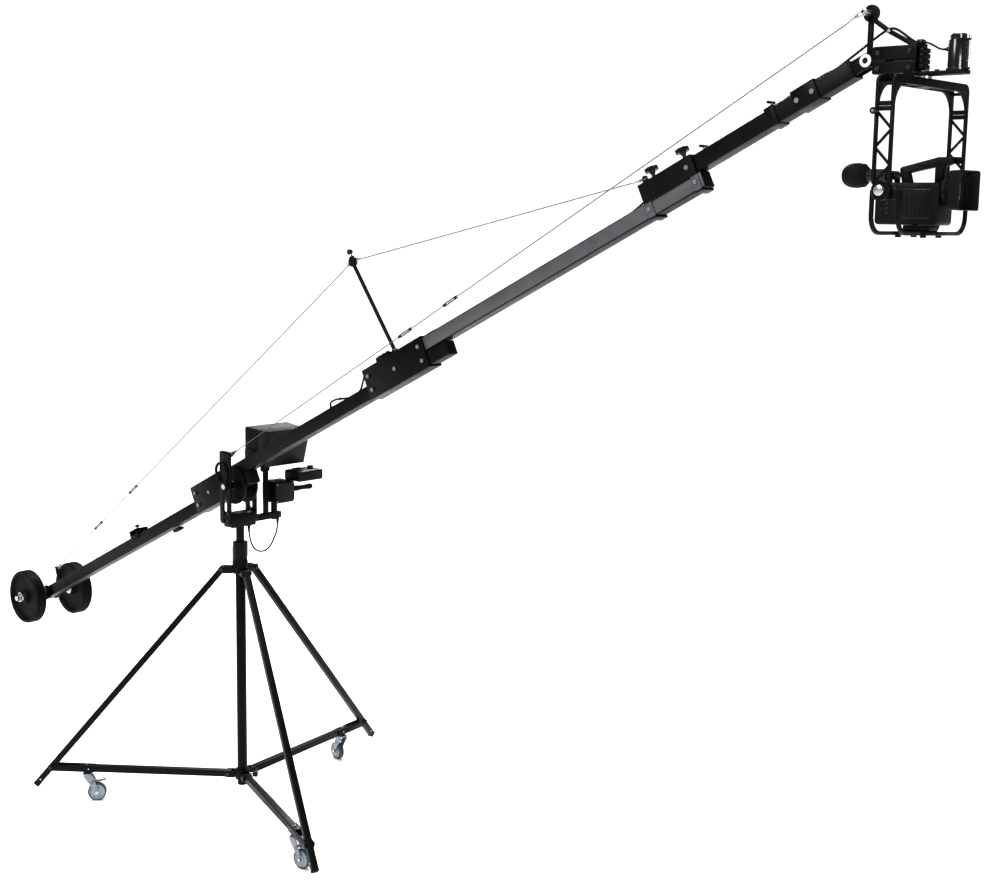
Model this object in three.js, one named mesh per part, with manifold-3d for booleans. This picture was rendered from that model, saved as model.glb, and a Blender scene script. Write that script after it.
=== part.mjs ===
import * as THREE from 'three';
import { mergeVertices } from 'three/addons/utils/BufferGeometryUtils.js';
import Module from 'manifold-3d';

const wasm = await Module();
wasm.setup();

// A camera jib crane on a rolling folding stand, in millimetres with +Z up. The origin is the
// middle of the column's underside, +X is the way the boom points and +Y is the operator's side.

// Driving sizes
const fit = { gap: 0.3, side: 0.7, overrun: 6 };
const bolt = { radius: 4, head: 7, headHeight: 4.5 };
const stand = { azimuths: [-21, 99, 219], headings: [6, 170, 50], floorDrop: 95 };
const column = { radius: 20, wall: 2, height: 1000, plug: 8 };
const mast = {
  radius: 16.5, wall: 2, bottom: 650, proud: 87, bush: 30, cap: 20, spigot: 11,
  spigotLength: 38,
};
const hub = { pinRadius: 60, pinHeight: 45, ring: 30, height: 40, ear: 14, earWall: 4, pin: 5 };
const hubKnob = { azimuth: 39, stem: 5, radius: 14, start: 44, length: 20 };
const collar = {
  pinRadius: 75, pinDrop: 95, ring: 30, drop: 107, proud: 22, ear: 14, earWall: 4,
  flange: 4,
};
const clampLug = { azimuth: 159, reach: 52, wall: 8, slit: 3, height: 30 };
const lever = { radius: 42, pin: 3, hub: 9, tip: 5, drop: 72, lean: 6, thickness: 6 };
const leg = { width: 25, wall: 2, tip: 104, cap: 10, capProud: 1, drain: 3 };
const spreader = { width: 27, wall: 2, pinRadius: 800, tubeEnd: 680, strapStart: 622, strapWall: 4 };
const caster = { stemRadius: 650, stem: 5, boss: 14, bossDrop: 8, plate: 20, plateHeight: 5, trail: 38 };
const casterFork = { inner: 15, wall: 3, crown: 14, eye: 9 };
const wheel = { radius: 37.5, width: 24, rim: 6, hub: 15, hubProud: 2, axle: 4, sides: 16 };
const brake = { along: 27, height: -8, pin: 3, barrel: 6, width: 20, reach: 48, thickness: 3.5, lift: 7 };
const fork = { inner: 60, wall: 8, baseHalf: 30, baseHeight: 55, low: 13, pivot: 168, top: 308 };
const cheek = { rear: -42, front: 25, corner: 14, window: 20, windowLow: 62, windowHigh: 112 };
const axle = { radius: 8, head: 12, headHeight: 7, spacer: 14 };
const levelling = { height: 125, side: 42, pin: 4, eye: 10, eyeHalf: 4, pinEnd: 50, disc: 23, discHalf: 5 };
const lock = { width: 71, height: 91, bar: 11, thickness: 9, lean: 24, hub: 16, centre: 56 };
const station = { armHalf: 12, armLow: 8, armHigh: 33, armEnd: 205, block: 26, blockDrop: 5 };
const joyBox = { half: 45, near: 150, far: 250, low: 73, high: 160, corner: 10 };
const joyStick = {
  socket: 8.5, grip: 12, neck: 5, neckLength: 30, length: 128, collar: 16, collarHeight: 5,
};
const handUnit = { rear: 20, front: 110, near: 215, far: 345, low: 158, high: 200, corner: 9, lens: 12 };
const post = { near: 125, far: 140, half: 10, hinge: 216, pin: 4, ear: 12, earGap: 0.5 };
const monitor = { front: -8, backTop: 70, backLow: 32, near: 100, far: 310, low: 228, high: 378, vents: 6 };
const hood = { depth: 72, wall: 3, flare: 6 };
const screen = { margin: 14, depth: 2.5 };
const cordSize = { radius: 3.5, sides: 6, glandFoot: 2.4, glandTop: 1.6 };
const boomTilt = 26.2;
const tube = { size: 50, wall: 3, pitch: 52, plug: 4 };
const rearTube = { overhang: 35, end: 100 };
const boomOne = { start: -280, overhang: 95 };
const boomTwo = { inset: 20, overhang: 10 };
const boomThree = { inset: 30, setback: 44 };
const sleeve = { wall: 6, boltHead: 7, boltHeight: 5, window: 24 };
const rearClamp = { start: -280, end: -50, disc: 76 };
const midClamp = { start: 900, end: 1230, block: 66, blockHeight: 17, blockHalf: 20, blockInset: 75 };
const frontClamp = {
  setback: 816, length: 210, rearInset: 48, frontInset: 38, boss: 12, bossHeight: 5,
  band: 26,
};
const handKnob = { stem: 6, stemLength: 8, head: 22.5, headHeight: 17, lobes: 6, scoop: 4.5, scoopOut: 2 };
const tee = { stem: 4, height: 16, bar: 20, barRadius: 4, gap: 35 };
const tipCollar = { setback: 300, length: 31, proud: 6 };
const tipBlock = { setback: 156, length: 80, proud: 8 };
const leadClip = { setback: 66, side: 15 };
const tip = { along: 3106, ear: 20, earInner: 14, earOuter: 20, pin: 6, head: 17, headHeight: 4, socket: 8 };
const seatClamp = { along: -760, length: 60, height: 26, half: 31, wall: 5, stem: 5, stemHeight: 20 };
const underKnob = { along: -480, drop: 24, length: 60, width: 30, stem: 6, stemLength: 8 };
const stay = { radius: 1.8, eye: 8, eyeHalf: 2, pin: 3, ear: 3.7, tang: 26, ferrule: 4, ferruleLength: 22 };
const buckle = { radius: 6.5, length: 84 };
const anchor = { rearGap: 101, rearHeight: 84, frontInset: 16, frontHeight: 202, half: 11, foot: 26 };
const kingPost = { footInset: 166, footHalf: 20, footHeight: 8, radius: 7, slant: 64, topHeight: 520 };
const postHead = { half: 20, low: 10, high: 11, spread: 10, bridge: 9, ball: 11, neck: 5, neckLength: 8 };
const weights = {
  along: -1575, bar: 12, bracketHalf: 30, bracketHeight: 31, bracketWall: 8, inner: 96,
  boltShare: 0.62,
};
const disc = {
  radius: 121, thickness: 50, rim: 15, web: 13, hub: 28, bevel: 4, stop: 24, stopLength: 6,
  sides: 20,
};
const nut = { radius: 13, lobe: 9, lobeReach: 17, thickness: 16, boss: 14, bossLength: 8, barProud: 12 };
const head = {
  tongue: 13.7, tongueHalf: 17, tongueRear: -15, blockRear: 23, blockFront: 152,
  blockHalf: 27,
};
const headBlock = { low: -38, high: 34, slot: 4, slotHeight: -4, slotRear: 62, plate: 6, plateProud: 5 };
const headNose = { length: 16, half: 20, low: -30, high: 26, groove: 3, grooves: 3 };
const headBar = { rear: 107, front: 285, half: 22, low: -46, high: -36 };
const headPost = { half: 7, thickness: 5 };
const brace = { middle: 54, middleHeight: 76, foot: 132, radius: 6, half: 4 };
const lockPad = { along: 60, radius: 18.5, drop: 12 };
const leadBox = { rear: 134, front: 150, near: 4, far: 22, height: 16 };
const panAxis = { along: 165, shaft: 8, nut: 12.5, nutHeight: 4, collar: 18 };
const panMotor = { along: 254, radius: 25, flange: 28, flangeHeight: 6, can: 74, cap: 21, capHeight: 12 };
const panRod = { side: 31, radius: 3, height: 88 };
const yoke = { half: 212, thickness: 11, top: -55, band: 22, corner: 62, end: -135, rail: 8, railHalf: 26 };
const yokeCross = { height: 12, spacing: 78, braces: 4, brace: 7, knob: 9, knobLength: 18 };
const yokeArm = { tilt: -347, ring: 26, overlap: 18 };
const cradle = {
  half: 196, wall: 10, rear: -37, front: 49, rail: 10, bottom: -114, corner: 50, hub: 24,
  pin: 8,
};
const cradlePin = { near: 217, cap: 14, capHeight: 4, far: 218 };
const tray = {
  half: 60, rear: -46, front: 58, foot: 8, footHeight: 6, shoeHalf: 25, shoeRear: -28,
  shoeFront: 48,
};
const tiltMotor = { radius: 22, length: 80, flange: 27, flangeHeight: 6, recess: 9, recessDepth: 7 };
const body = {
  rear: -105, front: 79, low: -87, high: 24, half: 42, bevel: 5, rib: 3, ribs: 7,
  ribStart: 0.34, ribStep: 0.07,
};
const handle = { half: 12, bar: 17, rear: -44, front: 74, rise: 58, top: 82, reach: 97 };
const hinge = { along: -75, height: 44, ear: 19, earOuter: 24, radius: 8, pin: 4 };
const barrel = { radius: 37, length: 28, ring: 40, ringLength: 9, centre: 4 };
const lensHood = {
  rearHalf: 47, rearTall: 40, half: 60, tall: 52, length: 36, wall: 3, glass: 30,
  depth: 26,
};
const finder = {
  radius: 17, front: -90, rear: -156, cup: 34, cupRear: -221, barrel: 12, eye: 13,
  eyeDepth: 12,
};

// The hanging lead's route from the fork base down and up to the control arm, with heights from
// the mast's top. The power lead's route starts on the boom, and its front part is given by how
// far each point lies from the tip's pin. The head lead's route starts at that pin. All of them
// are in millimetres along, across and up.
const controlLeadShape = [
  [0, 45, -10.3], [0, 45, -25], [0, 46.5, -41], [0, 51, -63], [0, 60, -87], [0, 73, -106],
  [0, 90, -118], [0, 110, -123], [0, 130, -121], [0, 148, -112], [0, 164, -96], [0, 176, -75],
  [0, 188, -51], [0, 192.5, -29], [0, 194, -12], [0, 194, 7.7],
];
const boomLeadRear = [
  [640, 12, 91.6], [640, 12, 99], [648, 12.5, 105], [668, 13, 106], [700, 14, 99], [740, 16, 87],
  [790, 18, 83], [820, 18, 94], [840, 19, 115], [860, 20, 134], [880, 21, 142], [920, 22, 142.5],
  [1000, 25, 140.5], [1060, 26, 140.5], [1150, 25, 140.5], [1215, 22, 142], [1250, 21, 142],
  [1280, 20, 139], [1330, 18, 134.5], [1600, 16, 134], [1900, 15, 134],
];
const boomLeadFront = [
  [-1026, 17, 134], [-946, 24, 137], [-886, 33, 148], [-836, 38.5, 160], [-766, 39, 176],
  [-606, 38.5, 185], [-546, 30, 188], [-466, 19, 187], [-386, 20, 189], [-351, 22, 195],
  [-296, 23, 195.5], [-256, 21, 196.5], [-196, 20, 196.5], [-141, 18, 195], [-96, 16, 193],
  [-66, 15, 195.5], [-36, 14, 204],
];
const headLeadRoute = [
  [-6, 27, 54], [2, 27, 62], [18, 25, 71], [42, 21, 76], [70, 17, 75], [92, 14, 70], [108, 13, 61],
  [117, 13, 51],
  [124, 13, 43], [133.4, 13, 42],
];

// Values that follow from the driving sizes
const degrees = (angle) => THREE.MathUtils.degToRad(angle);
const legHalf = leg.width / 2;
const spreaderHalf = spreader.width / 2;
const legRun = spreader.pinRadius - collar.pinRadius;
const collarPin = column.height - collar.pinDrop;
const collarLow = column.height - collar.drop;
const collarHigh = column.height + collar.proud;
const lugLow = column.height - clampLug.height;
const leverHeight = column.height - clampLug.height / 2;
const legFall = collarPin - hub.pinHeight;
const legPins = Math.hypot(legRun, legFall);
const legLength = legPins + leg.tip;
const wheelHeight = wheel.radius - stand.floorDrop;
const spreaderLow = hub.pinHeight - spreaderHalf;
const spreaderHigh = hub.pinHeight + spreaderHalf;
const bossLow = spreaderLow - caster.bossDrop;
const mastTop = column.height + mast.proud;
const forkFloor = mastTop + fit.gap;
const pivotHeight = mastTop + fork.pivot;
const half = tube.size / 2;
const sleeveInner = half + fit.gap;
const sleeveOuter = sleeveInner + sleeve.wall;
const rowOne = tube.pitch;
const rowTwo = rowOne + tube.pitch;
const rowThree = rowTwo + tube.pitch;
const rearTubeStart = weights.along - rearTube.overhang;
const tubeOneEnd = midClamp.end + boomOne.overhang;
const tubeTwoStart = midClamp.start + boomTwo.inset;
const frontClampStart = tip.along - frontClamp.setback;
const frontClampEnd = frontClampStart + frontClamp.length;
const tubeTwoEnd = frontClampEnd + boomTwo.overhang;
const tubeThreeStart = frontClampStart + boomThree.inset;
const tubeThreeEnd = tip.along - boomThree.setback;
const tipCollarEnd = tip.along - tipCollar.setback;
const tipBlockEnd = tip.along - tipBlock.setback;
const knobPlaces = [frontClampStart + frontClamp.rearInset, frontClampEnd - frontClamp.frontInset];
const anchorRear = weights.along + anchor.rearGap;
const anchorFront = frontClampStart + anchor.frontInset;
const postFoot = midClamp.end - kingPost.footInset;
const postTop = postFoot - kingPost.slant;
const tipX = tip.along * Math.cos(degrees(boomTilt)) - rowThree * Math.sin(degrees(boomTilt));
const tipZ = tip.along * Math.sin(degrees(boomTilt)) + rowThree * Math.cos(degrees(boomTilt));
const midTop = rowTwo + sleeveOuter;
const frontTop = rowThree + sleeveOuter;
const railInner = yoke.railHalf - yoke.rail;
const cameraLow = body.low;
const controlLeadRoute = controlLeadShape.map(([x, y, z]) => [x, y, mastTop + z]);
const boomLeadLast = boomLeadFront.map(([x, y, z]) => [tip.along + x, y, z]);
const boomLeadRoute = [...boomLeadRear.filter(([x]) => x < boomLeadLast[0][0]), ...boomLeadLast];

// Solids: closed geometries in, joined or cut with exact booleans
function asSolid(shape) {
  if (shape instanceof wasm.Manifold) return shape;
  const bare = shape.clone();
  for (const attribute of ['normal', 'uv']) bare.deleteAttribute(attribute);
  const merged = mergeVertices(bare);
  const vertices = new Float32Array(merged.attributes.position.array);
  const corners = [];
  for (let i = 0; i < merged.index.count; i += 3) {
    const [a, b, c] = [merged.index.getX(i), merged.index.getX(i + 1), merged.index.getX(i + 2)];
    if (a !== b && b !== c && c !== a) corners.push(a, b, c);
  }
  const triVerts = new Uint32Array(corners);
  if (signedVolume(vertices, triVerts) < 0) triVerts.reverse();
  return new wasm.Manifold(new wasm.Mesh({ numProp: 3, vertProperties: vertices, triVerts }));
}

function signedVolume(vertices, corners) {
  const point = (i) => new THREE.Vector3().fromArray(vertices, i * 3);
  let volume = 0;
  for (let i = 0; i < corners.length; i += 3) {
    const [a, b, c] = [point(corners[i]), point(corners[i + 1]), point(corners[i + 2])];
    volume += a.dot(b.cross(c));
  }
  return volume;
}

const join = (...shapes) => shapes.map(asSolid).reduce((all, next) => all.add(next));
const cut = (base, ...tools) => tools.map(asSolid).reduce((left, tool) => left.subtract(tool),
  asSolid(base));

function toGeometry(shape) {
  const mesh = asSolid(shape).getMesh();
  const geometry = new THREE.BufferGeometry();
  geometry.setAttribute('position', new THREE.BufferAttribute(new Float32Array(mesh.vertProperties), 3));
  geometry.setIndex(new THREE.BufferAttribute(new Uint32Array(mesh.triVerts), 1));
  return geometry;
}

function moved(shape, { at = [0, 0, 0], turnX = 0, turnY = 0, turnZ = 0, mirrorY = false }) {
  const turn = new THREE.Quaternion().setFromEuler(new THREE.Euler(turnX, turnY, turnZ));
  const size = new THREE.Vector3(1, mirrorY ? -1 : 1, 1);
  const matrix = new THREE.Matrix4().compose(new THREE.Vector3(...at), turn, size);
  return toGeometry(shape).applyMatrix4(matrix);
}

const bothSides = (shape) => join(shape, moved(shape, { mirrorY: true }));

function block(x0, x1, y0, y1, z0, z1) {
  const geometry = new THREE.BoxGeometry(x1 - x0, y1 - y0, z1 - z0);
  return geometry.translate((x0 + x1) / 2, (y0 + y1) / 2, (z0 + z1) / 2);
}

// A rod, or a cone when two radii are given, along an axis. `at` holds its two other coordinates.
function rod(axis, radius, from, to, at = [0, 0], sides = 8) {
  const [start, end] = Array.isArray(radius) ? radius : [radius, radius];
  const middle = (from + to) / 2;
  if (axis === 'x') {
    const lying = new THREE.CylinderGeometry(start, end, to - from, sides).rotateZ(Math.PI / 2);
    return lying.translate(middle, at[0], at[1]);
  }
  const upright = new THREE.CylinderGeometry(end, start, to - from, sides);
  if (axis === 'y') return upright.translate(at[0], middle, at[1]);
  return upright.rotateX(Math.PI / 2).translate(at[0], at[1], middle);
}

// A round cutter whose flats, not its corners, are at the radius
const clear = (radius, sides) => radius / Math.cos(Math.PI / sides);
const bore = (axis, radius, from, to, at, sides = 10) => rod(axis, clear(radius, sides), from, to,
  at, sides);

function outline(points) {
  return new THREE.Shape(points.map(([x, y]) => new THREE.Vector2(x, y)));
}

// Points on an arc, both ends included
function arc(x, y, radius, from, to, steps) {
  return Array.from({ length: steps + 1 }, (_, i) => {
    const angle = from + (i / steps) * (to - from);
    return [x + radius * Math.cos(angle), y + radius * Math.sin(angle)];
  });
}

function roundedOutline(x0, x1, y0, y1, radius, steps = 2) {
  const quarter = Math.PI / 2;
  return outline([
    ...arc(x1 - radius, y1 - radius, radius, 0, quarter, steps),
    ...arc(x0 + radius, y1 - radius, radius, quarter, 2 * quarter, steps),
    ...arc(x0 + radius, y0 + radius, radius, 2 * quarter, 3 * quarter, steps),
    ...arc(x1 - radius, y0 + radius, radius, 3 * quarter, 4 * quarter, steps),
  ]);
}

// A strap with round ends: two circles and the lines that touch both
function strapOutline([x0, y0, r0], [x1, y1, r1], steps = 3) {
  const heading = Math.atan2(y1 - y0, x1 - x0);
  const spread = Math.acos((r0 - r1) / Math.hypot(x1 - x0, y1 - y0));
  return outline([
    ...arc(x1, y1, r1, heading - spread, heading + spread, steps),
    ...arc(x0, y0, r0, heading + spread, heading - spread + 2 * Math.PI, steps),
  ]);
}

// An outline in X and Z, made solid along Y
function acrossY(shape, y0, y1) {
  const settings = { depth: y1 - y0, bevelEnabled: false };
  return new THREE.ExtrudeGeometry(shape, settings).rotateX(Math.PI / 2).translate(0, y1, 0);
}

// An outline in Y and Z, made solid along X
function alongX(shape, x0, x1) {
  const settings = { depth: x1 - x0, bevelEnabled: false };
  const basis = new THREE.Matrix4().makeBasis(
    new THREE.Vector3(0, 1, 0),
    new THREE.Vector3(0, 0, 1),
    new THREE.Vector3(1, 0, 0),
  );
  return new THREE.ExtrudeGeometry(shape, settings).applyMatrix4(basis).translate(x0, 0, 0);
}

// An outline in X and Y, made solid along Z
function upZ(shape, z0, z1) {
  const settings = { depth: z1 - z0, bevelEnabled: false };
  return new THREE.ExtrudeGeometry(shape, settings).translate(0, 0, z0);
}

// An outline in X and Z with chamfered edges on its two sides
function mouldedY(shape, reach, bevel) {
  const settings = {
    depth: 2 * (reach - bevel),
    bevelEnabled: true,
    bevelThickness: bevel,
    bevelSize: bevel,
    bevelOffset: -bevel,
    bevelSegments: 1,
  };
  return new THREE.ExtrudeGeometry(shape, settings).rotateX(Math.PI / 2).translate(0, reach - bevel, 0);
}

function revolved(axis, points, at, sides = 18) {
  const profile = points.map(([r, h]) => new THREE.Vector2(r, h));
  const geometry = new THREE.LatheGeometry(profile, sides);
  if (axis === 'y') return geometry.translate(at[0], 0, at[1]);
  return geometry.rotateX(Math.PI / 2).translate(at[0], at[1], 0);
}

// A round bar between two points
function bar(from, to, radius, sides = 12) {
  const [start, end] = [new THREE.Vector3(...from), new THREE.Vector3(...to)];
  const way = end.clone().sub(start);
  const turn = new THREE.Quaternion().setFromUnitVectors(new THREE.Vector3(0, 1, 0),
    way.clone().normalize());
  const geometry = new THREE.CylinderGeometry(radius, radius, way.length(), sides);
  return geometry.applyQuaternion(turn).translate(...start.add(end).multiplyScalar(0.5).toArray());
}

function cord(route, { radius, sides }, steps) {
  const curve = new THREE.CatmullRomCurve3(route.map((point) => new THREE.Vector3(...point)));
  const corner = (i) => {
    const angle = (i / sides) * 2 * Math.PI;
    return [radius * Math.cos(angle), radius * Math.sin(angle)];
  };
  const section = outline(Array.from({ length: sides }, (_, i) => corner(i)));
  return new THREE.ExtrudeGeometry(section, { steps, extrudePath: curve });
}

// A hollow square tube along X, open at both ends
function squareTube(x0, x1, width, wall, height) {
  const outer = width / 2;
  const inner = outer - wall;
  return cut(
    block(x0, x1, -outer, outer, height - outer, height + outer),
    block(x0 - fit.overrun, x1 + fit.overrun, -inner, inner, height - inner, height + inner),
  );
}

// A plug in a tube's end, with a lip round the edge
function tubePlug(x, way, width, wall, height, depth) {
  const inner = width / 2 - wall / 2;
  const [start, end] = way > 0 ? [x - depth, x] : [x, x + depth];
  return block(start, end, -inner, inner, height - inner, height + inner);
}

// A rectangular clamp sleeve round a stack of tubes
function clampSleeve(x0, x1, low, high) {
  const [inner, outer] = [sleeveInner, sleeveOuter];
  const shape = roundedOutline(-outer, outer, low - outer, high + outer, sleeve.wall / 2);
  return cut(
    alongX(shape, x0, x1),
    block(x0 - fit.overrun, x1 + fit.overrun, -inner, inner, low - inner, high + inner),
  );
}

// Hexagon bolt heads on the near flank of a sleeve
function flankBolts(places) {
  const start = sleeveOuter - fit.gap;
  const heads = places.map(([x, z]) => rod('y', sleeve.boltHead, start,
    sleeveOuter + sleeve.boltHeight, [x, z], 6));
  return moved(join(...heads), { mirrorY: true });
}

// A tension stay along X: flat eyes at both ends, ferrules and turnbuckles
function tensionStay(length, { radius, eye, eyeHalf, hole, buckles }) {
  const end = join(
    cut(
      acrossY(strapOutline([0, 0, eye], [stay.tang, 0, stay.ferrule]), -eyeHalf, eyeHalf),
      bore('y', hole, -eyeHalf - fit.overrun, eyeHalf + fit.overrun, [0, 0], 8),
    ),
    rod('x', stay.ferrule, stay.tang, stay.tang + stay.ferruleLength, [0, 0], 6),
  );
  const parts = [
    rod('x', radius, stay.tang, length - stay.tang, [0, 0], 6),
    end,
    moved(end, { at: [length, 0, 0], turnZ: Math.PI }),
  ];
  for (const share of buckles) {
    const middle = share * length;
    const reach = buckle.length / 2;
    const frame = cut(
      rod('x', buckle.radius, middle - reach, middle + reach, [0, 0], 6),
      block(
        middle - reach / 2, middle + reach / 2,
        -buckle.radius - fit.overrun, buckle.radius + fit.overrun,
        radius + fit.gap, buckle.radius / 2 + radius / 2,
      ),
    );
    parts.push(frame);
  }
  return join(...parts);
}

// Two ears with a pin, for a stay's eye at a place in the boom's plane
function stayLug(x, z, foot) {
  const slot = stay.eyeHalf + fit.gap;
  const side = slot + stay.ear;
  const ear = acrossY(outline([
    [x - anchor.half, foot], [x + anchor.half, foot], [x + anchor.half / 2, z + anchor.half],
    [x - anchor.half / 2, z + anchor.half],
  ]), slot, side);
  const base = block(x - anchor.half, x + anchor.half, -side, side, foot, foot + stay.eye / 2);
  return join(bothSides(ear), base, rod('y', stay.pin, -side, side, [x, z], 8));
}

// Finishes
const finish = (color, roughness, metalness) => new THREE.MeshStandardMaterial({
  color, roughness, metalness, flatShading: true,
});
const finishes = {
  black: finish('#1c1c1f', 0.5, 0.4),
  grey: finish('#6b696d', 0.45, 0.6),
  steel: finish('#b9bbbf', 0.3, 1),
  zinc: finish('#8f949a', 0.4, 1),
  iron: finish('#242426', 0.75, 0.3),
  tyre: finish('#3f4f52', 0.7, 0),
  plastic: finish('#222326', 0.6, 0),
  palePlastic: finish('#77797d', 0.6, 0),
  gloss: finish('#101114', 0.2, 0.1),
  cable: finish('#d7d8da', 0.4, 0.8),
  rubber: finish('#161617', 0.85, 0),
};

const names = new Set();
function add(parent, name, shape, material) {
  if (names.has(name)) throw new Error(`two pieces are called ${name}`);
  names.add(name);
  const mesh = new THREE.Mesh(toGeometry(shape), material);
  mesh.geometry.computeVertexNormals();
  mesh.name = name;
  parent.add(mesh);
}

function place(parent, at = [0, 0, 0], { turnY = 0, turnZ = 0 } = {}) {
  const group = new THREE.Group();
  group.position.set(...at);
  group.rotation.set(0, turnY, turnZ);
  parent.add(group);
  return group;
}

// Stand
function columnTube() {
  const inner = column.radius - column.wall;
  return cut(
    rod('z', column.radius, 0, column.height, [0, 0], 20),
    rod('z', inner, column.plug, column.height + fit.overrun, [0, 0], 16),
  );
}

function innerMast() {
  const hollow = mast.radius - mast.wall;
  const bushRadius = column.radius - column.wall - fit.gap;
  const outside = join(
    rod('z', mast.radius, mast.bottom, mastTop, [0, 0], 16),
    rod('z', bushRadius, mast.bottom, mast.bottom + mast.bush, [0, 0], 16),
    rod('z', mast.spigot, mastTop, mastTop + mast.spigotLength, [0, 0], 10),
  );
  return cut(outside, rod('z', hollow, mast.bottom - fit.overrun, mastTop - mast.cap, [0, 0], 10));
}

function hubBracket() {
  const [low, high] = [hub.pinHeight - hub.height / 2, hub.pinHeight + hub.height / 2];
  const slot = spreaderHalf + fit.gap + fit.gap;
  const side = slot + hub.earWall;
  const root = (column.radius + hub.ring) / 2;
  const ear = acrossY(
    strapOutline([root, hub.pinHeight, hub.ear], [hub.pinRadius, hub.pinHeight, hub.ear]),
    slot, side,
  );
  const pin = join(
    rod('y', hub.pin, -side, side, [hub.pinRadius, hub.pinHeight], 8),
    rod('y', bolt.head, -side - bolt.headHeight, -side, [hub.pinRadius, hub.pinHeight], 6),
    rod('y', bolt.head, side, side + bolt.headHeight, [hub.pinRadius, hub.pinHeight], 6),
  );
  const ears = stand.azimuths.map((angle) => moved(join(bothSides(ear), pin), { turnZ: degrees(angle) }));
  const knob = join(
    rod('x', hubKnob.stem, root, hubKnob.start + hubKnob.length / 2, [0, hub.pinHeight], 8),
    rod('x', [hubKnob.radius, hubKnob.radius - hubKnob.stem / 2], hubKnob.start,
      hubKnob.start + hubKnob.length, [
      0, hub.pinHeight], 10),
  );
  const ring = rod('z', hub.ring, low, high, [0, 0], 12);
  return cut(
    join(ring, ...ears, moved(knob, { turnZ: degrees(hubKnob.azimuth) })),
    bore('z', column.radius + fit.gap, low - fit.overrun, high + fit.overrun, [0, 0], 12),
  );
}

function legCollar() {
  const slot = legHalf + fit.side;
  const side = slot + collar.earWall;
  const root = (column.radius + collar.ring) / 2;
  const ear = join(
    acrossY(
      strapOutline([root, collarPin, collar.ear], [collar.pinRadius, collarPin, collar.ear]),
      slot, side,
    ),
    rod('y', bolt.head, side, side + bolt.headHeight, [collar.pinRadius, collarPin], 6),
  );
  const ears = stand.azimuths.map((angle) => moved(bothSides(ear), { turnZ: degrees(angle) }));
  const lugHalf = clampLug.wall + clampLug.slit / 2;
  const lugs = block(root, clampLug.reach, -lugHalf, lugHalf, lugLow, column.height);
  const turnZ = degrees(clampLug.azimuth);
  const slit = block(
    0, clampLug.reach + fit.overrun, -clampLug.slit / 2, clampLug.slit / 2,
    lugLow - fit.overrun, collarHigh + fit.overrun,
  );
  const leverBore = bore(
    'y', lever.pin + fit.gap, -lugHalf - fit.overrun, lugHalf + fit.overrun, [lever.radius, leverHeight], 8,
  );
  return cut(
    join(
      rod('z', collar.ring, collarLow, collarHigh, [0, 0], 12),
      rod('z', collar.ring + collar.flange, collarLow, collarLow + collar.flange, [0, 0], 12),

      ...ears,
      moved(lugs, { turnZ }),
    ),
    bore('z', column.radius + fit.gap, collarLow - fit.overrun, column.height + fit.gap, [0, 0], 12),
    bore('z', mast.radius + fit.gap, column.height, collarHigh + fit.overrun, [0, 0], 12),
    moved(slit, { turnZ }),
    moved(leverBore, { turnZ }),
  );
}

// The lever hangs beside the column and swings out about a pin through the two lugs
function mastClampLever() {
  const lug = clampLug.wall + clampLug.slit / 2;
  const start = lug + fit.gap;
  const hubEnd = start + lever.hub;
  const at = [lever.radius, leverHeight];
  const armStart = hubEnd - lever.thickness;
  const arm = strapOutline(
    [lever.radius, leverHeight, lever.hub - fit.gap],
    [lever.radius + lever.lean, leverHeight - lever.drop, lever.tip],
  );
  return join(
    rod('y', lever.pin, -start - lever.tip, hubEnd, at, 8),
    rod('y', lever.hub, start, hubEnd, at, 10),
    rod('y', 2 * lever.pin, -start - lever.tip, -start, at, 6),
    acrossY(arm, armStart, hubEnd),
  );
}

function tripodLeg() {
  const cavity = legHalf - leg.wall;
  const lip = legHalf + leg.capProud;
  const hole = bolt.radius + fit.gap;
  return cut(
    join(
      rod('y', legHalf, -legHalf, legHalf, [0, 0], 10),
      block(0, legLength, -legHalf, legHalf, -legHalf, legHalf),
      alongX(roundedOutline(-lip, lip, -lip, lip, leg.cap / 2), legLength - leg.cap, legLength),
    ),
    block(2 * leg.cap, legLength - leg.cap / 2, -cavity, cavity, -cavity, cavity),
    bore('y', hole, -legHalf - fit.overrun, legHalf + fit.overrun, [0, 0], 8),
    bore('y', hole, -legHalf - fit.overrun, legHalf + fit.overrun, [legPins, 0], 8),
    rod('x', leg.drain, legLength - leg.cap, legLength + fit.overrun, [0, 0], 8),
  );
}

// A spreader: square tube, two side straps that hold the leg's bolt, and the caster's boss
function spreaderArm() {
  const z = hub.pinHeight;
  const strapInner = legHalf + fit.side;
  const strapOuter = strapInner + spreader.strapWall;
  const start = hub.pinRadius - spreaderHalf;
  const strap = acrossY(
    strapOutline([spreader.strapStart, z, spreaderHalf], [spreader.pinRadius, z, spreaderHalf]),
    strapInner, strapOuter,
  );
  const pinAt = [spreader.pinRadius, z];
  return cut(
    join(
      squareTube(start, spreader.tubeEnd, spreader.width, spreader.wall, z),
      bothSides(strap),
      rod('z', caster.boss, bossLow, spreaderLow + spreader.wall / 2, [caster.stemRadius, 0], 10),
      rod('y', bolt.radius, -strapOuter, strapOuter, pinAt, 12),
      rod('y', bolt.head, -strapOuter - bolt.headHeight, -strapOuter, pinAt, 6),
      rod('y', bolt.head, strapOuter, strapOuter + bolt.headHeight, pinAt, 6),
    ),
    bore('y', hub.pin + fit.gap, -strapOuter - fit.overrun, strapOuter + fit.overrun, [hub.pinRadius, z], 8),
    bore('z', caster.stem + fit.gap, bossLow - fit.overrun, spreaderHigh + fit.overrun,
      [caster.stemRadius, 0], 8),
  );
}

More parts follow.
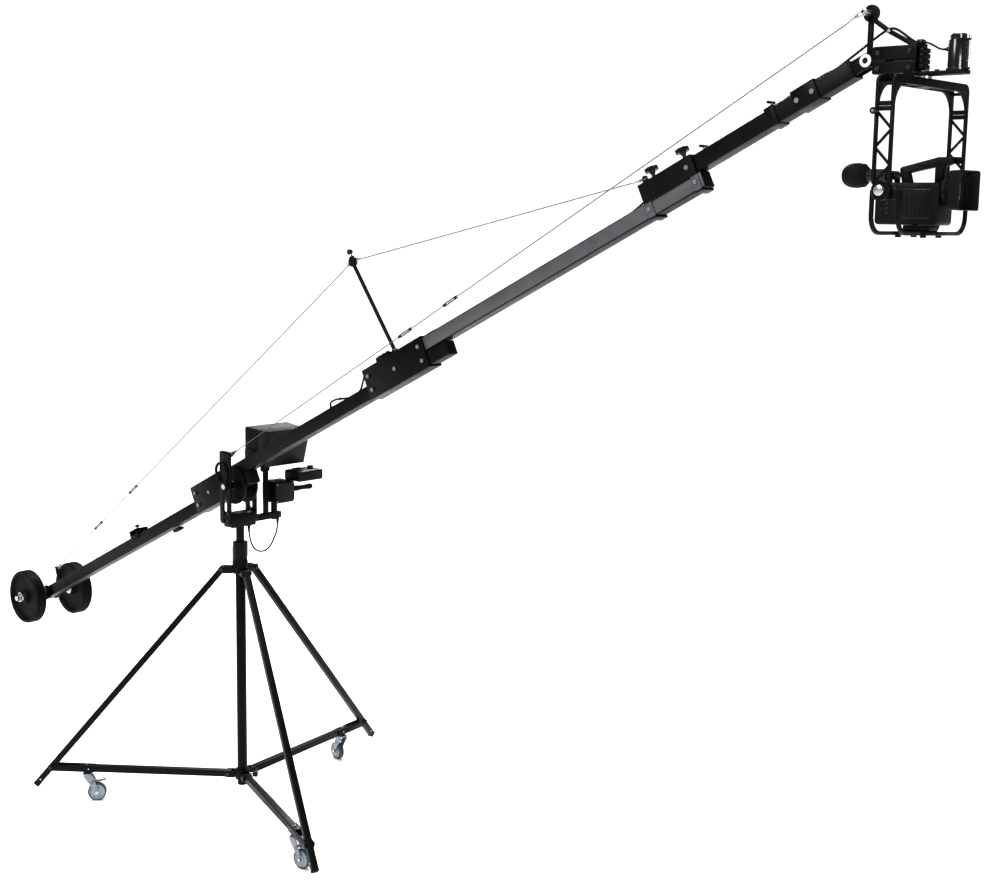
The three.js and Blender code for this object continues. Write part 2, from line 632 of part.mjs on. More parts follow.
// The caster's own frame has its stem on Z and its wheel trailing along +X
function casterBracket() {
  const plateTop = bossLow - fit.gap;
  const plateLow = plateTop - caster.plateHeight;
  const headLow = spreaderHigh + fit.gap;
  const outer = casterFork.inner + casterFork.wall;
  const side = acrossY(outline([
    [-casterFork.crown, plateTop - fit.gap], [casterFork.crown, plateTop - fit.gap],
    [caster.trail + casterFork.eye, wheelHeight + casterFork.eye],
    [caster.trail + casterFork.eye, wheelHeight],
    [caster.trail, wheelHeight - casterFork.eye], [caster.trail - casterFork.eye, wheelHeight],
  ]), casterFork.inner, outer);
  const ear = acrossY(
    strapOutline([brake.along - brake.barrel, brake.height - brake.barrel, brake.barrel],
      [brake.along, brake.height, brake.barrel]),
    casterFork.inner, outer,
  );
  return join(
    rod('z', caster.stem, plateLow, headLow + bolt.headHeight, [0, 0], 8),
    rod('z', bolt.head, headLow, headLow + bolt.headHeight, [0, 0], 6),
    rod('z', caster.plate, plateLow, plateTop, [0, 0], 10),
    bothSides(side),
    bothSides(ear),
    rod('y', wheel.axle, -outer, outer, [caster.trail, wheelHeight], 8),
    rod('y', bolt.head, outer, outer + bolt.headHeight, [caster.trail, wheelHeight], 6),
    rod('y', bolt.head, -outer - bolt.headHeight, -outer, [caster.trail, wheelHeight], 6),
    rod('y', brake.pin, -outer, outer, [brake.along, brake.height], 8),
  );
}

function casterWheel() {
  const w = wheel.width / 2;
  const recess = wheel.width / 4;
  const hubHalf = w + wheel.hubProud;
  const hole = clear(wheel.axle + fit.gap, wheel.sides);
  const profile = [
    [hole, -hubHalf], [wheel.hub, -hubHalf], [wheel.hub, -recess], [wheel.radius - wheel.rim, -recess],
    [wheel.radius - wheel.rim, -w], [wheel.radius, -w], [wheel.radius, w], [wheel.radius - wheel.rim, w],
    [wheel.radius - wheel.rim, recess], [wheel.hub, recess], [wheel.hub, hubHalf], [hole, hubHalf],
    [hole, -hubHalf],
  ];
  return revolved('y', profile, [caster.trail, wheelHeight], wheel.sides);
}

// A stamped pedal: a barrel round the fork's pin and a tread that leans over the wheel
function brakePedal() {
  const y = brake.width / 2;
  const end = brake.along + brake.reach;
  const low = brake.height - brake.barrel;
  const tread = acrossY(outline([
    [brake.along, low], [brake.along + brake.reach / 2, low], [end, low + brake.lift],
    [end, low + brake.lift + brake.thickness], [brake.along + brake.reach / 2, low + brake.thickness],
    [brake.along, low + brake.thickness],
  ]), -y, y);
  return cut(
    join(rod('y', brake.barrel, -y, y, [brake.along, brake.height], 8), tread),
    bore('y', brake.pin + fit.gap, -y - fit.overrun, y + fit.overrun, [brake.along, brake.height], 8),
  );
}

// Fork
function forkBase() {
  const y = fork.inner - fit.gap;
  const top = mastTop + fork.baseHeight;
  const shape = roundedOutline(-fork.baseHalf, fork.baseHalf, -y, y, fit.overrun);
  const gland = rod('z', [cordSize.radius * 2, cordSize.radius * 3],
    forkFloor - mast.cap / 2 - fit.gap, forkFloor, [
    controlLeadRoute[0][0], controlLeadRoute[0][1],
  ], 8);
  return cut(
    join(upZ(shape, forkFloor, top), gland),
    bore('z', mast.spigot + fit.gap, forkFloor - fit.overrun, mastTop + mast.spigotLength + fit.gap,
      [0, 0], 10),
  );
}

// A cheek plate with its pivot bore and a lightening window, and on the near one the level pin
function forkCheek(near) {
  const [inner, outer] = [fork.inner, fork.inner + fork.wall];
  const [low, top] = [mastTop + fork.low, mastTop + fork.top];
  const holder = roundedOutline(cheek.rear, cheek.front, low, top, cheek.corner);
  const middle = (cheek.rear + cheek.front) / 2;
  const windowHalf = cheek.window / 2;
  const window = roundedOutline(
    middle - windowHalf, middle + windowHalf,
    mastTop + cheek.windowLow, mastTop + cheek.windowHigh, windowHalf - fit.gap,
  );
  const bolts = [low + fork.low, low + fork.baseHeight / 2 + fit.overrun].flatMap((z) => [
    rod('y', bolt.head, outer - fit.gap, outer + bolt.headHeight, [cheek.rear / 2, z], 6),
    rod('y', bolt.head, outer - fit.gap, outer + bolt.headHeight, [cheek.front / 2, z], 6),
  ]);
  const plate = cut(
    join(acrossY(holder, inner, outer), ...bolts),
    acrossY(window, inner - fit.overrun, outer + fit.overrun),
    bore('y', axle.radius + fit.gap, inner - fit.overrun, outer + fit.overrun, [0, pivotHeight], 10),
  );
  if (!near) return plate;
  const pinHeight = pivotHeight + levelling.height;
  const pin = join(
    rod('y', levelling.pin, levelling.side - levelling.eyeHalf - levelling.pin, inner + fit.gap,
      [0, pinHeight], 8),
    rod('y', 2 * levelling.pin, levelling.side + levelling.eyeHalf + fit.gap, inner + fit.gap,
      [0, pinHeight], 8),
    rod(
      'y', 2 * levelling.pin, levelling.side - levelling.eyeHalf - levelling.pin,
      levelling.side - levelling.eyeHalf - fit.gap, [0, pinHeight], 6,
    ),
  );
  return moved(join(plate, pin), { mirrorY: true });
}

function tiltAxle() {
  const at = [0, pivotHeight];
  const outer = fork.inner + fork.wall;
  const nearEnd = outer + fit.gap + lock.thickness + fit.gap;
  const spacers = rod('y', axle.spacer, sleeveOuter + fit.gap, fork.inner - fit.gap, at, 12);
  return join(
    rod('y', axle.radius, -nearEnd - axle.headHeight, outer + axle.headHeight, at, 12),
    rod('y', axle.head, -nearEnd - axle.headHeight, -nearEnd, at, 6),
    rod('y', axle.head, outer + fit.gap, outer + axle.headHeight, at, 6),
    bothSides(spacers),
  );
}

// A loop handle on the near end of the tilt axle
function tiltLockHandle() {
  const [w, h] = [lock.width / 2, lock.height / 2];
  const y1 = -(fork.inner + fork.wall + fit.gap);
  const y0 = y1 - lock.thickness;
  const centre = lock.centre;
  const outer = roundedOutline(-w, w, centre - h, centre + h, w - fit.gap, 5);
  const inner = roundedOutline(
    -w + lock.bar, w - lock.bar, centre - h + lock.bar, centre + h - lock.bar, w - lock.bar - fit.gap, 4,
  );
  const loop = cut(acrossY(outer, y0, y1), acrossY(inner, y0 - fit.overrun, y1 + fit.overrun));
  const whole = cut(
    join(loop, rod('y', lock.hub, y0, y1, [0, 0], 10)),
    bore('y', axle.radius + fit.gap, y0 - fit.overrun, y1 + fit.overrun, [0, 0], 10),
  );
  return moved(whole, { at: [0, 0, pivotHeight], turnY: -degrees(lock.lean) });
}

// The control arm, its joystick housing and the post that carries the monitor
function joystickBox() {
  const [near, far] = [fork.inner + fork.wall + bolt.headHeight + fit.gap, station.armEnd];
  const base = mastTop;
  const arm = block(-station.armHalf, station.armHalf, fork.inner + fork.wall + fit.gap, far,
    base + station.armLow,
    base + station.armHigh);
  const clearance = block(
    -2 * station.armHalf, 2 * station.armHalf, 0, near, base + station.armLow + bolt.head,
    base + station.armHigh + fit.overrun,
  );
  const mount = rod(
    'z', station.block / 2, base + station.armLow - station.blockDrop, base + joyBox.low + fit.gap,
    [0, joyBox.near + station.block], 10,
  );
  const shape = roundedOutline(joyBox.near, joyBox.far, base + joyBox.low, base + joyBox.high,
    joyBox.corner);
  const box = alongX(shape, -joyBox.half, joyBox.half);
  const hingeHeight = base + post.hinge;
  const upright = cut(
    acrossY(strapOutline([0, base + station.armHigh, post.half], [0, hingeHeight, post.half]),
      post.near, post.far),
    bore('y', post.pin + fit.gap, post.near - fit.overrun, post.far + fit.overrun, [0, hingeHeight], 8),
  );
  const web = block(-post.half, post.half, post.far - fit.gap, joyBox.near + fit.gap,
    base + joyBox.low + joyBox.corner,
    base + joyBox.high - joyBox.corner);
  const collarRing = rod(
    'y', [joyStick.collar, (joyStick.collar + joyStick.socket) / 2], joyBox.far,
    joyBox.far + joyStick.collarHeight,
    [0, stickHeight()], 12,
  );
  const socket = bore(
    'y', joyStick.socket, joyBox.far - 2 * fit.overrun, joyBox.far + 2 * fit.overrun, [0, stickHeight()], 12,
  );
  return cut(join(cut(arm, clearance), mount, box, upright, web, collarRing), socket);
}

function stickHeight() {
  return mastTop + (joyBox.low + joyBox.high) / 2;
}

// The stick points away from the fork; its ball turns in the box's collar
function joystickLever() {
  const ball = joyStick.socket - fit.gap;
  const centre = joyBox.far + joyStick.collarHeight / 2;
  const neckEnd = joyBox.far + joyStick.neckLength;
  const end = joyBox.far + joyStick.length;
  const waist = joyStick.grip - joyStick.neck / 2;
  return revolved('y', [
    ...arc(0, centre, ball, -Math.PI / 2, Math.acos(joyStick.neck / ball), 5),
    [joyStick.neck, neckEnd], [waist, neckEnd + joyStick.neck], [joyStick.grip, neckEnd + joyStick.grip],
    [waist, (neckEnd + end) / 2], [joyStick.grip, end - joyStick.grip],
    [waist, end - joyStick.neck / 2], [0, end],
  ], [0, stickHeight()], 12);
}

function zoomControl() {
  const base = mastTop;
  const shape = roundedOutline(handUnit.near, handUnit.far, base + handUnit.low,
    base + handUnit.high, handUnit.corner);
  const shell = alongX(shape, handUnit.rear, handUnit.front);
  const foot = block(
    handUnit.rear, joyBox.half - fit.overrun, handUnit.near + handUnit.corner, joyBox.far - joyBox.corner,
    base + joyBox.high + fit.gap, base + handUnit.low + fit.overrun,
  );
  const raised = moved(shell, { at: [0, 0, fit.overrun] });
  const dial = rod(
    'z', handUnit.lens, base + handUnit.high, base + handUnit.high + 2 * fit.overrun,
    [(handUnit.rear + handUnit.front) / 2, handUnit.far - 2 * handUnit.corner - handUnit.lens], 12,
  );
  return join(raised, foot, dial);
}

// The monitor has a slanted back, a recessed screen and two ears for its tilt pin
function monitorBody() {
  const [low, high] = [mastTop + monitor.low, mastTop + monitor.high];
  const shell = acrossY(outline([
    [monitor.front, low], [monitor.backLow, low], [monitor.backTop, high - screen.margin],
    [monitor.backTop, high],
    [monitor.front, high],
  ]), monitor.near, monitor.far);
  const recess = block(
    monitor.front - fit.overrun, monitor.front + screen.depth, monitor.near + screen.margin,
    monitor.far - screen.margin, low + screen.margin, high - screen.margin,
  );
  const hingeHeight = mastTop + post.hinge;
  const ears = [
    [post.near - post.earGap - post.ear, post.near - post.earGap],
    [post.far + post.earGap, post.far + post.earGap + post.ear / 2],
  ].map(([y0, y1]) => acrossY(
    strapOutline([0, hingeHeight, post.half], [monitor.front + post.half + fit.gap, low, post.half]), y0, y1,
  ));
  const cap = block(monitor.front, monitor.backTop, monitor.near, monitor.far, low, low + post.half);
  const trimmed = cut(join(...ears), cap);
  const vents = Array.from({ length: monitor.vents }, (_, i) => {
    const y = monitor.near + ((i + 1) / (monitor.vents + 1)) * (monitor.far - monitor.near);
    return block(0, monitor.backTop, y - screen.depth, y + screen.depth, high - screen.depth,
      high + fit.overrun);
  });
  const pin = rod(
    'y', post.pin, post.near - post.earGap - post.ear, post.far + post.earGap + post.ear / 2,
    [0, hingeHeight], 8,
  );
  return cut(join(shell, trimmed, pin), recess, ...vents);
}

function monitorHood() {
  const [low, high] = [mastTop + monitor.low, mastTop + monitor.high];
  const end = monitor.front - fit.gap;
  const start = end - hood.depth;
  const frustum = (inset, from, to) => taperedBox(
    [from, monitor.near - hood.flare + inset, monitor.far + hood.flare - inset, low + inset,
      high + hood.flare - inset],
    [to, monitor.near + inset, monitor.far - inset, low + inset, high - inset],
  );
  return cut(frustum(0, start, end), frustum(hood.wall, start - fit.overrun, end + fit.overrun));
}

// A box whose two end faces, along X, have their own sizes
function taperedBox([x0, ya, yb, za, zb], [x1, yc, yd, zc, zd]) {
  const geometry = new THREE.BoxGeometry(2, 2, 2);
  const corners = geometry.attributes.position;
  for (let i = 0; i < corners.count; i += 1) {
    const atEnd = corners.getX(i) > 0;
    const [y0, y1, z0, z1] = atEnd ? [yc, yd, zc, zd] : [ya, yb, za, zb];
    const y = corners.getY(i) > 0 ? y1 : y0;
    const z = corners.getZ(i) > 0 ? z1 : z0;
    corners.setXYZ(i, atEnd ? x1 : x0, y, z);
  }
  return geometry;
}

// Boom, in its own frame: X along the boom from the tilt axis, Z square to it
function rearBoomTube() {
  const tubeBody = join(
    squareTube(rearTubeStart, rearTube.end, tube.size, tube.wall, 0),
    tubePlug(rearTubeStart, -1, tube.size, tube.wall, 0, tube.plug),
  );
  const lug = stayLug(anchorRear, anchor.rearHeight, half - fit.gap);
  const foot = block(
    anchorRear - anchor.foot, anchorRear + anchor.foot, -half / 2, half / 2, half - fit.gap,
    half + stay.eye / 2,
  );
  const seat = seatClampParts();
  return cut(
    join(tubeBody, lug, foot, ...seat),
    bore('y', axle.radius + fit.gap, -half - fit.overrun, half + fit.overrun, [0, 0], 10),
    bore('y', weights.bar + fit.gap, -half - fit.overrun, half + fit.overrun, [weights.along, 0], 10),
  );
}

// A small saddle clamp on top of the rear tube and an oval knob under it
function seatClampParts() {
  const [x, reach] = [seatClamp.along, seatClamp.length / 2];
  const saddle = cut(
    block(x - reach, x + reach, -seatClamp.half, seatClamp.half, half / 2, half + seatClamp.height),
    block(
      x - reach - fit.overrun, x + reach + fit.overrun, -half + fit.gap, half - fit.gap,
      -half, half - fit.gap,
    ),
    block(
      x - reach / 2, x + reach / 2, -seatClamp.half - fit.overrun, seatClamp.half + fit.overrun,
      half + seatClamp.wall, half + seatClamp.height - seatClamp.wall,
    ),
  );
  const top = half + seatClamp.height;
  const stem = join(
    rod('z', seatClamp.stem, top - fit.gap, top + seatClamp.stemHeight, [x, 0], 8),
    rod('z', 2 * seatClamp.stem, top + seatClamp.stemHeight / 2, top + seatClamp.stemHeight, [x, 0], 6),
  );
  const ovalTop = -half - underKnob.stemLength;
  const [c, w] = [underKnob.length / 2 - underKnob.width / 2, underKnob.width / 2];
  const oval = upZ(
    strapOutline([underKnob.along - c, 0, w], [underKnob.along + c, 0, w]),
    ovalTop - underKnob.drop / 2, ovalTop,
  );
  const ovalStem = rod('z', underKnob.stem, ovalTop - fit.gap, -half + fit.gap, [underKnob.along, 0], 8);
  return [saddle, stem, oval, ovalStem];
}

function boomTubeOne() {
  const lead = boomLeadRoute[0];
  const gland = rod(
    'z', [cordSize.radius * cordSize.glandFoot, cordSize.radius * cordSize.glandTop],
    rowOne + half - fit.gap, lead[2] - fit.gap,
    [lead[0], lead[1]], 8,
  );
  return join(
    squareTube(boomOne.start, tubeOneEnd, tube.size, tube.wall, rowOne),
    tubePlug(tubeOneEnd, 1, tube.size, tube.wall, rowOne, tube.plug),
    gland,
  );
}

function boomTubeTwo() {
  return join(
    squareTube(tubeTwoStart, tubeTwoEnd, tube.size, tube.wall, rowTwo),
    tubePlug(tubeTwoEnd, 1, tube.size, tube.wall, rowTwo, tube.plug),
  );
}

// A T-handle bolt that stands on top of a clamp
function teeBolt(x, z) {
  return join(
    rod('z', tee.stem, z, z + tee.height, [x, 0], 8),
    rod('y', tee.barRadius, -tee.bar, tee.bar, [x, z + tee.height], 8),
  );
}

// The foremost tube carries a collar, a clamp block and the clevis of the swing head
function boomTubeThree() {
  const z = rowThree;
  const ring = (end, length, proud) => block(
    end - length, end, -half - proud, half + proud, z - half - fit.gap - tube.wall, z + half + proud,
  );
  const hollow = half - tube.wall;
  const ear = cut(
    acrossY(
      strapOutline([tubeThreeEnd - tip.ear, z, tip.ear], [tip.along, z, tip.ear]), tip.earInner,
      tip.earOuter,
    ),
    rod('y', tip.pin - fit.gap, tip.earInner - fit.overrun, tip.earOuter + fit.overrun, [tip.along, z], 8),
  );
  const socket = block(
    tubeThreeEnd - tip.socket, tubeThreeEnd, -hollow - fit.gap, hollow + fit.gap,
    z - hollow - fit.gap, z + hollow + fit.gap,
  );
  return join(
    cut(
      join(
        squareTube(tubeThreeStart, tubeThreeEnd, tube.size, tube.wall, z),
        ring(tipCollarEnd, tipCollar.length, tipCollar.proud),
        ring(tipBlockEnd, tipBlock.length, tipBlock.proud),
      ),
      block(
        tubeThreeStart - fit.overrun, tubeThreeEnd - tip.socket, -hollow, hollow, z - hollow, z + hollow,
      ),
    ),
    socket,
    bothSides(ear),
    rod('y', tip.pin, -tip.earOuter - tip.headHeight, tip.earOuter + tip.headHeight, [tip.along, z], 8),
    rod('y', tip.head, -tip.earOuter - tip.headHeight, -tip.earOuter + fit.gap, [tip.along, z], 10),
    rod('y', bolt.head + tip.headHeight, tip.earOuter - fit.gap, tip.earOuter + tip.headHeight,
      [tip.along, z], 6),
    teeBolt(tipCollarEnd - tipCollar.length / 2, z + half + tipCollar.proud - fit.gap),
    teeBolt(frontClampEnd + tee.gap, z + half - fit.gap),
    leadSaddle(),
  );
}

// A saddle under the power lead near the boom's tip
function leadSaddle() {
  const [x, y] = [tip.along - leadClip.setback, leadClip.side];
  const leadHeight = boomLeadRoute[boomLeadRoute.length - 2][2];
  const reach = cordSize.radius * 2;
  return block(
    x - reach, x + reach, y - reach, y + reach,
    rowThree + half - fit.gap, leadHeight - cordSize.radius - cordSize.radius / 2,
  );
}

function rearJointClamp() {
  const plateY = [sleeveInner, sleeveOuter];
  const clampDisc = bothSides(rod('y', rearClamp.disc, ...plateY, [0, 0], 16));
  const end = rearClamp.end - sleeve.window;
  const bolts = flankBolts([
    [rearClamp.start + sleeve.window, 0], [rearClamp.start + sleeve.window, rowOne],
    [(rearClamp.start + rearClamp.end) / 2, rowOne / 2], [end, 0], [end, rowOne],
  ]);
  return cut(
    join(clampSleeve(rearClamp.start, rearClamp.end, 0, rowOne), clampDisc, bolts),
    bore('y', axle.radius + fit.gap, -sleeveOuter - fit.overrun, sleeveOuter + fit.overrun, [0, 0], 10),
    rod('y', sleeve.window / 2, -sleeveOuter - fit.overrun, sleeveOuter + fit.overrun, [
      (rearClamp.start + rearClamp.end) / 2 + 2 * sleeve.window, rowOne / 2], 8),
  );
}

function midJointClamp() {
  const inset = sleeve.window;
  const stub = block(
    midClamp.start + midClamp.blockInset, midClamp.start + midClamp.blockInset + midClamp.block,
    -midClamp.blockHalf, midClamp.blockHalf / 2, midTop - fit.gap, midTop + midClamp.blockHeight,
  );
  return join(
    clampSleeve(midClamp.start, midClamp.end, rowOne, rowTwo),
    stub,
    flankBolts([
      [midClamp.start + inset, rowOne], [midClamp.start + inset, rowTwo],
      [(midClamp.start + midClamp.end) / 2, (rowOne + rowTwo) / 2],
      [midClamp.end - inset, rowOne], [midClamp.end - inset, rowTwo],
    ]),
  );
}

// The front clamp holds the upper tube all along, and the lower one by a band at each end
function frontJointClamp() {
  const [start, end, band] = [frontClampStart, frontClampEnd, frontClamp.band];
  const bosses = knobPlaces.map((x) => rod(
    'z', frontClamp.boss, frontTop - fit.gap, frontTop + frontClamp.bossHeight, [x, 0], 10,
  ));
  const opening = block(
    start + band, end - band, -sleeveOuter - fit.overrun, sleeveOuter + fit.overrun,
    rowTwo - sleeveOuter - fit.overrun, rowTwo + half - sleeve.wall,
  );
  return join(
    cut(clampSleeve(start, end, rowTwo, rowThree), opening),
    ...bosses,
    stayLug(anchorFront, anchor.frontHeight, frontTop - fit.gap),
    flankBolts([[start + band / 2, rowTwo], [end - band / 2, rowTwo], [end - sleeve.window, rowThree]]),
  );
}

function lobedKnob(x) {
  const low = frontTop + frontClamp.bossHeight + fit.gap;
  const neck = low + handKnob.stemLength;
  const top = neck + handKnob.headHeight;
  const knob = revolved('z', [
    [0, low], [handKnob.stem, low], [handKnob.stem, neck], [handKnob.head - handKnob.stem / 2, neck],
    [handKnob.head, neck + handKnob.headHeight / 3],
    [handKnob.head - handKnob.stem / 2, top - handKnob.stem / 2],
    [handKnob.head / 2, top], [0, top],
  ], [x, 0], 10);
  const notches = Array.from({ length: handKnob.lobes }, (_, i) => {
    const angle = (i / handKnob.lobes) * 2 * Math.PI;
    const reach = handKnob.head + handKnob.scoopOut;
    return rod(
      'z', handKnob.scoop, neck - fit.overrun, top + fit.overrun,
      [x + reach * Math.cos(angle), reach * Math.sin(angle)], 8,
    );
  });
  return cut(knob, ...notches);
}

function kingPostPiece() {
  const low = midTop + fit.gap;
  const footTop = low + kingPost.footHeight;
  const [x, z] = [postTop, kingPost.topHeight];
  const side = stay.eyeHalf + fit.gap + stay.ear;
  const [bottom, ceiling] = [z - postHead.low - postHead.bridge, z + postHead.high + postHead.bridge];
  const headShape = roundedOutline(x - postHead.half, x + postHead.half, bottom, ceiling,
    postHead.bridge / 2);
  const slotHalf = stay.eyeHalf + fit.gap;
  const headPiece = cut(
    acrossY(headShape, -side, side),
    block(
      x - postHead.half - fit.overrun, x + postHead.half + fit.overrun, -slotHalf, slotHalf,
      z - postHead.low, z + postHead.high,
    ),
  );
  const eyes = [-postHead.spread, postHead.spread].map((shift) => rod('y', stay.pin, -side, side,
    [x + shift, z], 8));
  const ball = new THREE.SphereGeometry(postHead.ball, 8, 6).translate(
    x, 0, ceiling + postHead.neckLength + postHead.ball,
  );
  return join(
    block(
      postFoot - kingPost.footHalf, postFoot + kingPost.footHalf, -kingPost.footHalf / 2 - fit.gap,
      kingPost.footHalf / 2 + fit.gap, low, footTop,
    ),
    bar([postFoot, 0, footTop - fit.overrun / 2], [x, 0, bottom + postHead.bridge / 2], kingPost.radius, 16),
    headPiece,
    ...eyes,
    rod('z', postHead.neck, ceiling - fit.gap, ceiling + postHead.neckLength + postHead.neck, [x, 0], 8),
    ball,
  );
}

// The bracket straddles the rear tube's end and its bar carries the discs on both sides
function weightBar() {
  const { along: x, bracketHalf: reach, bracketHeight: tall } = weights;
  const side = half + fit.gap;
  const outer = side + weights.bracketWall;
  const cheekPlate = acrossY(roundedOutline(x - reach, x + reach, -tall, tall, fit.overrun), side, outer);
  const stopStart = weights.inner - fit.gap - disc.stopLength;
  const stop = rod('y', disc.stop, stopStart, weights.inner - fit.gap, [x, 0], 10);
  const bolts = [-reach, reach].map((shift) => rod(
    'y', bolt.head, outer - fit.gap, outer + bolt.headHeight, [x + shift / 2, tall * weights.boltShare], 6,
  ));
  const discOuter = weights.inner + disc.thickness;
  const nearEnd = discOuter + fit.gap + nut.thickness + nut.bossLength + nut.barProud;
  return join(
    bothSides(cheekPlate),
    bothSides(stop),
    bothSides(join(...bolts)),
    rod('y', weights.bar, -nearEnd, discOuter + fit.gap + disc.stopLength, [x, 0], 10),
    rod('y', disc.stop, discOuter + fit.gap, discOuter + fit.gap + disc.stopLength, [x, 0], 6),
  );
}

// A cast disc with a rounded rim, a recessed web and a hub, bored for the bar
function weightDisc(way) {
  const { radius: R, rim, web, hub: h, bevel } = disc;
  const [inner, outer] = [weights.inner, weights.inner + disc.thickness];
  const hole = clear(weights.bar + fit.gap, disc.sides);
  const profile = [
    [hole, inner], [h, inner], [h + bevel, inner + web], [R - rim, inner + web], [R - rim + bevel, inner],
    [R - bevel, inner], [R, inner + bevel], [R, outer - bevel], [R - bevel, outer], [R - rim + bevel, outer],
    [R - rim, outer - web], [h + bevel, outer - web], [h, outer], [hole, outer], [hole, inner],
  ];
  return moved(revolved('y', profile, [weights.along, 0], disc.sides), { mirrorY: way < 0 });
}

function weightNut() {
  const y1 = -(weights.inner + disc.thickness + fit.gap);
  const y0 = y1 - nut.thickness;
  const at = [weights.along, 0];
  const lobes = [0, 1, 2].map((i) => {
    const angle = (i / 3) * 2 * Math.PI + Math.PI / 2;
    const [x, z] = [nut.lobeReach * Math.cos(angle), nut.lobeReach * Math.sin(angle)];
    return acrossY(strapOutline([weights.along, 0, nut.lobe], [weights.along + x, z, nut.lobe]), y0, y1);
  });
  return cut(
    join(...lobes, rod('y', nut.radius + fit.overrun, y0, y1, at, 16),
      rod('y', nut.boss, y0 - nut.bossLength,
      y0 + fit.gap, at, 12)),
    bore('y', weights.bar + fit.gap, y0 - nut.bossLength - fit.overrun, y1 + fit.overrun, at, 16),
  );
}

// Swing head, in a level frame whose origin is the boom tip's pin
function headBracket() {
  const h = headBlock;
  const tongue = join(
    rod('y', head.tongueHalf, -head.tongue, head.tongue, [0, 0], 10),
    block(0, head.blockRear + fit.gap, -head.tongue, head.tongue, -head.tongueHalf, head.tongueHalf),
  );
  const main = cut(
    acrossY(
      roundedOutline(head.blockRear, head.blockFront, h.low, h.high, h.plate), -head.blockHalf,
      head.blockHalf,
    ),
    block(
      h.slotRear, head.blockFront - h.plate, -head.blockHalf - fit.overrun, head.blockHalf + fit.overrun,
      h.slotHeight - h.slot / 2, h.slotHeight + h.slot / 2,
    ),
  );
  const endPlate = block(
    head.blockFront - h.plate, head.blockFront, -head.blockHalf - h.plateProud,
    head.blockHalf + h.plateProud,
    h.low + h.plate, h.high + h.plateProud,
  );
  const nose = headNosePiece();
  const barPiece = upZ(roundedOutline(headBar.rear, headBar.front, -headBar.half, headBar.half,
    headBar.half / 2),
    headBar.low, headBar.high);
  const pad = rod('z', lockPad.radius, h.low - lockPad.drop, h.low + fit.gap, [lockPad.along, 0], 10);
  const discHeight = levelling.height;
  const upright = block(
    -headPost.half, headPost.half, -headPost.thickness, headPost.thickness,
    head.tongueHalf - 2 * fit.gap, discHeight,
  );
  const pivotDisc = rod('y', levelling.disc, -levelling.discHalf, levelling.discHalf, [0, discHeight], 12);
  const pin = join(
    rod('y', levelling.pin, -levelling.pinEnd, 0, [0, discHeight], 8),
    rod('y', 2 * levelling.pin, -levelling.side + levelling.eyeHalf + fit.gap, 0, [0, discHeight], 8),
    rod('y', 2 * levelling.pin, -levelling.pinEnd, -levelling.side - levelling.eyeHalf - fit.gap,
      [0, discHeight], 6),
  );
  const braces = join(
    acrossY(strapOutline([0, discHeight - levelling.disc / 2, brace.radius],
      [brace.middle, brace.middleHeight, brace.radius]), -brace.half, brace.half),
    acrossY(strapOutline([brace.middle, brace.middleHeight, brace.radius],
      [brace.foot, h.high, brace.radius]), -brace.half, brace.half),
  );
  const box = block(leadBox.rear, leadBox.front, leadBox.near, leadBox.far, h.high - fit.gap,
    h.high + leadBox.height);
  return cut(
    join(tongue, main, endPlate, nose, barPiece, pad, upright, pivotDisc, pin, braces, box),
    bore('y', tip.pin + fit.gap, -head.tongue - fit.overrun, head.tongue + fit.overrun, [0, 0], 8),
    bore('z', panAxis.shaft + fit.gap, headBar.low - fit.overrun, headBar.high + fit.overrun,
      [panAxis.along, 0], 10),
  );
}

// The ribbed end piece in front of the clamp block
function headNosePiece() {
  const start = head.blockFront - fit.gap;
  const end = head.blockFront + headNose.length;
  const grooves = Array.from({ length: headNose.grooves }, (_, i) => {
    const z = headNose.low + ((i + 1) / (headNose.grooves + 1)) * (headNose.high - headNose.low);
    return block(
      end - headNose.groove, end + fit.overrun, -headNose.half - fit.overrun, headNose.half + fit.overrun,
      z - headNose.groove, z + headNose.groove,
    );
  });
  return cut(block(start, end, -headNose.half, headNose.half, headNose.low, headNose.high), ...grooves);
}

function panMotorPiece() {
  const low = headBar.high + fit.gap;
  const top = low + panMotor.flangeHeight + panMotor.can;
  const x = panMotor.along;
  const can = revolved('z', [
    [0, low], [panMotor.flange, low], [panMotor.flange, low + panMotor.flangeHeight],
    [panMotor.radius, low + panMotor.flangeHeight], [panMotor.radius, top],
    [panMotor.cap, top + panMotor.capHeight / 3], [panMotor.cap, top + panMotor.capHeight],
    [0, top + panMotor.capHeight],
  ], [x, 0], 12);
  const rodX = x + panRod.side;
  return join(
    can,
    rod('z', panRod.radius, low, low + panRod.height, [rodX, 0], 8),
    block(x, rodX + panRod.radius, -panRod.radius, panRod.radius, low, low + panMotor.flangeHeight),
    block(x, rodX + panRod.radius, -panRod.radius, panRod.radius, top - panMotor.flangeHeight, top),
    rod('x', panRod.radius * 2, x - panMotor.radius - panMotor.flangeHeight, x,
      [0, top - panMotor.radius], 8),
  );
}

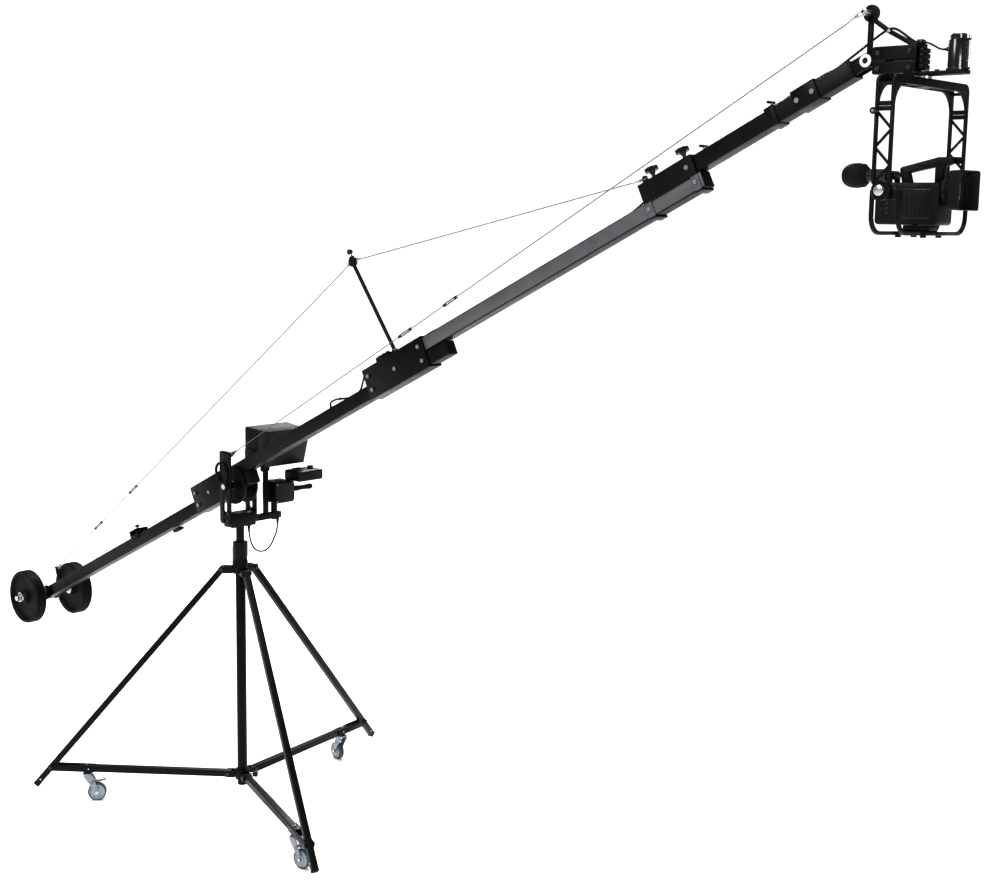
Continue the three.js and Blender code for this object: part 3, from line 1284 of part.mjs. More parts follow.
// U-frame, in the pan axis's frame: two arched rails, cross-pieces and the pan shaft
function yokeArch() {
  const { half: W, thickness: t, top, band, corner, end, rail, railHalf } = yoke;
  const low = end - W;
  const rails = [-railHalf, railInner].map((x) => cut(
    alongX(roundedOutline(-W, W, low, top, corner, 6), x, x + rail),
    alongX(roundedOutline(-W + t, W - t, low, top - band, corner - t, 6), x - fit.overrun,
      x + rail + fit.overrun),
    block(x - fit.overrun, x + rail + fit.overrun, -W - fit.overrun, W + fit.overrun,
      low - fit.overrun, end),
  ));
  const cross = (y0, y1, z0, z1) => block(-railHalf, railHalf, y0, y1, z0, z1);
  const bandLow = top - band;
  const spokes = [-1, 1].map((way) => cross(
    way * yokeCross.spacing - rail / 2, way * yokeCross.spacing + rail / 2, bandLow, top,
  ));
  const centre = block(-railHalf, railHalf, -railHalf, railHalf, bandLow, top);
  const feet = bothSides(cross(W - t, W, end, end + yokeCross.height));
  const slants = diagonals(
    yokeCross.spacing, W - corner, 2, (along) => [along, (top + bandLow) / 2],
  );
  const shaftTop = headBar.high + fit.gap + panAxis.nutHeight;
  return join(
    ...rails, centre, feet, ...spokes, ...slants,
    rod('z', panAxis.collar, top - fit.gap, headBar.low - fit.gap, [0, 0], 10),
    rod('z', panAxis.shaft, top - fit.gap, shaftTop, [0, 0], 10),
    rod('z', panAxis.nut, headBar.high + fit.gap, shaftTop, [0, 0], 6),
  );
}

// Slanting bars between the arch's two rails, on both sides of the middle
function diagonals(from, to, count, at) {
  const step = (to - from) / count;
  const bars = [];
  for (let i = 0; i < count; i += 1) {
    const side = i % 2 === 0 ? 1 : -1;
    const [y0, z0] = at(from + i * step);
    const [y1, z1] = at(from + (i + 1) * step);
    bars.push(bar([-side * railInner, y0, z0], [side * railInner, y1, z1], yokeCross.brace / 2, 6));
    bars.push(bar([-side * railInner, -y0, z0], [side * railInner, -y1, z1], yokeCross.brace / 2, 6));
  }
  return bars;
}

// A lattice arm: two rails, zigzag braces and the tilt bearing's ring
function yokeArmPiece(near) {
  const { half: W, thickness: t, rail, railHalf } = yoke;
  const [y0, y1] = [W - t, W];
  const top = yoke.end - fit.gap;
  const foot = yokeArm.tilt + yokeArm.overlap;
  const rails = [-railHalf, railInner].map((x) => block(x, x + rail, y0, y1, foot, top));
  const crossLow = top - yokeCross.height;
  const cross = block(-railHalf, railHalf, y0, y1, crossLow, top);
  const step = (crossLow - foot) / yokeCross.braces;
  const zigzag = Array.from({ length: yokeCross.braces }, (_, i) => {
    const side = i % 2 === 0 ? 1 : -1;
    const middle = railInner + rail / 2;
    const strap = strapOutline(
      [-side * middle, crossLow - i * step, yokeCross.brace / 2],
      [side * middle, crossLow - (i + 1) * step, yokeCross.brace / 2],
    );
    return acrossY(strap, y0 + t / 4, y1 - t / 4);
  });
  const ring = rod('y', yokeArm.ring, y0, y1, [0, yokeArm.tilt], 12);
  const hole = bore('y', cradle.pin + fit.gap, y0 - fit.overrun, y1 + fit.overrun, [0, yokeArm.tilt], 10);
  const pieces = [...rails, cross, ...zigzag, ring];
  if (near) {
    pieces.push(rod('y', yokeCross.knob, y1 - fit.gap, y1 + yokeCross.knobLength,
      [-railHalf + rail / 2, crossLow], 8));
  }
  const arm = cut(join(...pieces), hole);
  return near ? moved(arm, { mirrorY: true }) : arm;
}

// Tilt cradle, in the tilt axis's frame: two bent bars, side plates with trunnions, and the tray
function tiltCradle() {
  const { half: W, wall, rear, front, rail, bottom, corner } = cradle;
  const high = W;
  const bars = [rear, front - rail].map((x) => cut(
    alongX(roundedOutline(-W, W, bottom, high, corner, 5), x, x + rail),
    alongX(roundedOutline(-W + wall, W - wall, bottom + wall, high + wall, corner - wall, 5),
      x - fit.overrun,
      x + rail + fit.overrun, 7),
    block(x - fit.overrun, x + rail + fit.overrun, -W - fit.overrun, W + fit.overrun, 0, high + fit.overrun),
  ));
  const side = join(
    acrossY(outline([
      [rear, 0], [-cradle.hub / 2, cradle.hub / 2], [cradle.hub / 2, cradle.hub / 2], [front, 0],
      [front, -cradle.hub], [rear, -cradle.hub],
    ]), W - wall, W),
    rod('y', cradle.hub, W - wall, W, [0, 0], 10),
  );
  const pins = [
    rod('y', cradle.pin, -cradlePin.near, -W + wall / 2, [0, 0], 10),
    rod('y', cradlePin.cap, -cradlePin.near - cradlePin.capHeight, -cradlePin.near, [0, 0], 10),
    rod('y', cradle.pin, W - wall / 2, cradlePin.far, [0, 0], 10),
  ];
  const plate = upZ(roundedOutline(tray.rear, tray.front, -tray.half, tray.half, tray.foot), bottom,
    bottom + wall);
  const feet = [tray.rear + 2 * tray.foot,
    tray.front - 2 * tray.foot].flatMap((x) => [-1, 1].map((way) => rod(
    'z', tray.foot, bottom - tray.footHeight, bottom + fit.gap, [x, way * (tray.half - 2 * tray.foot)], 8,
  )));
  const shoe = block(
    tray.shoeRear, tray.shoeFront, -tray.shoeHalf, tray.shoeHalf, bottom + wall - fit.gap,
    cameraLow - fit.gap,
  );
  return join(...bars, bothSides(side), ...pins, plate, ...feet, shoe);
}

function tiltMotorPiece() {
  const start = yoke.half + fit.gap;
  const end = start + tiltMotor.length;
  const profile = [
    [0, start], [tiltMotor.flange, start], [tiltMotor.flange, start + tiltMotor.flangeHeight],
    [tiltMotor.radius, start + tiltMotor.flangeHeight], [tiltMotor.radius, end - tiltMotor.flangeHeight],
    [tiltMotor.radius - tiltMotor.flangeHeight / 2, end], [0, end],
  ];
  return cut(
    revolved('y', profile, [0, 0], 16),
    rod('y', tiltMotor.recess, start - fit.overrun, start + tiltMotor.recessDepth, [0, 0], 10),
  );
}

// Camcorder: moulded body, ribbed near flank, top handle with a finger gap, finder ears
function cameraBody() {
  const { rear, front, low, high, bevel } = body;
  const corner = 2 * bevel;
  const shoulder = corner + bevel;
  const quarter = Math.PI / 2;
  const side = outline([
    ...arc(front - corner, high - corner, corner, 0, quarter, 3),
    ...arc(rear + shoulder, high - shoulder, shoulder, quarter, 2 * quarter, 3),
    ...arc(rear + corner, low + corner, corner, 2 * quarter, 3 * quarter, 3),
    ...arc(front - corner, low + corner, corner, 3 * quarter, 4 * quarter, 3),
  ]);
  const shell = mouldedY(side, body.half, bevel);
  const ribs = Array.from({ length: body.ribs }, (_, i) => {
    const x = rear + (body.ribStart + body.ribStep * i) * (front - rear);
    return block(x, x + body.rib, -body.half - body.rib, -body.half + fit.gap, low + 4 * bevel,
      high - 4 * bevel);
  });
  const ear = cut(
    acrossY(strapOutline([hinge.along, high, hinge.radius],
      [hinge.along, hinge.height, hinge.radius]), hinge.ear,
      hinge.earOuter),
    bore('y', hinge.pin + fit.gap, hinge.ear - fit.overrun, hinge.earOuter + fit.overrun,
      [hinge.along, hinge.height],
      8),
  );
  return join(shell, ...ribs, bothSides(ear), topHandle());
}

function topHandle() {
  const { half: w, bar: t, rear, front, rise, top, reach } = handle;
  const base = body.high - body.bevel;
  const shape = outline([
    [rear, base], [rear - t / 2, rise], ...arc(rear, rise, t / 2, Math.PI, Math.PI / 2, 2),
    [front - t, top + t / 2],
    [reach, top + t / 2], [reach, top - t / 2], [front, top - t], [front - t / 4, base],
    [front - 1.5 * t, base],
    [front - 1.5 * t, top - t], [rear + t, rise - t / 2], [rear + 1.5 * t, base],
  ]);
  const microphone = rod('x', t / 2, front - t, reach + t, [w + t / 3, top], 8);
  return join(acrossY(shape, -w, w), microphone);
}

function cameraLens() {
  const start = body.front + fit.gap;
  const barrelEnd = start + barrel.length;
  const { rearHalf, rearTall, half: w, tall, length, wall, glass, depth } = lensHood;
  const z = barrel.centre;
  const glassFace = barrelEnd + length - depth;
  const hoodShell = cut(
    taperedBox(
      [barrelEnd, -rearHalf, rearHalf, z - rearTall, z + rearTall],
      [barrelEnd + length, -w, w, z - tall, z + tall],
    ),
    taperedBox(
      [glassFace, -glass, glass, z - glass, z + glass],
      [barrelEnd + length + wall, -w + wall, w - wall, z - tall + wall, z + tall - wall],
    ),
  );
  return join(
    rod('x', barrel.radius, start, barrelEnd + wall, [0, z], 12),
    rod('x', barrel.ring, start + barrel.ringLength, start + 2 * barrel.ringLength, [0, z], 12),
    hoodShell,
    rod('x', [glass - wall, glass / 2], glassFace - wall, glassFace + wall, [0, z], 10),
  );
}

// The finder turns up about a cross pin in the body's ears
function viewfinderPiece() {
  const z = hinge.height;
  const outer = hinge.earOuter + fit.gap;
  const ear = hinge.ear - fit.gap;
  const cup = cut(
    rod('x', [finder.radius, finder.cup], -finder.rear, -finder.cupRear, [0, z], 10),
    rod('x', [finder.eye, finder.cup - finder.radius / 3], -finder.cupRear - finder.eyeDepth,
      -finder.cupRear + fit.gap, [0, z], 10),
  );
  return join(
    rod('x', finder.radius, finder.rear - fit.gap, finder.front, [0, z], 10),
    rod('x', finder.barrel, finder.front - fit.gap, hinge.along, [0, z], 8),
    rod('y', finder.barrel, -ear, ear, [hinge.along, z], 8),
    rod('y', hinge.pin, -outer - hinge.pin, outer + hinge.pin, [hinge.along, z], 8),
    rod('y', hinge.radius, -outer - hinge.pin, -outer, [hinge.along, z], 8),
    rod('y', hinge.radius, outer, outer + hinge.pin, [hinge.along, z], 8),
    moved(cup, { turnZ: Math.PI }),
  );
}

// Assembly
const crane = new THREE.Group();
crane.name = 'camera_jib_crane';

add(crane, 'column_tube', columnTube(), finishes.black);
add(crane, 'hub_bracket', hubBracket(), finishes.black);
add(crane, 'leg_collar', legCollar(), finishes.black);
const leverGroup = place(crane, [0, 0, 0], { turnZ: degrees(clampLug.azimuth) });
add(leverGroup, 'mast_clamp_lever', mastClampLever(), finishes.black);

const standSides = ['front', 'far', 'rear'];
standSides.forEach((side, i) => {
  const spoke = place(crane, [0, 0, 0], { turnZ: degrees(stand.azimuths[i]) });
  const slope = place(spoke, [collar.pinRadius, 0, collarPin], { turnY: Math.atan2(legFall, legRun) });
  add(slope, `leg_${side}`, tripodLeg(), finishes.grey);
  add(spoke, `spreader_${side}`, spreaderArm(), finishes.grey);
  const heading = degrees(stand.headings[i] - stand.azimuths[i]);
  const swivel = place(spoke, [caster.stemRadius, 0, 0], { turnZ: heading });
  add(swivel, `caster_fork_${side}`, casterBracket(), finishes.zinc);
  add(swivel, `caster_wheel_${side}`, casterWheel(), finishes.tyre);
  add(swivel, `caster_brake_${side}`, brakePedal(), finishes.zinc);
});

add(crane, 'inner_mast', innerMast(), finishes.black);
add(crane, 'fork_base', forkBase(), finishes.black);
add(crane, 'fork_cheek_near', forkCheek(true), finishes.black);
add(crane, 'fork_cheek_far', forkCheek(false), finishes.black);
add(crane, 'tilt_axle', tiltAxle(), finishes.steel);
add(crane, 'tilt_lock_handle', tiltLockHandle(), finishes.black);
add(crane, 'joystick_box', joystickBox(), finishes.plastic);
add(crane, 'joystick_lever', joystickLever(), finishes.rubber);
add(crane, 'zoom_control', zoomControl(), finishes.plastic);
add(crane, 'monitor_body', monitorBody(), finishes.palePlastic);
add(crane, 'monitor_hood', monitorHood(), finishes.plastic);
add(crane, 'control_lead', cord(controlLeadRoute, cordSize, 22), finishes.rubber);

const boom = place(crane, [0, 0, pivotHeight], { turnY: -degrees(boomTilt) });
add(boom, 'rear_tube', rearBoomTube(), finishes.black);
add(boom, 'boom_tube_1', boomTubeOne(), finishes.black);
add(boom, 'boom_tube_2', boomTubeTwo(), finishes.grey);
add(boom, 'boom_tube_3', boomTubeThree(), finishes.black);
add(boom, 'joint_clamp_rear', rearJointClamp(), finishes.black);
add(boom, 'joint_clamp_mid', midJointClamp(), finishes.black);
add(boom, 'joint_clamp_front', frontJointClamp(), finishes.black);
add(boom, 'hand_knob_rear', lobedKnob(knobPlaces[0]), finishes.plastic);
add(boom, 'hand_knob_front', lobedKnob(knobPlaces[1]), finishes.plastic);
add(boom, 'king_post', kingPostPiece(), finishes.black);
add(boom, 'weight_bar', weightBar(), finishes.steel);
add(boom, 'weight_disc_near', weightDisc(-1), finishes.iron);
add(boom, 'weight_disc_far', weightDisc(1), finishes.iron);
add(boom, 'weight_nut', weightNut(), finishes.steel);
add(boom, 'boom_lead', cord(boomLeadRoute, cordSize, 50), finishes.rubber);

// The two truss stays run from the king post's head to their lugs
function addStay(name, from, to, shares) {
  const [dx, dz] = [to[0] - from[0], to[1] - from[1]];
  const group = place(boom, [from[0], 0, from[1]], { turnY: -Math.atan2(dz, dx) });
  const settings = { radius: stay.radius, eye: stay.eye, eyeHalf: stay.eyeHalf, hole: stay.pin + fit.gap };
  add(group, name, tensionStay(Math.hypot(dx, dz), { ...settings, buckles: shares }), finishes.cable);
}
const rearBuckleShares = [0.69, 0.825];
const levelBuckleShares = [0.362, 0.442];
const postZ = kingPost.topHeight;
addStay('truss_cable_rear', [postTop - postHead.spread, postZ], [anchorRear, anchor.rearHeight],
  rearBuckleShares);
addStay('truss_cable_front', [postTop + postHead.spread, postZ], [anchorFront, anchor.frontHeight], []);

const levelRig = place(
  crane, [0, -levelling.side, pivotHeight + levelling.height], { turnY: -Math.atan2(tipZ, tipX) },
);
add(levelRig, 'level_cable', tensionStay(Math.hypot(tipX, tipZ), {
  radius: stay.radius,
  eye: levelling.eye,
  eyeHalf: levelling.eyeHalf,
  hole: levelling.pin + fit.gap,
  buckles: levelBuckleShares,
}), finishes.cable);

const swing = place(crane, [tipX, 0, pivotHeight + tipZ]);
add(swing, 'head_bracket', headBracket(), finishes.black);
add(swing, 'pan_motor', panMotorPiece(), finishes.gloss);
add(swing, 'head_lead', cord(headLeadRoute, cordSize, 14), finishes.rubber);
const pan = place(swing, [panAxis.along, 0, 0]);
add(pan, 'yoke_arch', yokeArch(), finishes.black);
add(pan, 'yoke_arm_near', yokeArmPiece(true), finishes.black);
add(pan, 'yoke_arm_far', yokeArmPiece(false), finishes.black);
const tilting = place(pan, [0, 0, yokeArm.tilt]);
add(tilting, 'tilt_cradle', tiltCradle(), finishes.black);
add(tilting, 'tilt_motor', tiltMotorPiece(), finishes.gloss);
add(tilting, 'camera_body', cameraBody(), finishes.plastic);
add(tilting, 'camera_lens', cameraLens(), finishes.plastic);
add(tilting, 'viewfinder', viewfinderPiece(), finishes.rubber);

export default crane;
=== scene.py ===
"""Studio scene of a camera jib crane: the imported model's pieces are detailed, dressed and lit.

Lengths in the classes are millimetres in the local frame of the sub-assembly, and a Form brings
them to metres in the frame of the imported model. The camera stands where the photograph's did.
"""

from __future__ import annotations

import logging
import math
from dataclasses import dataclass, field
from enum import Enum

import bmesh
import bpy
from mathutils import Matrix, Vector


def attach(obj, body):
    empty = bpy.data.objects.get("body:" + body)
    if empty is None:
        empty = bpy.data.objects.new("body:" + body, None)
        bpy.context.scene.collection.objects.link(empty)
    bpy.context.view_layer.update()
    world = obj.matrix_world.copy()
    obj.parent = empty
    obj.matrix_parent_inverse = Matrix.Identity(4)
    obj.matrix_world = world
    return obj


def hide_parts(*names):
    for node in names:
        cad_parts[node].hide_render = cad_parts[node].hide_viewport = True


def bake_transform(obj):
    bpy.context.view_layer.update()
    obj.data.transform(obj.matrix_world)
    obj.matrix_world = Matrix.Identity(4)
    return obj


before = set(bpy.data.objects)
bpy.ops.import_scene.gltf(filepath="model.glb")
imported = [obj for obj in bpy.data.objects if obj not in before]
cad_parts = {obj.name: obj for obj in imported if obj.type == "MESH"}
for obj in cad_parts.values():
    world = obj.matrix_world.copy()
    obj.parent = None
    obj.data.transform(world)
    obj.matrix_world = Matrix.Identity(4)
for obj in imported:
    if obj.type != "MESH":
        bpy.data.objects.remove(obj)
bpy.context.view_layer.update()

log = logging.getLogger("crane")
MM = 0.001
Spot = tuple[float, float]
Outline = list[Spot]
Point = tuple[float, float, float]
Tree = bpy.types.NodeTree
Socket = bpy.types.NodeSocket
Mesh = bmesh.types.BMesh

# Sizes that several sub-assemblies share, as in the part's source
GAP = 0.3  # between parts that move or clamp on each other
FLOOR = -95.0
AZIMUTHS = (-21.0, 99.0, 219.0)  # where the legs point
HEADINGS = (6.0, 170.0, 50.0)  # where the casters trail
SIDES = ("front", "far", "rear")  # the legs' names
LEG_PIN = (75.0, 905.0)  # a leg's upper pin, outwards and up
MAST_TOP = 1087.0
PIVOT = 1255.0  # the tilt axle's height
BOOM_TILT = math.radians(26.2)
TUBE_HALF = 25.0
ROWS = (0.0, 52.0, 104.0, 156.0)  # the boom tubes' heights over the rear one
SLEEVE_IN = TUBE_HALF + GAP
SLEEVE_OUT = SLEEVE_IN + 6.0
KING_TOP = (1000.0, 520.0)  # the king post's head, along the boom and up
KING_PIN = 10.0  # from its middle to each rope pin
REAR_PIN = (-1474.0, 84.0)  # the truss ropes' lower pins
FRONT_PIN = (2306.0, 202.0)
TIP_ALONG = 3106.0
LEVEL_HEIGHT = 125.0  # the levelling rope over the axle and the tip
LEVEL_OUT = -42.0  # and beside the boom
PAN_ALONG = 165.0
TILT_DROP = -347.0
LEAD_RADIUS = 3.5

# Sizes of the patterns in the finishes, and the angle from which an edge is sharp
CLOUD = 55.0  # broad clouds of tint and sheen
PATCH = 9.0  # patches that break a worn edge
WORN_EDGE = 1.6
CREASE = math.radians(32)

CRANE = Matrix.Identity(4)
BOOM = Matrix.Translation((0, 0, PIVOT * MM)) @ Matrix.Rotation(-BOOM_TILT, 4, "Y")
TIP = BOOM @ Vector((TIP_ALONG * MM, 0, ROWS[3] * MM))
HEAD = Matrix.Translation(TIP)
PAN = HEAD @ Matrix.Translation((PAN_ALONG * MM, 0, 0))
TILT = PAN @ Matrix.Translation((0, 0, TILT_DROP * MM))


def spoke(index: int) -> Matrix:
    """The frame of one leg's side of the stand."""
    return Matrix.Rotation(math.radians(AZIMUTHS[index]), 4, "Z")


def across(way: int, near: float, far: float) -> list[float]:
    """The span from near to far on one side of the middle plane, its lower end first."""
    return sorted((way * near, way * far))


def both(near: float, far: float) -> Outline:
    """The span from near to far on both sides of the middle plane."""
    return [(near, far), (-far, -near)]


# Materials


def linear(code: str) -> tuple[float, float, float, float]:
    """Turns an sRGB hex colour to a linear one.

    Args:
        code: The colour as six hex digits after a hash.

    Returns:
        Red, green, blue and full alpha.
    """
    values = [int(code[i : i + 2], 16) / 255 for i in (1, 3, 5)]
    red, green, blue = (v / 12.92 if v <= 0.04045 else ((v + 0.055) / 1.055) ** 2.4 for v in values)
    return red, green, blue, 1.0


def add_node(tree: Tree, kind: str, links: dict | None = None, **settings) -> bpy.types.Node:
    """Adds a node with its settings and its inputs.

    Args:
        tree: The tree that gets the node.
        kind: The node's type.
        links: Input names or numbers, each with a socket to link or a value to set.
        settings: Properties of the node.

    Returns:
        The new node.
    """
    node = tree.nodes.new(kind)
    for key, value in settings.items():
        setattr(node, key, value)
    for key, value in (links or {}).items():
        if isinstance(value, Socket):
            tree.links.new(value, node.inputs[key])
        else:
            node.inputs[key].default_value = value
    return node


class Surface(Enum):
    """How a surface was made, which sets its pattern."""

    COATED = "powder coat"
    BRUSHED = "brushed or turned metal"
    CAST = "sand casting"
    MOULDED = "moulded plastic with a fine spark texture"
    RUBBER = "rubber"
    GLOSS = "enamel or glass"


@dataclass(frozen=True)
class Finish:
    """One finish of the crane: its colours, its sheen and its pattern in real sizes."""

    name: str
    surface: Surface
    colour: str
    second: str
    roughness: float
    metallic: float = 0.0
    ior: float = 1.5
    grain: float = 1.0
    bump: float = 0.03
    rubbed: str = ""
    wear: float = 0.0
    specular: float = 0.5
    stretch: Point = (1.0, 1.0, 1.0)
    turn: float = 0.0
    coat: float = 0.0

    def material(self) -> bpy.types.Material:
        """The finish as a node material, made once."""
        known = bpy.data.materials.get(self.name)
        if known:
            return known
        made = bpy.data.materials.new(self.name)
        made.use_nodes = True
        tree = made.node_tree
        tree.nodes.clear()
        place = add_node(tree, "ShaderNodeTexCoord").outputs["Object"]
        laid = {"Vector": place, "Rotation": (0, self.turn, 0), "Scale": self.stretch}
        fine = self._fine(tree, add_node(tree, "ShaderNodeMapping", laid).outputs["Vector"])
        clouds = {"Vector": place, "Scale": 1 / (CLOUD * MM), "Detail": 4.0, "Roughness": 0.6}
        broad = add_node(tree, "ShaderNodeTexNoise", clouds).outputs["Fac"]
        edge = self._edge(tree, place)
        share = self._spread(tree, broad, 0.3, 0.7, 0.0, 0.35)
        colours = {0: share, 6: linear(self.colour), 7: linear(self.second)}
        tint = add_node(tree, "ShaderNodeMix", colours, data_type="RGBA").outputs[2]
        colours = {0: edge, 6: tint, 7: linear(self.rubbed or self.second)}
        worn = add_node(tree, "ShaderNodeMix", colours, data_type="RGBA").outputs[2]
        low, high = max(self.roughness - 0.07, 0.03), min(self.roughness + 0.09, 1.0)
        cloudy = self._spread(tree, broad, 0.25, 0.75, low, high)
        grainy = self._spread(tree, fine, 0.2, 0.8, -0.04, 0.04)
        sheen = add_node(tree, "ShaderNodeMath", {0: cloudy, 1: grainy}, operation="ADD").outputs[0]
        bumps = {"Height": fine, "Strength": 0.6, "Distance": self.bump * MM}
        relief = add_node(tree, "ShaderNodeBump", bumps).outputs["Normal"]
        shader = add_node(
            tree,
            "ShaderNodeBsdfPrincipled",
            {"Base Color": worn, "Roughness": sheen, "Normal": relief, "Metallic": self.metallic, "IOR": self.ior,
             "Specular IOR Level": self.specular, "Coat Weight": self.coat, "Coat Roughness": 0.08},
        )
        add_node(tree, "ShaderNodeOutputMaterial", {"Surface": shader.outputs["BSDF"]})
        return made

    def _fine(self, tree: Tree, pattern: Socket) -> Socket:
        """The fine pattern that drives the bump, at the grain's real size."""
        scale = 1 / (self.grain * MM)
        if self.surface in (Surface.CAST, Surface.MOULDED):
            pits = {"Vector": pattern, "Scale": scale, "Randomness": 1.0}
            return add_node(tree, "ShaderNodeTexVoronoi", pits).outputs["Distance"]
        waves = {"Vector": pattern, "Scale": scale, "Detail": 3.0, "Roughness": 0.55}
        return add_node(tree, "ShaderNodeTexNoise", waves).outputs["Fac"]

    def _edge(self, tree: Tree, place: Socket) -> Socket:
        """A broken mask on the edges, where handling rubs the coat thin."""
        round_normal = add_node(tree, "ShaderNodeBevel", {"Radius": WORN_EDGE * MM}, samples=4).outputs["Normal"]
        flat_normal = add_node(tree, "ShaderNodeNewGeometry").outputs["Normal"]
        normals = {0: round_normal, 1: flat_normal}
        alike = add_node(tree, "ShaderNodeVectorMath", normals, operation="DOT_PRODUCT").outputs["Value"]
        rubs = {"Vector": place, "Scale": 1 / (PATCH * MM), "Detail": 5.0}
        patches = add_node(tree, "ShaderNodeTexNoise", rubs).outputs["Fac"]
        corner = self._spread(tree, alike, 0.99, 0.86, 0.0, 1.0)
        broken = self._spread(tree, patches, 0.42, 0.62, 0.0, self.wear)
        return add_node(tree, "ShaderNodeMath", {0: corner, 1: broken}, operation="MULTIPLY").outputs[0]

    @staticmethod
    def _spread(tree: Tree, value: Socket, low: float, high: float, to_low: float, to_high: float) -> Socket:
        """Maps a value from one range to another."""
        return add_node(
            tree, "ShaderNodeMapRange",
            {"Value": value, "From Min": low, "From Max": high, "To Min": to_low, "To Max": to_high},
        ).outputs["Result"]


# Polyester powder coat: satin black with a fine orange peel, greyer where hands rub its edges
COAT = Finish(
    "black_powder_coat", Surface.COATED, "#050505", "#0a0a0b", 0.42, grain=1.4, bump=0.05, rubbed="#39393b",
    wear=0.45, specular=0.13,
)
# The boom's faces: the same coat, worn matt by the clamps, with marks along the tube
COAT_BOOM = Finish(
    "black_boom_coat", Surface.COATED, "#050505", "#0c0c0d", 0.42, grain=1.6, bump=0.04, rubbed="#404043", wear=0.5,
    stretch=(0.04, 1.0, 1.0), turn=BOOM_TILT, specular=0.13,
)
# Grey anodised face between dark edges on the middle boom tube
ANODISED = Finish(
    "grey_anodised_face", Surface.BRUSHED, "#4b4a4d", "#5c5b5f", 0.46, metallic=0.25, grain=0.9, bump=0.02,
    stretch=(0.03, 1.0, 1.0), turn=BOOM_TILT, specular=0.35,
)
# Turned and polished steel with faint tool rings
STEEL = Finish(
    "turned_bright_steel", Surface.BRUSHED, "#c4c5c8", "#8f9195", 0.26, metallic=1.0, grain=0.7, bump=0.02,
    stretch=(1.0, 6.0, 1.0),
)
# Black-oxide screws and pins: oiled, dark brown-black, with bright wrench marks on the corners
OXIDE = Finish(
    "black_oxide_steel", Surface.BRUSHED, "#2b2b2d", "#3f3f42", 0.38, metallic=0.9, grain=0.8, bump=0.02,
    rubbed="#8d8d90", wear=0.5,
)
# Zinc plating on pressed sheet: pale, slightly cloudy, duller at the bends
ZINC = Finish("zinc_plated_sheet", Surface.BRUSHED, "#878c92", "#686e74", 0.38, metallic=0.9, grain=2.2, bump=0.02)
# Sand-cast iron under thin black paint: rough, chalky, no clear reflections
IRON = Finish(
    "painted_cast_iron", Surface.CAST, "#050505", "#0d0d0e", 0.58, grain=1.3, bump=0.2, rubbed="#303032", wear=0.35,
    specular=0.13,
)
# Blue-green thermoplastic rubber tread
TREAD = Finish("blue_green_tread", Surface.RUBBER, "#2c404a", "#3a505b", 0.62, grain=0.8, bump=0.05)
# Pale nylon wheel centre
NYLON = Finish("pale_nylon", Surface.MOULDED, "#97a2a8", "#7b878d", 0.45, grain=0.9, bump=0.02)
# Spark-textured black ABS housings
ABS = Finish(
    "textured_black_abs", Surface.MOULDED, "#050506", "#0b0b0c", 0.46, ior=1.53, grain=0.7, bump=0.05,
    rubbed="#2c2c30", wear=0.3, specular=0.16,
)
# Smooth black ABS of knobs and buttons
SMOOTH = Finish(
    "smooth_black_abs", Surface.COATED, "#060606", "#0c0c0d", 0.3, ior=1.53, grain=2.0, bump=0.01, rubbed="#36363a",
    wear=0.3, specular=0.25,
)
# Dark grey ABS of the monitor's shell and of small keys
GREY_ABS = Finish(
    "dark_grey_abs", Surface.MOULDED, "#0b0b0d", "#131315", 0.46, ior=1.53, grain=0.8, bump=0.04, specular=0.2
)
# Glossy black enamel on the motor cans
ENAMEL = Finish("glossy_black_enamel", Surface.GLOSS, "#070708", "#0e0e10", 0.22, grain=4.0, bump=0.01, coat=0.35)
# Galvanised wire rope: dull grey
ROPE = Finish("galvanised_wire_rope", Surface.BRUSHED, "#6f7174", "#4a4b4e", 0.4, metallic=0.9, grain=0.8, bump=0.04)
# Soft PVC jacket of the leads
JACKET = Finish("pvc_cable_jacket", Surface.RUBBER, "#070708", "#0e0e10", 0.5, grain=1.2, bump=0.02, specular=0.25)
# Moulded soft rubber of the eyecup, boots and grips
RUBBER = Finish(
    "soft_black_rubber", Surface.RUBBER, "#060606", "#0c0c0d", 0.72, ior=1.52, grain=0.6, bump=0.05, specular=0.16
)
# Coated optical glass: nearly black, with a clean reflection
GLASS = Finish("coated_lens_glass", Surface.GLOSS, "#07080c", "#10131c", 0.06, ior=1.6, grain=20.0, bump=0.0, coat=1.0)
# Glass of the monitor's screen, switched off
SCREEN = Finish("dark_screen_glass", Surface.GLOSS, "#0a0c0f", "#12151a", 0.14, grain=20.0, bump=0.0, coat=0.5)
# White moulded acetal of the ring round the tip's bolt
ACETAL = Finish("white_acetal", Surface.MOULDED, "#d9dad8", "#bfc0be", 0.42, grain=1.0, bump=0.01)


# Shapes, in millimetres round a local Z axis or in a local XY plane


def arc(x: float, y: float, radius: float, start: float, end: float, steps: int) -> Outline:
    """Points on an arc, both ends included, with angles in degrees."""
    angles = [math.radians(start + (end - start) * i / steps) for i in range(steps + 1)]
    return [(x + radius * math.cos(a), y + radius * math.sin(a)) for a in angles]


def circle(x: float, y: float, radius: float, steps: int = 32) -> Outline:
    """A closed circle as an outline."""
    return arc(x, y, radius, 0, 360, steps)[:-1]


def rounded(x0: float, x1: float, y0: float, y1: float, radius: float, steps: int = 5) -> Outline:
    """A rectangle with round corners."""
    return (
        arc(x1 - radius, y1 - radius, radius, 0, 90, steps)
        + arc(x0 + radius, y1 - radius, radius, 90, 180, steps)
        + arc(x0 + radius, y0 + radius, radius, 180, 270, steps)
        + arc(x1 - radius, y0 + radius, radius, 270, 360, steps)
    )


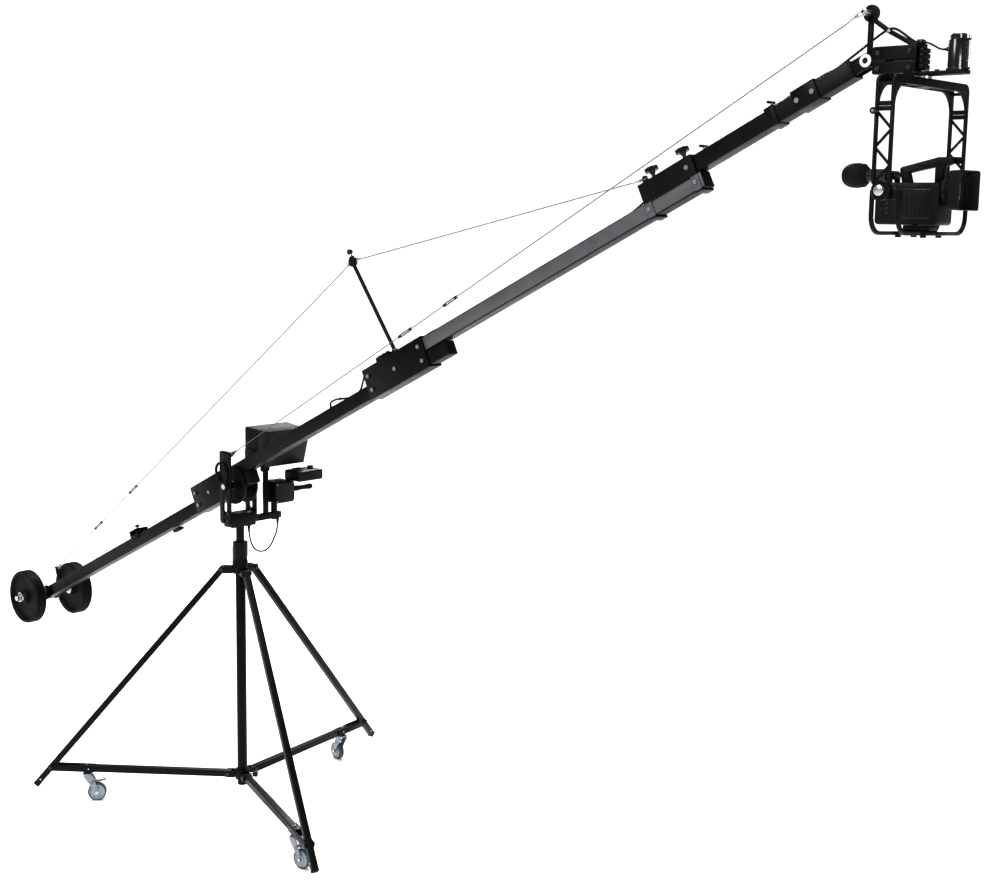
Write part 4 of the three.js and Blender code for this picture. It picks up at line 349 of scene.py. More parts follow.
def strap(x0: float, y0: float, r0: float, x1: float, y1: float, r1: float, steps: int = 12) -> Outline:
    """Two circles and the lines that touch both."""
    heading = math.degrees(math.atan2(y1 - y0, x1 - x0))
    spread = math.degrees(math.acos((r0 - r1) / math.hypot(x1 - x0, y1 - y0)))
    return arc(x1, y1, r1, heading - spread, heading + spread, steps) + arc(
        x0, y0, r0, heading + spread, heading - spread + 360, steps
    )


def lobed(x: float, y: float, radius: float, depth: float, lobes: int, steps: int = 96) -> Outline:
    """A knob's outline, with finger hollows between its lobes."""
    points = []
    for i in range(steps):
        angle = 2 * math.pi * i / steps
        reach = radius - depth * (0.5 - 0.5 * math.cos(lobes * angle)) ** 3
        points.append((x + reach * math.cos(angle), y + reach * math.sin(angle)))
    return points


def block(x0: float, x1: float, y0: float, y1: float, z0: float, z1: float, bevel: float = 1.0) -> Mesh:
    """A block between two corners with rounded edges."""
    mesh = bmesh.new()
    bmesh.ops.create_cube(mesh, size=1.0)
    size = Vector((x1 - x0, y1 - y0, z1 - z0))
    middle = Vector((x0 + x1, y0 + y1, z0 + z1)) / 2
    for vert in mesh.verts:
        vert.co = Vector(a * b for a, b in zip(vert.co, size)) + middle
    if bevel > 0:
        offset = min(bevel, 0.45 * min(size))
        bmesh.ops.bevel(mesh, geom=mesh.edges[:], offset=offset, segments=2, profile=0.5, affect="EDGES")
    return mesh


def lathe(profile: Outline, sides: int = 48, ring: bool = False) -> Mesh:
    """Turns a profile of radii and heights round Z.

    Args:
        profile: Radius and height of each point.
        sides: Number of steps round.
        ring: True where the profile closes on itself round a bore.

    Returns:
        The closed mesh.
    """
    mesh = bmesh.new()
    rows = []
    for radius, height in profile:
        if radius < 1e-6:
            rows.append([mesh.verts.new((0, 0, height))] * sides)
            continue
        angles = [2 * math.pi * i / sides for i in range(sides)]
        rows.append([mesh.verts.new((radius * math.cos(a), radius * math.sin(a), height)) for a in angles])
    pairs = list(zip(rows, rows[1:])) + ([(rows[-1], rows[0])] if ring else [])
    for low, high in pairs:
        for i in range(sides):
            j = (i + 1) % sides
            corners = list(dict.fromkeys((low[i], low[j], high[j], high[i])))
            if len(corners) > 2:
                mesh.faces.new(corners)
    if not ring:
        for row in (rows[0], rows[-1]):
            if len(set(row)) > 2:
                mesh.faces.new(row)
    return mesh


def rod_profile(r0: float, r1: float, start: float, end: float, chamfer: float) -> Outline:
    """The profile of a solid rod or cone with chamfered ends."""
    c = min(chamfer, abs(end - start) / 3, min(r0, r1) / 2)
    return [(0, start), (r0 - c, start), (r0, start + c), (r1, end - c), (r1 - c, end), (0, end)]


def sweep(points: list[Point], radius: float, sides: int = 12) -> Mesh:
    """A round tube along a path of points, closed at its ends."""
    mesh = bmesh.new()
    path = [Vector(p) for p in points]
    ways = [(b - a).normalized() for a, b in zip(path, path[1:])]
    ways = [ways[0]] + [(a + b).normalized() for a, b in zip(ways, ways[1:])] + [ways[-1]]
    side = ways[0].orthogonal().normalized()
    rows = []
    for at, way in zip(path, ways):
        side = (side - way * side.dot(way)).normalized()
        other = way.cross(side)
        angles = [2 * math.pi * i / sides for i in range(sides)]
        rows.append([mesh.verts.new(at + radius * (side * math.cos(a) + other * math.sin(a))) for a in angles])
    for low, high in zip(rows, rows[1:]):
        for i in range(sides):
            j = (i + 1) % sides
            mesh.faces.new((low[i], low[j], high[j], high[i]))
    mesh.faces.new(rows[0])
    mesh.faces.new(rows[-1])
    return mesh


def smooth_path(points: list[Point], steps: int) -> list[Point]:
    """A smooth curve through points, in equal parameter steps.

    Args:
        points: The points that the curve passes.
        steps: Steps between two of them.

    Returns:
        The curve's points, the given ones included.
    """
    path = [Vector(p) for p in points]
    path = [2 * path[0] - path[1], *path, 2 * path[-1] - path[-2]]
    result: list[Point] = []
    for a, b, c, d in zip(path, path[1:], path[2:], path[3:]):
        t1 = math.sqrt(max((b - a).length, 1e-6))
        t2 = t1 + math.sqrt(max((c - b).length, 1e-6))
        t3 = t2 + math.sqrt(max((d - c).length, 1e-6))
        for i in range(steps):
            t = t1 + (t2 - t1) * i / steps
            a1 = a * ((t1 - t) / t1) + b * (t / t1)
            a2 = b * ((t2 - t) / (t2 - t1)) + c * ((t - t1) / (t2 - t1))
            a3 = c * ((t3 - t) / (t3 - t2)) + d * ((t - t2) / (t3 - t2))
            b1 = a1 * ((t2 - t) / t2) + a2 * (t / t2)
            b2 = a2 * ((t3 - t) / (t3 - t1)) + a3 * ((t - t1) / (t3 - t1))
            result.append(tuple(b1 * ((t2 - t) / (t2 - t1)) + b2 * ((t - t1) / (t2 - t1))))
    result.append(tuple(path[-2]))
    return result


def plate(outline: Outline, low: float, high: float, holes: list[Outline] | None = None, bevel: float = 0.8) -> Mesh:
    """A plate of any outline with holes and rounded edges, from one height to another."""
    curve = bpy.data.curves.new("plate", "CURVE")
    curve.dimensions = "2D"
    curve.fill_mode = "BOTH"
    round_edge = min(bevel, (high - low) / 2.2)
    curve.extrude = (high - low) / 2 - round_edge
    curve.bevel_depth = round_edge
    curve.bevel_resolution = 1
    curve.offset = -round_edge
    for loop in [outline, *(holes or [])]:
        line = curve.splines.new("POLY")
        line.points.add(len(loop) - 1)
        for point, (x, y) in zip(line.points, loop):
            point.co = (x, y, 0, 1)
        line.use_cyclic_u = True
    holder = bpy.data.objects.new("plate", curve)
    data = bpy.data.meshes.new_from_object(holder)
    bpy.data.objects.remove(holder)
    bpy.data.curves.remove(curve)
    mesh = bmesh.new()
    mesh.from_mesh(data)
    bpy.data.meshes.remove(data)
    bmesh.ops.translate(mesh, vec=(0, 0, (low + high) / 2), verts=mesh.verts[:])
    return mesh


def shell(outer: list[tuple[Outline, float]], inner: list[tuple[Outline, float]]) -> Mesh:
    """A hollow loft: outlines of equal count at heights, an outer and an inner skin, rims closed."""
    mesh = bmesh.new()
    rows = []
    for loop, height in outer + inner[::-1]:
        rows.append([mesh.verts.new((x, y, height)) for x, y in loop])
    rows.append(rows[0])
    count = len(rows[0])
    for low, high in zip(rows, rows[1:]):
        for i in range(count):
            j = (i + 1) % count
            mesh.faces.new((low[i], low[j], high[j], high[i]))
    return mesh


# Turns from the shapes' own axes to an axis of the sub-assembly
ROUND = {
    "x": Matrix.Rotation(math.pi / 2, 4, "Y"),
    "y": Matrix.Rotation(-math.pi / 2, 4, "X"),
    "z": Matrix.Identity(4),
}
FLAT = {
    "x": Matrix(((0, 0, 1, 0), (1, 0, 0, 0), (0, 1, 0, 0), (0, 0, 0, 1))),
    "y": Matrix.Rotation(math.pi / 2, 4, "X"),
    "z": Matrix.Identity(4),
}


@dataclass
class Form:
    """Collects closed shapes of one piece in a local frame, and makes one object of them."""

    place: Matrix
    finish: Finish
    verts: list[Vector] = field(default_factory=list)
    faces: list[tuple[int, ...]] = field(default_factory=list)
    tints: list[int] = field(default_factory=list)
    finishes: list[Finish] = field(default_factory=list)

    def take(self, mesh: Mesh, turn: Matrix | None = None, finish: Finish | None = None) -> None:
        """Adds a shape, turned or moved within the local frame.

        Args:
            mesh: The shape in millimetres, which is used up.
            turn: Where it goes in the local frame.
            finish: Its finish, if it isn't the form's own.
        """
        bmesh.ops.remove_doubles(mesh, verts=mesh.verts[:], dist=1e-4)
        bmesh.ops.recalc_face_normals(mesh, faces=mesh.faces[:])
        finish = finish or self.finish
        if finish not in self.finishes:
            self.finishes.append(finish)
        matrix = self.place @ Matrix.Scale(MM, 4) @ (turn or Matrix.Identity(4))
        start = len(self.verts)
        mesh.verts.index_update()
        self.verts += [matrix @ v.co for v in mesh.verts]
        flip = matrix.determinant() < 0
        for face in mesh.faces:
            corners = [v.index + start for v in face.verts]
            self.faces.append(tuple(reversed(corners)) if flip else tuple(corners))
            self.tints.append(self.finishes.index(finish))
        mesh.free()

    def block(self, x0: float, x1: float, y0: float, y1: float, z0: float, z1: float, bevel: float = 1.0,
              finish: Finish | None = None, turn: Matrix | None = None) -> None:
        """Adds a block between two corners."""
        self.take(block(x0, x1, y0, y1, z0, z1, bevel), turn, finish)

    def rod(self, axis: str, radius: float | Spot, start: float, end: float,
            at: Spot = (0, 0), chamfer: float = 0.6, sides: int = 40,
            finish: Finish | None = None) -> None:
        """Adds a rod or cone along an axis; `at` holds its two other coordinates."""
        r0, r1 = radius if isinstance(radius, tuple) else (radius, radius)
        self.turned(axis, rod_profile(r0, r1, start, end, chamfer), at, sides, False, finish)

    def turned(self, axis: str, profile: Outline, at: Spot = (0, 0), sides: int = 48,
               ring: bool = False, finish: Finish | None = None) -> None:
        """Adds a turned shape along an axis."""
        move = {"x": (0, *at), "y": (at[0], 0, at[1]), "z": (*at, 0)}[axis]
        self.take(lathe(profile, sides, ring), Matrix.Translation(move) @ ROUND[axis], finish)

    def plate(self, axis: str, outline: Outline, low: float, high: float, holes: list[Outline] | None = None,
              bevel: float = 0.8, finish: Finish | None = None, turn: Matrix | None = None) -> None:
        """Adds a plate whose thickness runs along an axis."""
        if axis == "y":
            low, high = -high, -low
        made = plate(outline, low, high, holes, bevel)
        self.take(made, (turn or Matrix.Identity(4)) @ FLAT[axis], finish)

    def sweep(self, points: list[Point], radius: float, sides: int = 12, finish: Finish | None = None) -> None:
        """Adds a round tube along points."""
        self.take(sweep(points, radius, sides), None, finish)

    def build(self, name: str, body: str, slot: str, nodes: tuple[str, ...] = ()) -> bpy.types.Object:
        """Makes the object, which rides on a body and may stand for CAD nodes.

        Args:
            name: The piece's name.
            body: The body that carries it.
            slot: The record's slot of its main finish; it is not used.
            nodes: The CAD nodes that it replaces.

        Returns:
            The new object.
        """
        data = bpy.data.meshes.new(name)
        data.from_pydata(self.verts, [], self.faces)
        for finish in self.finishes:
            data.materials.append(finish.material())
        data.polygons.foreach_set("material_index", self.tints)
        data.polygons.foreach_set("use_smooth", [True] * len(self.faces))
        data.set_sharp_from_angle(angle=CREASE)
        return settle(bpy.data.objects.new(name, data), body, nodes)

    def skin(self, node: str, body: str, slot: str = "black_paint") -> None:
        """Makes the object that stands for one CAD node and is named after it."""
        self.build(f"{node}_skin", body, slot, (node,))


def settle(piece: bpy.types.Object, body: str, nodes: tuple[str, ...] = ()) -> bpy.types.Object:
    """Links a finished piece, sets what carries it and what it replaces, and reports it.

    A piece with an empty body name rides on none.
    """
    bpy.context.scene.collection.objects.link(piece)
    if body:
        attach(piece, body)
    if nodes:
        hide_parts(*nodes)
    log.info("%s rides on %s, %d faces", piece.name, body or "two bodies", len(piece.data.polygons))
    return piece


# Patterns that repeat: bolt heads on points, and wire rope along a line


def open_rule(name: str, sizes: tuple[str, ...]) -> tuple[Tree, bpy.types.bpy_prop_collection]:
    """Starts a geometry node tree.

    Args:
        name: The tree's name.
        sizes: The names of its sizes, besides its geometry and its material.

    Returns:
        The tree and the sockets of its inputs.
    """
    tree = bpy.data.node_groups.new(name, "GeometryNodeTree")
    inputs = [("Geometry", "Geometry"), *((size, "Float") for size in sizes), ("Material", "Material")]
    for label, kind in inputs:
        tree.interface.new_socket(label, in_out="INPUT", socket_type=f"NodeSocket{kind}")
    tree.interface.new_socket("Geometry", in_out="OUTPUT", socket_type="NodeSocketGeometry")
    return tree, add_node(tree, "NodeGroupInput").outputs


def close_rule(tree: Tree, shape: Socket, material: Socket) -> None:
    """Realizes a tree's shape, gives it its material and makes it the tree's result."""
    real = add_node(tree, "GeometryNodeRealizeInstances", {0: shape}).outputs[0]
    dressed = add_node(tree, "GeometryNodeSetMaterial", {"Geometry": real, "Material": material}).outputs[0]
    add_node(tree, "NodeGroupOutput", {"Geometry": dressed})


@dataclass
class HexHeads:
    """Hexagon bolt heads, set on points by geometry nodes."""

    place: Matrix
    across: float = 14.0
    height: float = 4.5
    crown_share: float = 0.84
    flats_share: float = 0.86
    spots: list[tuple[Vector, Vector]] = field(default_factory=list)

    def put(self, at: Point, facing: Point) -> None:
        """Adds one head at a point of the local frame, facing a way."""
        self.spots.append((self.place @ (Vector(at) * MM), (self.place.to_3x3() @ Vector(facing)).normalized()))

    def tree(self) -> Tree:
        """The node tree that sets a head on every point."""
        tree, ends = open_rule("hex_heads", ("Radius", "Height"))
        half = add_node(tree, "ShaderNodeMath", {0: ends["Height"], 1: 0.5}, operation="MULTIPLY").outputs[0]
        crown, flats = (
            add_node(tree, "ShaderNodeMath", {0: ends[size], 1: share}, operation="MULTIPLY").outputs[0]
            for size, share in (("Radius", self.crown_share), ("Height", self.flats_share))
        )
        parts = []
        for sides, radius, depth in ((6, ends["Radius"], flats), (24, crown, ends["Height"])):
            head = add_node(tree, "GeometryNodeMeshCylinder", {"Vertices": sides, "Radius": radius, "Depth": depth})
            lift = add_node(tree, "ShaderNodeCombineXYZ", {"Z": half}).outputs[0]
            raised = {"Geometry": head.outputs["Mesh"], "Translation": lift}
            parts.append(add_node(tree, "GeometryNodeTransform", raised).outputs[0])
        whole = add_node(tree, "GeometryNodeJoinGeometry")
        for part in parts:
            tree.links.new(part, whole.inputs[0])
        facing = add_node(tree, "GeometryNodeInputNamedAttribute", {"Name": "facing"}, data_type="FLOAT_VECTOR")
        turn = add_node(tree, "FunctionNodeAlignRotationToVector", {"Vector": facing.outputs[0]}, axis="Z").outputs[0]
        heads = {"Points": ends["Geometry"], "Instance": whole.outputs[0], "Rotation": turn}
        spread = add_node(tree, "GeometryNodeInstanceOnPoints", heads).outputs[0]
        close_rule(tree, spread, ends["Material"])
        return tree

    def build(self, name: str, body: str, finish: Finish) -> None:
        """Makes one plain mesh of all heads on a body."""
        data = bpy.data.meshes.new(name)
        data.from_pydata([at for at, _ in self.spots], [], [])
        facing = data.attributes.new("facing", "FLOAT_VECTOR", "POINT")
        facing.data.foreach_set("vector", [c for _, way in self.spots for c in way])
        values = {"Radius": self.across / math.sqrt(3) * MM, "Height": self.height * MM, "Material": finish.material()}
        settle(grown(name, data, self.tree(), values), body)


def grown(name: str, data: bpy.types.ID, tree: Tree, values: dict) -> bpy.types.Object:
    """Runs a geometry node tree on some data and returns its result as a plain mesh object.

    Args:
        name: The piece's name.
        data: The mesh or curve that the tree starts from.
        tree: The node tree, which ends in realized instances and a material.
        values: The tree's named inputs.

    Returns:
        An object that isn't linked yet.
    """
    holder = bpy.data.objects.new(f"{name}_rule", data)
    bpy.context.scene.collection.objects.link(holder)
    modifier = holder.modifiers.new("rule", "NODES")
    modifier.node_group = tree
    for socket in tree.interface.items_tree:
        if socket.in_out == "INPUT" and socket.name in values:
            modifier[socket.identifier] = values[socket.name]
    graph = bpy.context.evaluated_depsgraph_get()
    result = bpy.data.meshes.new_from_object(holder.evaluated_get(graph), depsgraph=graph)
    holder.modifiers.remove(modifier)
    bpy.data.objects.remove(holder)
    result.name = name
    return bpy.data.objects.new(name, result)


@dataclass
class WireRope:
    """A taut wire rope with twisted strands, eyes, ferrules and turnbuckles, along a line."""

    place: Matrix
    length: float
    side: float
    radius: float = 1.8
    eye: float = 8.0
    eye_half: float = 2.0
    hole: float = 3.3
    strands: int = 6
    groove_share: float = 0.72
    shares: tuple[float, ...] = ()

    def tree(self) -> Tree:
        """The tree that twists the strands round the line."""
        tree, ends = open_rule("wire_rope", ("Radius", "Step", "Twist"))
        line = {"Curve": ends["Geometry"], "Length": ends["Step"]}
        fine = add_node(tree, "GeometryNodeResampleCurve", line, mode="LENGTH").outputs[0]
        number = add_node(tree, "GeometryNodeInputIndex").outputs[0]
        tilt = add_node(tree, "ShaderNodeMath", {0: number, 1: ends["Twist"]}, operation="MULTIPLY").outputs[0]
        laid = add_node(tree, "GeometryNodeSetCurveTilt", {"Curve": fine, "Tilt": tilt}).outputs[0]
        sizes = {0: ends["Radius"], 1: self.groove_share}
        groove = add_node(tree, "ShaderNodeMath", sizes, operation="MULTIPLY").outputs[0]
        sizes = {"Points": self.strands, "Inner Radius": groove, "Outer Radius": ends["Radius"]}
        star = add_node(tree, "GeometryNodeCurveStar", sizes).outputs[0]
        curves = {"Curve": laid, "Profile Curve": star, "Fill Caps": True}
        rope = add_node(tree, "GeometryNodeCurveToMesh", curves).outputs[0]
        close_rule(tree, rope, ends["Material"])
        return tree

    def build(self, name: str, body: str, node: str) -> None:
        """Makes the rope with its fittings and lets both stand for the CAD node."""
        tang, ferrule = 26.0, 22.0
        step, twist = 5.0, 0.5
        line = bpy.data.curves.new(name, "CURVE")
        line.dimensions = "3D"
        spline = line.splines.new("POLY")
        spline.points.add(1)
        for point, along in zip(spline.points, (tang + 2, self.length - tang - 2)):
            point.co = (*(self.place @ (Vector((along, self.side, 0)) * MM)), 1)
        values = {"Radius": self.radius * MM, "Step": step * MM, "Twist": twist, "Material": ROPE.material()}
        rope = grown(f"{name}_rope", line, self.tree(), values)
        fittings = Form(self.place, STEEL)
        for start, way in ((0.0, 1.0), (self.length, -1.0)):
            turn = Matrix.Translation((start, self.side, 0)) @ Matrix.Scale(way, 4, (1, 0, 0))
            half, outline = self.eye_half, strap(0, 0, self.eye, tang, 0, 4)
            eye = plate(outline, -half, half, [circle(0, 0, self.hole, 20)], 0.6)
            fittings.take(eye, turn @ FLAT["y"])
            end = tang + ferrule
            sleeve = [(0, tang - 1), (3.2, tang - 1), (4, tang), (4, end - 2), (2.2, end), (0, end)]
            fittings.take(lathe(sleeve, 24), turn @ ROUND["x"])
        for share in self.shares:
            self._turnbuckle(fittings, share * self.length)
        settle(rope, body, (node,))
        fittings.build(f"{name}_fittings", body, "cable_steel")

    def _turnbuckle(self, fittings: Form, middle: float) -> None:
        """Two side bars between end nuts, with the threaded eye rods inside."""
        reach, nut, thread = 36.0, 13.0, 34.0
        at = (self.side, 0.0)
        for way in (-1, 1):
            end = middle + way * reach
            fittings.rod("x", 6.0, *sorted((end, end - way * nut)), at, 1.2, 6, OXIDE)
            fittings.rod("x", 3.4, *sorted((end, end + way * 16)), at, 0.5, 16)
            fittings.rod("x", 2.4, *sorted((end - way * nut, end - way * thread)), at, 0.3, 12)
            side, z = self.side, way * 4.6
            start, end = middle - reach + 8, middle + reach - 8
            fittings.block(start, end, side - 1.6, side + 1.6, z - 1.4, z + 1.4, 0.7, OXIDE)


# Sub-assemblies


@dataclass
class Studio:
    """The floor, the lights and the photograph's camera."""

    position: Point = (4.8366, -3.8156, 2.3458)
    azimuth: float = 42.0
    pitch: float = 8.549
    roll: float = 0.910
    lens: float = 55.36
    room: float = 0.25
    backdrop: float = 1.0

    def build(self) -> None:
        """Builds the studio."""
        self._floor()
        self._lights()
        self._camera()

    def _floor(self) -> None:
        """A wide pale sheet under the casters."""
        data = bpy.data.meshes.new("studio_floor")
        reach, z = 40.0, FLOOR * MM - 0.0005
        corners = [(-reach, -reach, z), (reach, -reach, z), (reach, reach, z), (-reach, reach, z)]
        data.from_pydata(corners, [], [(0, 1, 2, 3)])
        floor = bpy.data.objects.new("studio_floor", data)
        paper = bpy.data.materials.new("studio_paper")
        paper.use_nodes = True
        shader = paper.node_tree.nodes["Principled BSDF"]
        shader.inputs["Base Color"].default_value = linear("#fbfbfb")
        shader.inputs["Roughness"].default_value = 0.9
        data.materials.append(paper)
        bpy.context.scene.collection.objects.link(floor)

    def _lights(self) -> None:
        """A wide light above, a key by the camera, a narrow side light, a rim light and an even room."""
        world = bpy.data.worlds.new("studio_room")
        world.use_nodes = True
        tree = world.node_tree
        seen = add_node(tree, "ShaderNodeLightPath").outputs["Is Camera Ray"]
        strength = add_node(
            tree, "ShaderNodeMapRange", {"Value": seen, "To Min": self.room, "To Max": self.backdrop}
        ).outputs["Result"]
        shade = tree.nodes["Background"]
        shade.inputs["Color"].default_value = linear("#ffffff")
        tree.links.new(strength, shade.inputs["Strength"])
        bpy.context.scene.world = world
        bpy.context.scene.view_settings.view_transform = "Standard"
        bpy.context.scene.view_settings.look = "Medium High Contrast"
        for name, kind, at, aim, size, power in (
            ("roof_light", "SUN", (0.2, -1.0, 7.5), (0.6, 0.0, 0.0), math.radians(50), 2.8),
            ("key_light", "AREA", (0.5, -7.0, 6.0), (0.6, 0.0, 1.4), 2.5, 300.0),
            ("side_light", "AREA", (7.5, -3.0, 3.0), (1.5, 0.0, 1.8), 1.5, 130.0),
            ("rim_light", "AREA", (-3.5, 5.0, 6.0), (0.5, 0.0, 1.6), 2.5, 420.0),
        ):
            lamp = bpy.data.lights.new(name, kind)
            if kind == "SUN":
                lamp.angle = size
            else:
                lamp.size = size
            lamp.energy = power
            holder = bpy.data.objects.new(name, lamp)
            holder.location = at
            holder.rotation_euler = (Vector(aim) - Vector(at)).to_track_quat("-Z", "Y").to_euler()
            bpy.context.scene.collection.objects.link(holder)

    def _camera(self) -> None:
        """The camera that was fitted to the photograph."""
        az, down, roll = (math.radians(a) for a in (self.azimuth, self.pitch, self.roll))
        ahead = Vector((-math.sin(az) * math.cos(down), math.cos(az) * math.cos(down), -math.sin(down)))
        right = Vector((math.cos(az), math.sin(az), 0))
        above = right.cross(ahead)
        turned_right = right * math.cos(roll) + above * math.sin(roll)
        turned_above = above * math.cos(roll) - right * math.sin(roll)
        eye = bpy.data.cameras.new("photo_camera")
        eye.lens = self.lens
        eye.sensor_width = 36.0
        eye.clip_end = 200.0
        holder = bpy.data.objects.new("photo_camera", eye)
        axes = Matrix((turned_right, turned_above, -ahead)).transposed().to_4x4()
        holder.matrix_world = Matrix.Translation(self.position) @ axes
        bpy.context.scene.collection.objects.link(holder)
        bpy.context.scene.camera = holder


@dataclass
class Stand:
    """The column, its collar and hub, and the folding legs and spreaders."""

    column_in: float = 18.0
    column_out: float = 20.0
    column_foot: float = 8.0
    column_top: float = 1000.0
    mast_foot: float = 650.0
    spigot_top: float = 1125.0
    lug_turn: float = 159.0
    lever_pin: Spot = (42.0, 985.0)
    ear: float = 14.0
    ear_root: float = 36.0
    ear_wall: float = 4.0
    hub_z: float = 45.0
    hub_pin: float = 60.0
    knob_turn: float = 39.0
    tube_wall: float = 2.0
    leg_half: float = 12.5
    leg_run: float = 725.0
    leg_fall: float = 860.0
    leg_tip: float = 104.0
    spreader_half: float = 13.5
    spreader_end: float = 800.0
    caster_at: float = 650.0

    def build(self) -> None:
        """Builds the stand."""
        self._column()
        self._collar()
        self._lever()
        self._hub()
        for index, side in enumerate(SIDES):
            self._leg(index, side)
            self._spreader(index, side)

    def _column(self) -> None:
        """The column with its plug, and the inner mast with its guide bush and spigot."""
        form = Form(CRANE, COAT)
        inner, outer, foot, top = self.column_in, self.column_out, self.column_foot, self.column_top
        form.turned("z", [
            (inner, foot), (outer, foot), (outer, top - 1), (outer - 0.6, top), (inner + 0.6, top), (inner, top - 1),
        ], sides=72, ring=True)
        form.turned("z", rod_profile(outer, outer, 0, foot - 0.1, 1.5), sides=72, finish=RUBBER)
        form.skin("column_tube", "stand")
        mast = Form(CRANE, COAT)
        foot, spigot = self.mast_foot, self.spigot_top
        mast.turned("z", [
            (0, MAST_TOP - 20), (14.5, MAST_TOP - 20), (14.5, foot), (17.7, foot), (17.7, foot + 30),
            (16.5, foot + 30), (16.5, MAST_TOP - 1), (15.8, MAST_TOP), (11, MAST_TOP), (11, spigot - 1),
            (10, spigot), (0, spigot),
        ], sides=64)
        mast.skin("inner_mast", "mast")

    def _ears(self, form: Form, heads: HexHeads, turn: Matrix, pin: float, height: float, near: float) -> None:
        """A pair of ears on a ring, with the heads of their bolt.

        Args:
            form: The ring's form.
            heads: The bolt heads of the same body.
            turn: The frame of the ears' side of the stand.
            pin: Their pin's place, out from the column's middle.
            height: Their pin's height.
            near: The inner face of each ear.
        """
        far = near + self.ear_wall
        outline = strap(self.ear_root, height, self.ear, pin, height, self.ear)
        for way in (1, -1):
            form.plate("y", outline, *across(way, near, far), None, 0.8, None, turn)
            heads.put(tuple(turn @ Vector((pin, way * far, height))), tuple(turn @ Vector((0, way, 0))))

    def _collar(self) -> None:
        """The collar with three pairs of ears and the split clamp."""
        form = Form(CRANE, COAT)
        bore = self.column_out + GAP
        form.turned("z", [
            (bore, 893), (33, 893), (34, 894), (34, 896), (33, 897), (30, 898), (30, 942), (28.6, 945), (28.6, 962),
            (30, 965), (30, 1020), (28, 1022), (16.9, 1022), (16.9, 1001), (bore, 1000.4),
        ], sides=72, ring=True)
        heads = HexHeads(CRANE)
        for index in range(3):
            self._ears(form, heads, spoke(index), *LEG_PIN, 13.2)
        lug = Matrix.Rotation(math.radians(self.lug_turn), 4, "Z")
        for low, high in both(1.5, 9.5):
            form.block(25, 52, low, high, 970, 1000, 1.5, None, lug)
        form.skin("leg_collar", "stand")
        heads.build("collar_bolts", "stand", OXIDE)

    def _lever(self) -> None:
        """The lever of the mast clamp, with its bolt."""
        form = Form(Matrix.Rotation(math.radians(self.lug_turn), 4, "Z"), SMOOTH)
        form.rod("y", 3, -14.8, 18.8, self.lever_pin, finish=STEEL)
        form.rod("y", 6, -14.8, -9.8, self.lever_pin, 1.0, 6, finish=STEEL)
        form.rod("y", 9, 9.8, 18.8, self.lever_pin, 1.2)
        form.plate("y", strap(*self.lever_pin, 8.7, 48, 913, 5), 12.8, 18.8, None, 2.2)
        form.skin("mast_clamp_lever", "clamp_lever")

    def _hub(self) -> None:
        """The sliding hub with its ears, pins and lock knob."""
        form = Form(CRANE, COAT)
        bore, low, high = self.column_out + GAP, self.hub_z - 20, self.hub_z + 20
        form.turned("z", [
            (bore, low), (29, low), (30, low + 1), (30, high - 1), (29, high), (bore, high),
        ], sides=72, ring=True)
        heads = HexHeads(CRANE)
        for index in range(3):
            turn = spoke(index)
            self._ears(form, heads, turn, self.hub_pin, self.hub_z, 14.1)
            pin = lathe(rod_profile(5, 5, -18.1, 18.1, 0.4), 24)
            form.take(pin, turn @ Matrix.Translation((self.hub_pin, 0, self.hub_z)) @ ROUND["y"], STEEL)
        knob = Matrix.Rotation(math.radians(self.knob_turn), 4, "Z")
        screw = lathe(rod_profile(5, 5, 25, 55, 0.5), 24)
        form.take(screw, knob @ Matrix.Translation((0, 0, self.hub_z)) @ ROUND["x"], STEEL)
        form.plate("x", lobed(0, self.hub_z, 14, 2.6, 5), 44, 64, None, 2.5, SMOOTH, knob)
        form.skin("hub_bracket", "hub")
        heads.build("hub_bolts", "hub", OXIDE)

    def _tube(self, form: Form, half: float, row: float, start: float, end: float) -> None:
        """A square tube along X with its middle at a height."""
        wall = self.tube_wall
        bore = rounded(wall - half, half - wall, row + wall - half, row + half - wall, 1.2)
        form.plate("x", rounded(-half, half, row - half, row + half, 2.2), start, end, [bore], 0.5)

    def _leg(self, index: int, side: str) -> None:
        """A square tube leg: round top, rubber foot cap and its small bright bolt."""
        pins = math.hypot(self.leg_run, self.leg_fall)
        length = pins + self.leg_tip
        slope = Matrix.Rotation(math.atan2(self.leg_fall, self.leg_run), 4, "Y")
        place = spoke(index) @ Matrix.Translation((LEG_PIN[0] * MM, 0, LEG_PIN[1] * MM)) @ slope
        half = self.leg_half
        form = Form(place, COAT)
        self._tube(form, half, 0, 0, length - 6)
        form.rod("y", half, -half, half, (0, 0), 1.0, 48)
        form.block(length - 10, length, -13.5, 13.5, -13.5, 13.5, 3.0, RUBBER)
        form.rod("y", 3.4, -half - 1.6, half + 1.6, (length - 34, 0), 0.8, 20, STEEL)
        form.skin(f"leg_{side}", f"leg_{side}")

    def _spreader(self, index: int, side: str) -> None:
        """A square tube with two straps for the leg and a boss for the caster."""
        half, z, end, strap_out = self.spreader_half, self.hub_z, self.spreader_end, 17.2
        form = Form(spoke(index), COAT)
        self._tube(form, half, z, 46.5, 680)
        for low, high in both(13.2, strap_out):
            form.plate("y", strap(622, z, half, end, z, half, 16), low, high)
        form.rod("y", 4, -strap_out, strap_out, (end, z), 0.3, 24, STEEL)
        form.rod("z", 14, 23.5, 31.6, (self.caster_at, 0), 1.0)
        form.rod("y", 3.0, -19.0, 19.0, (self.caster_at - 10, z), 0.8, 20, STEEL)
        form.skin(f"spreader_{side}", f"spreader_{side}")
        heads = HexHeads(spoke(index))
        for way in (-1, 1):
            heads.put((end, way * strap_out, z), (0, way, 0))
        heads.build(f"spreader_{side}_bolts", f"spreader_{side}", OXIDE)


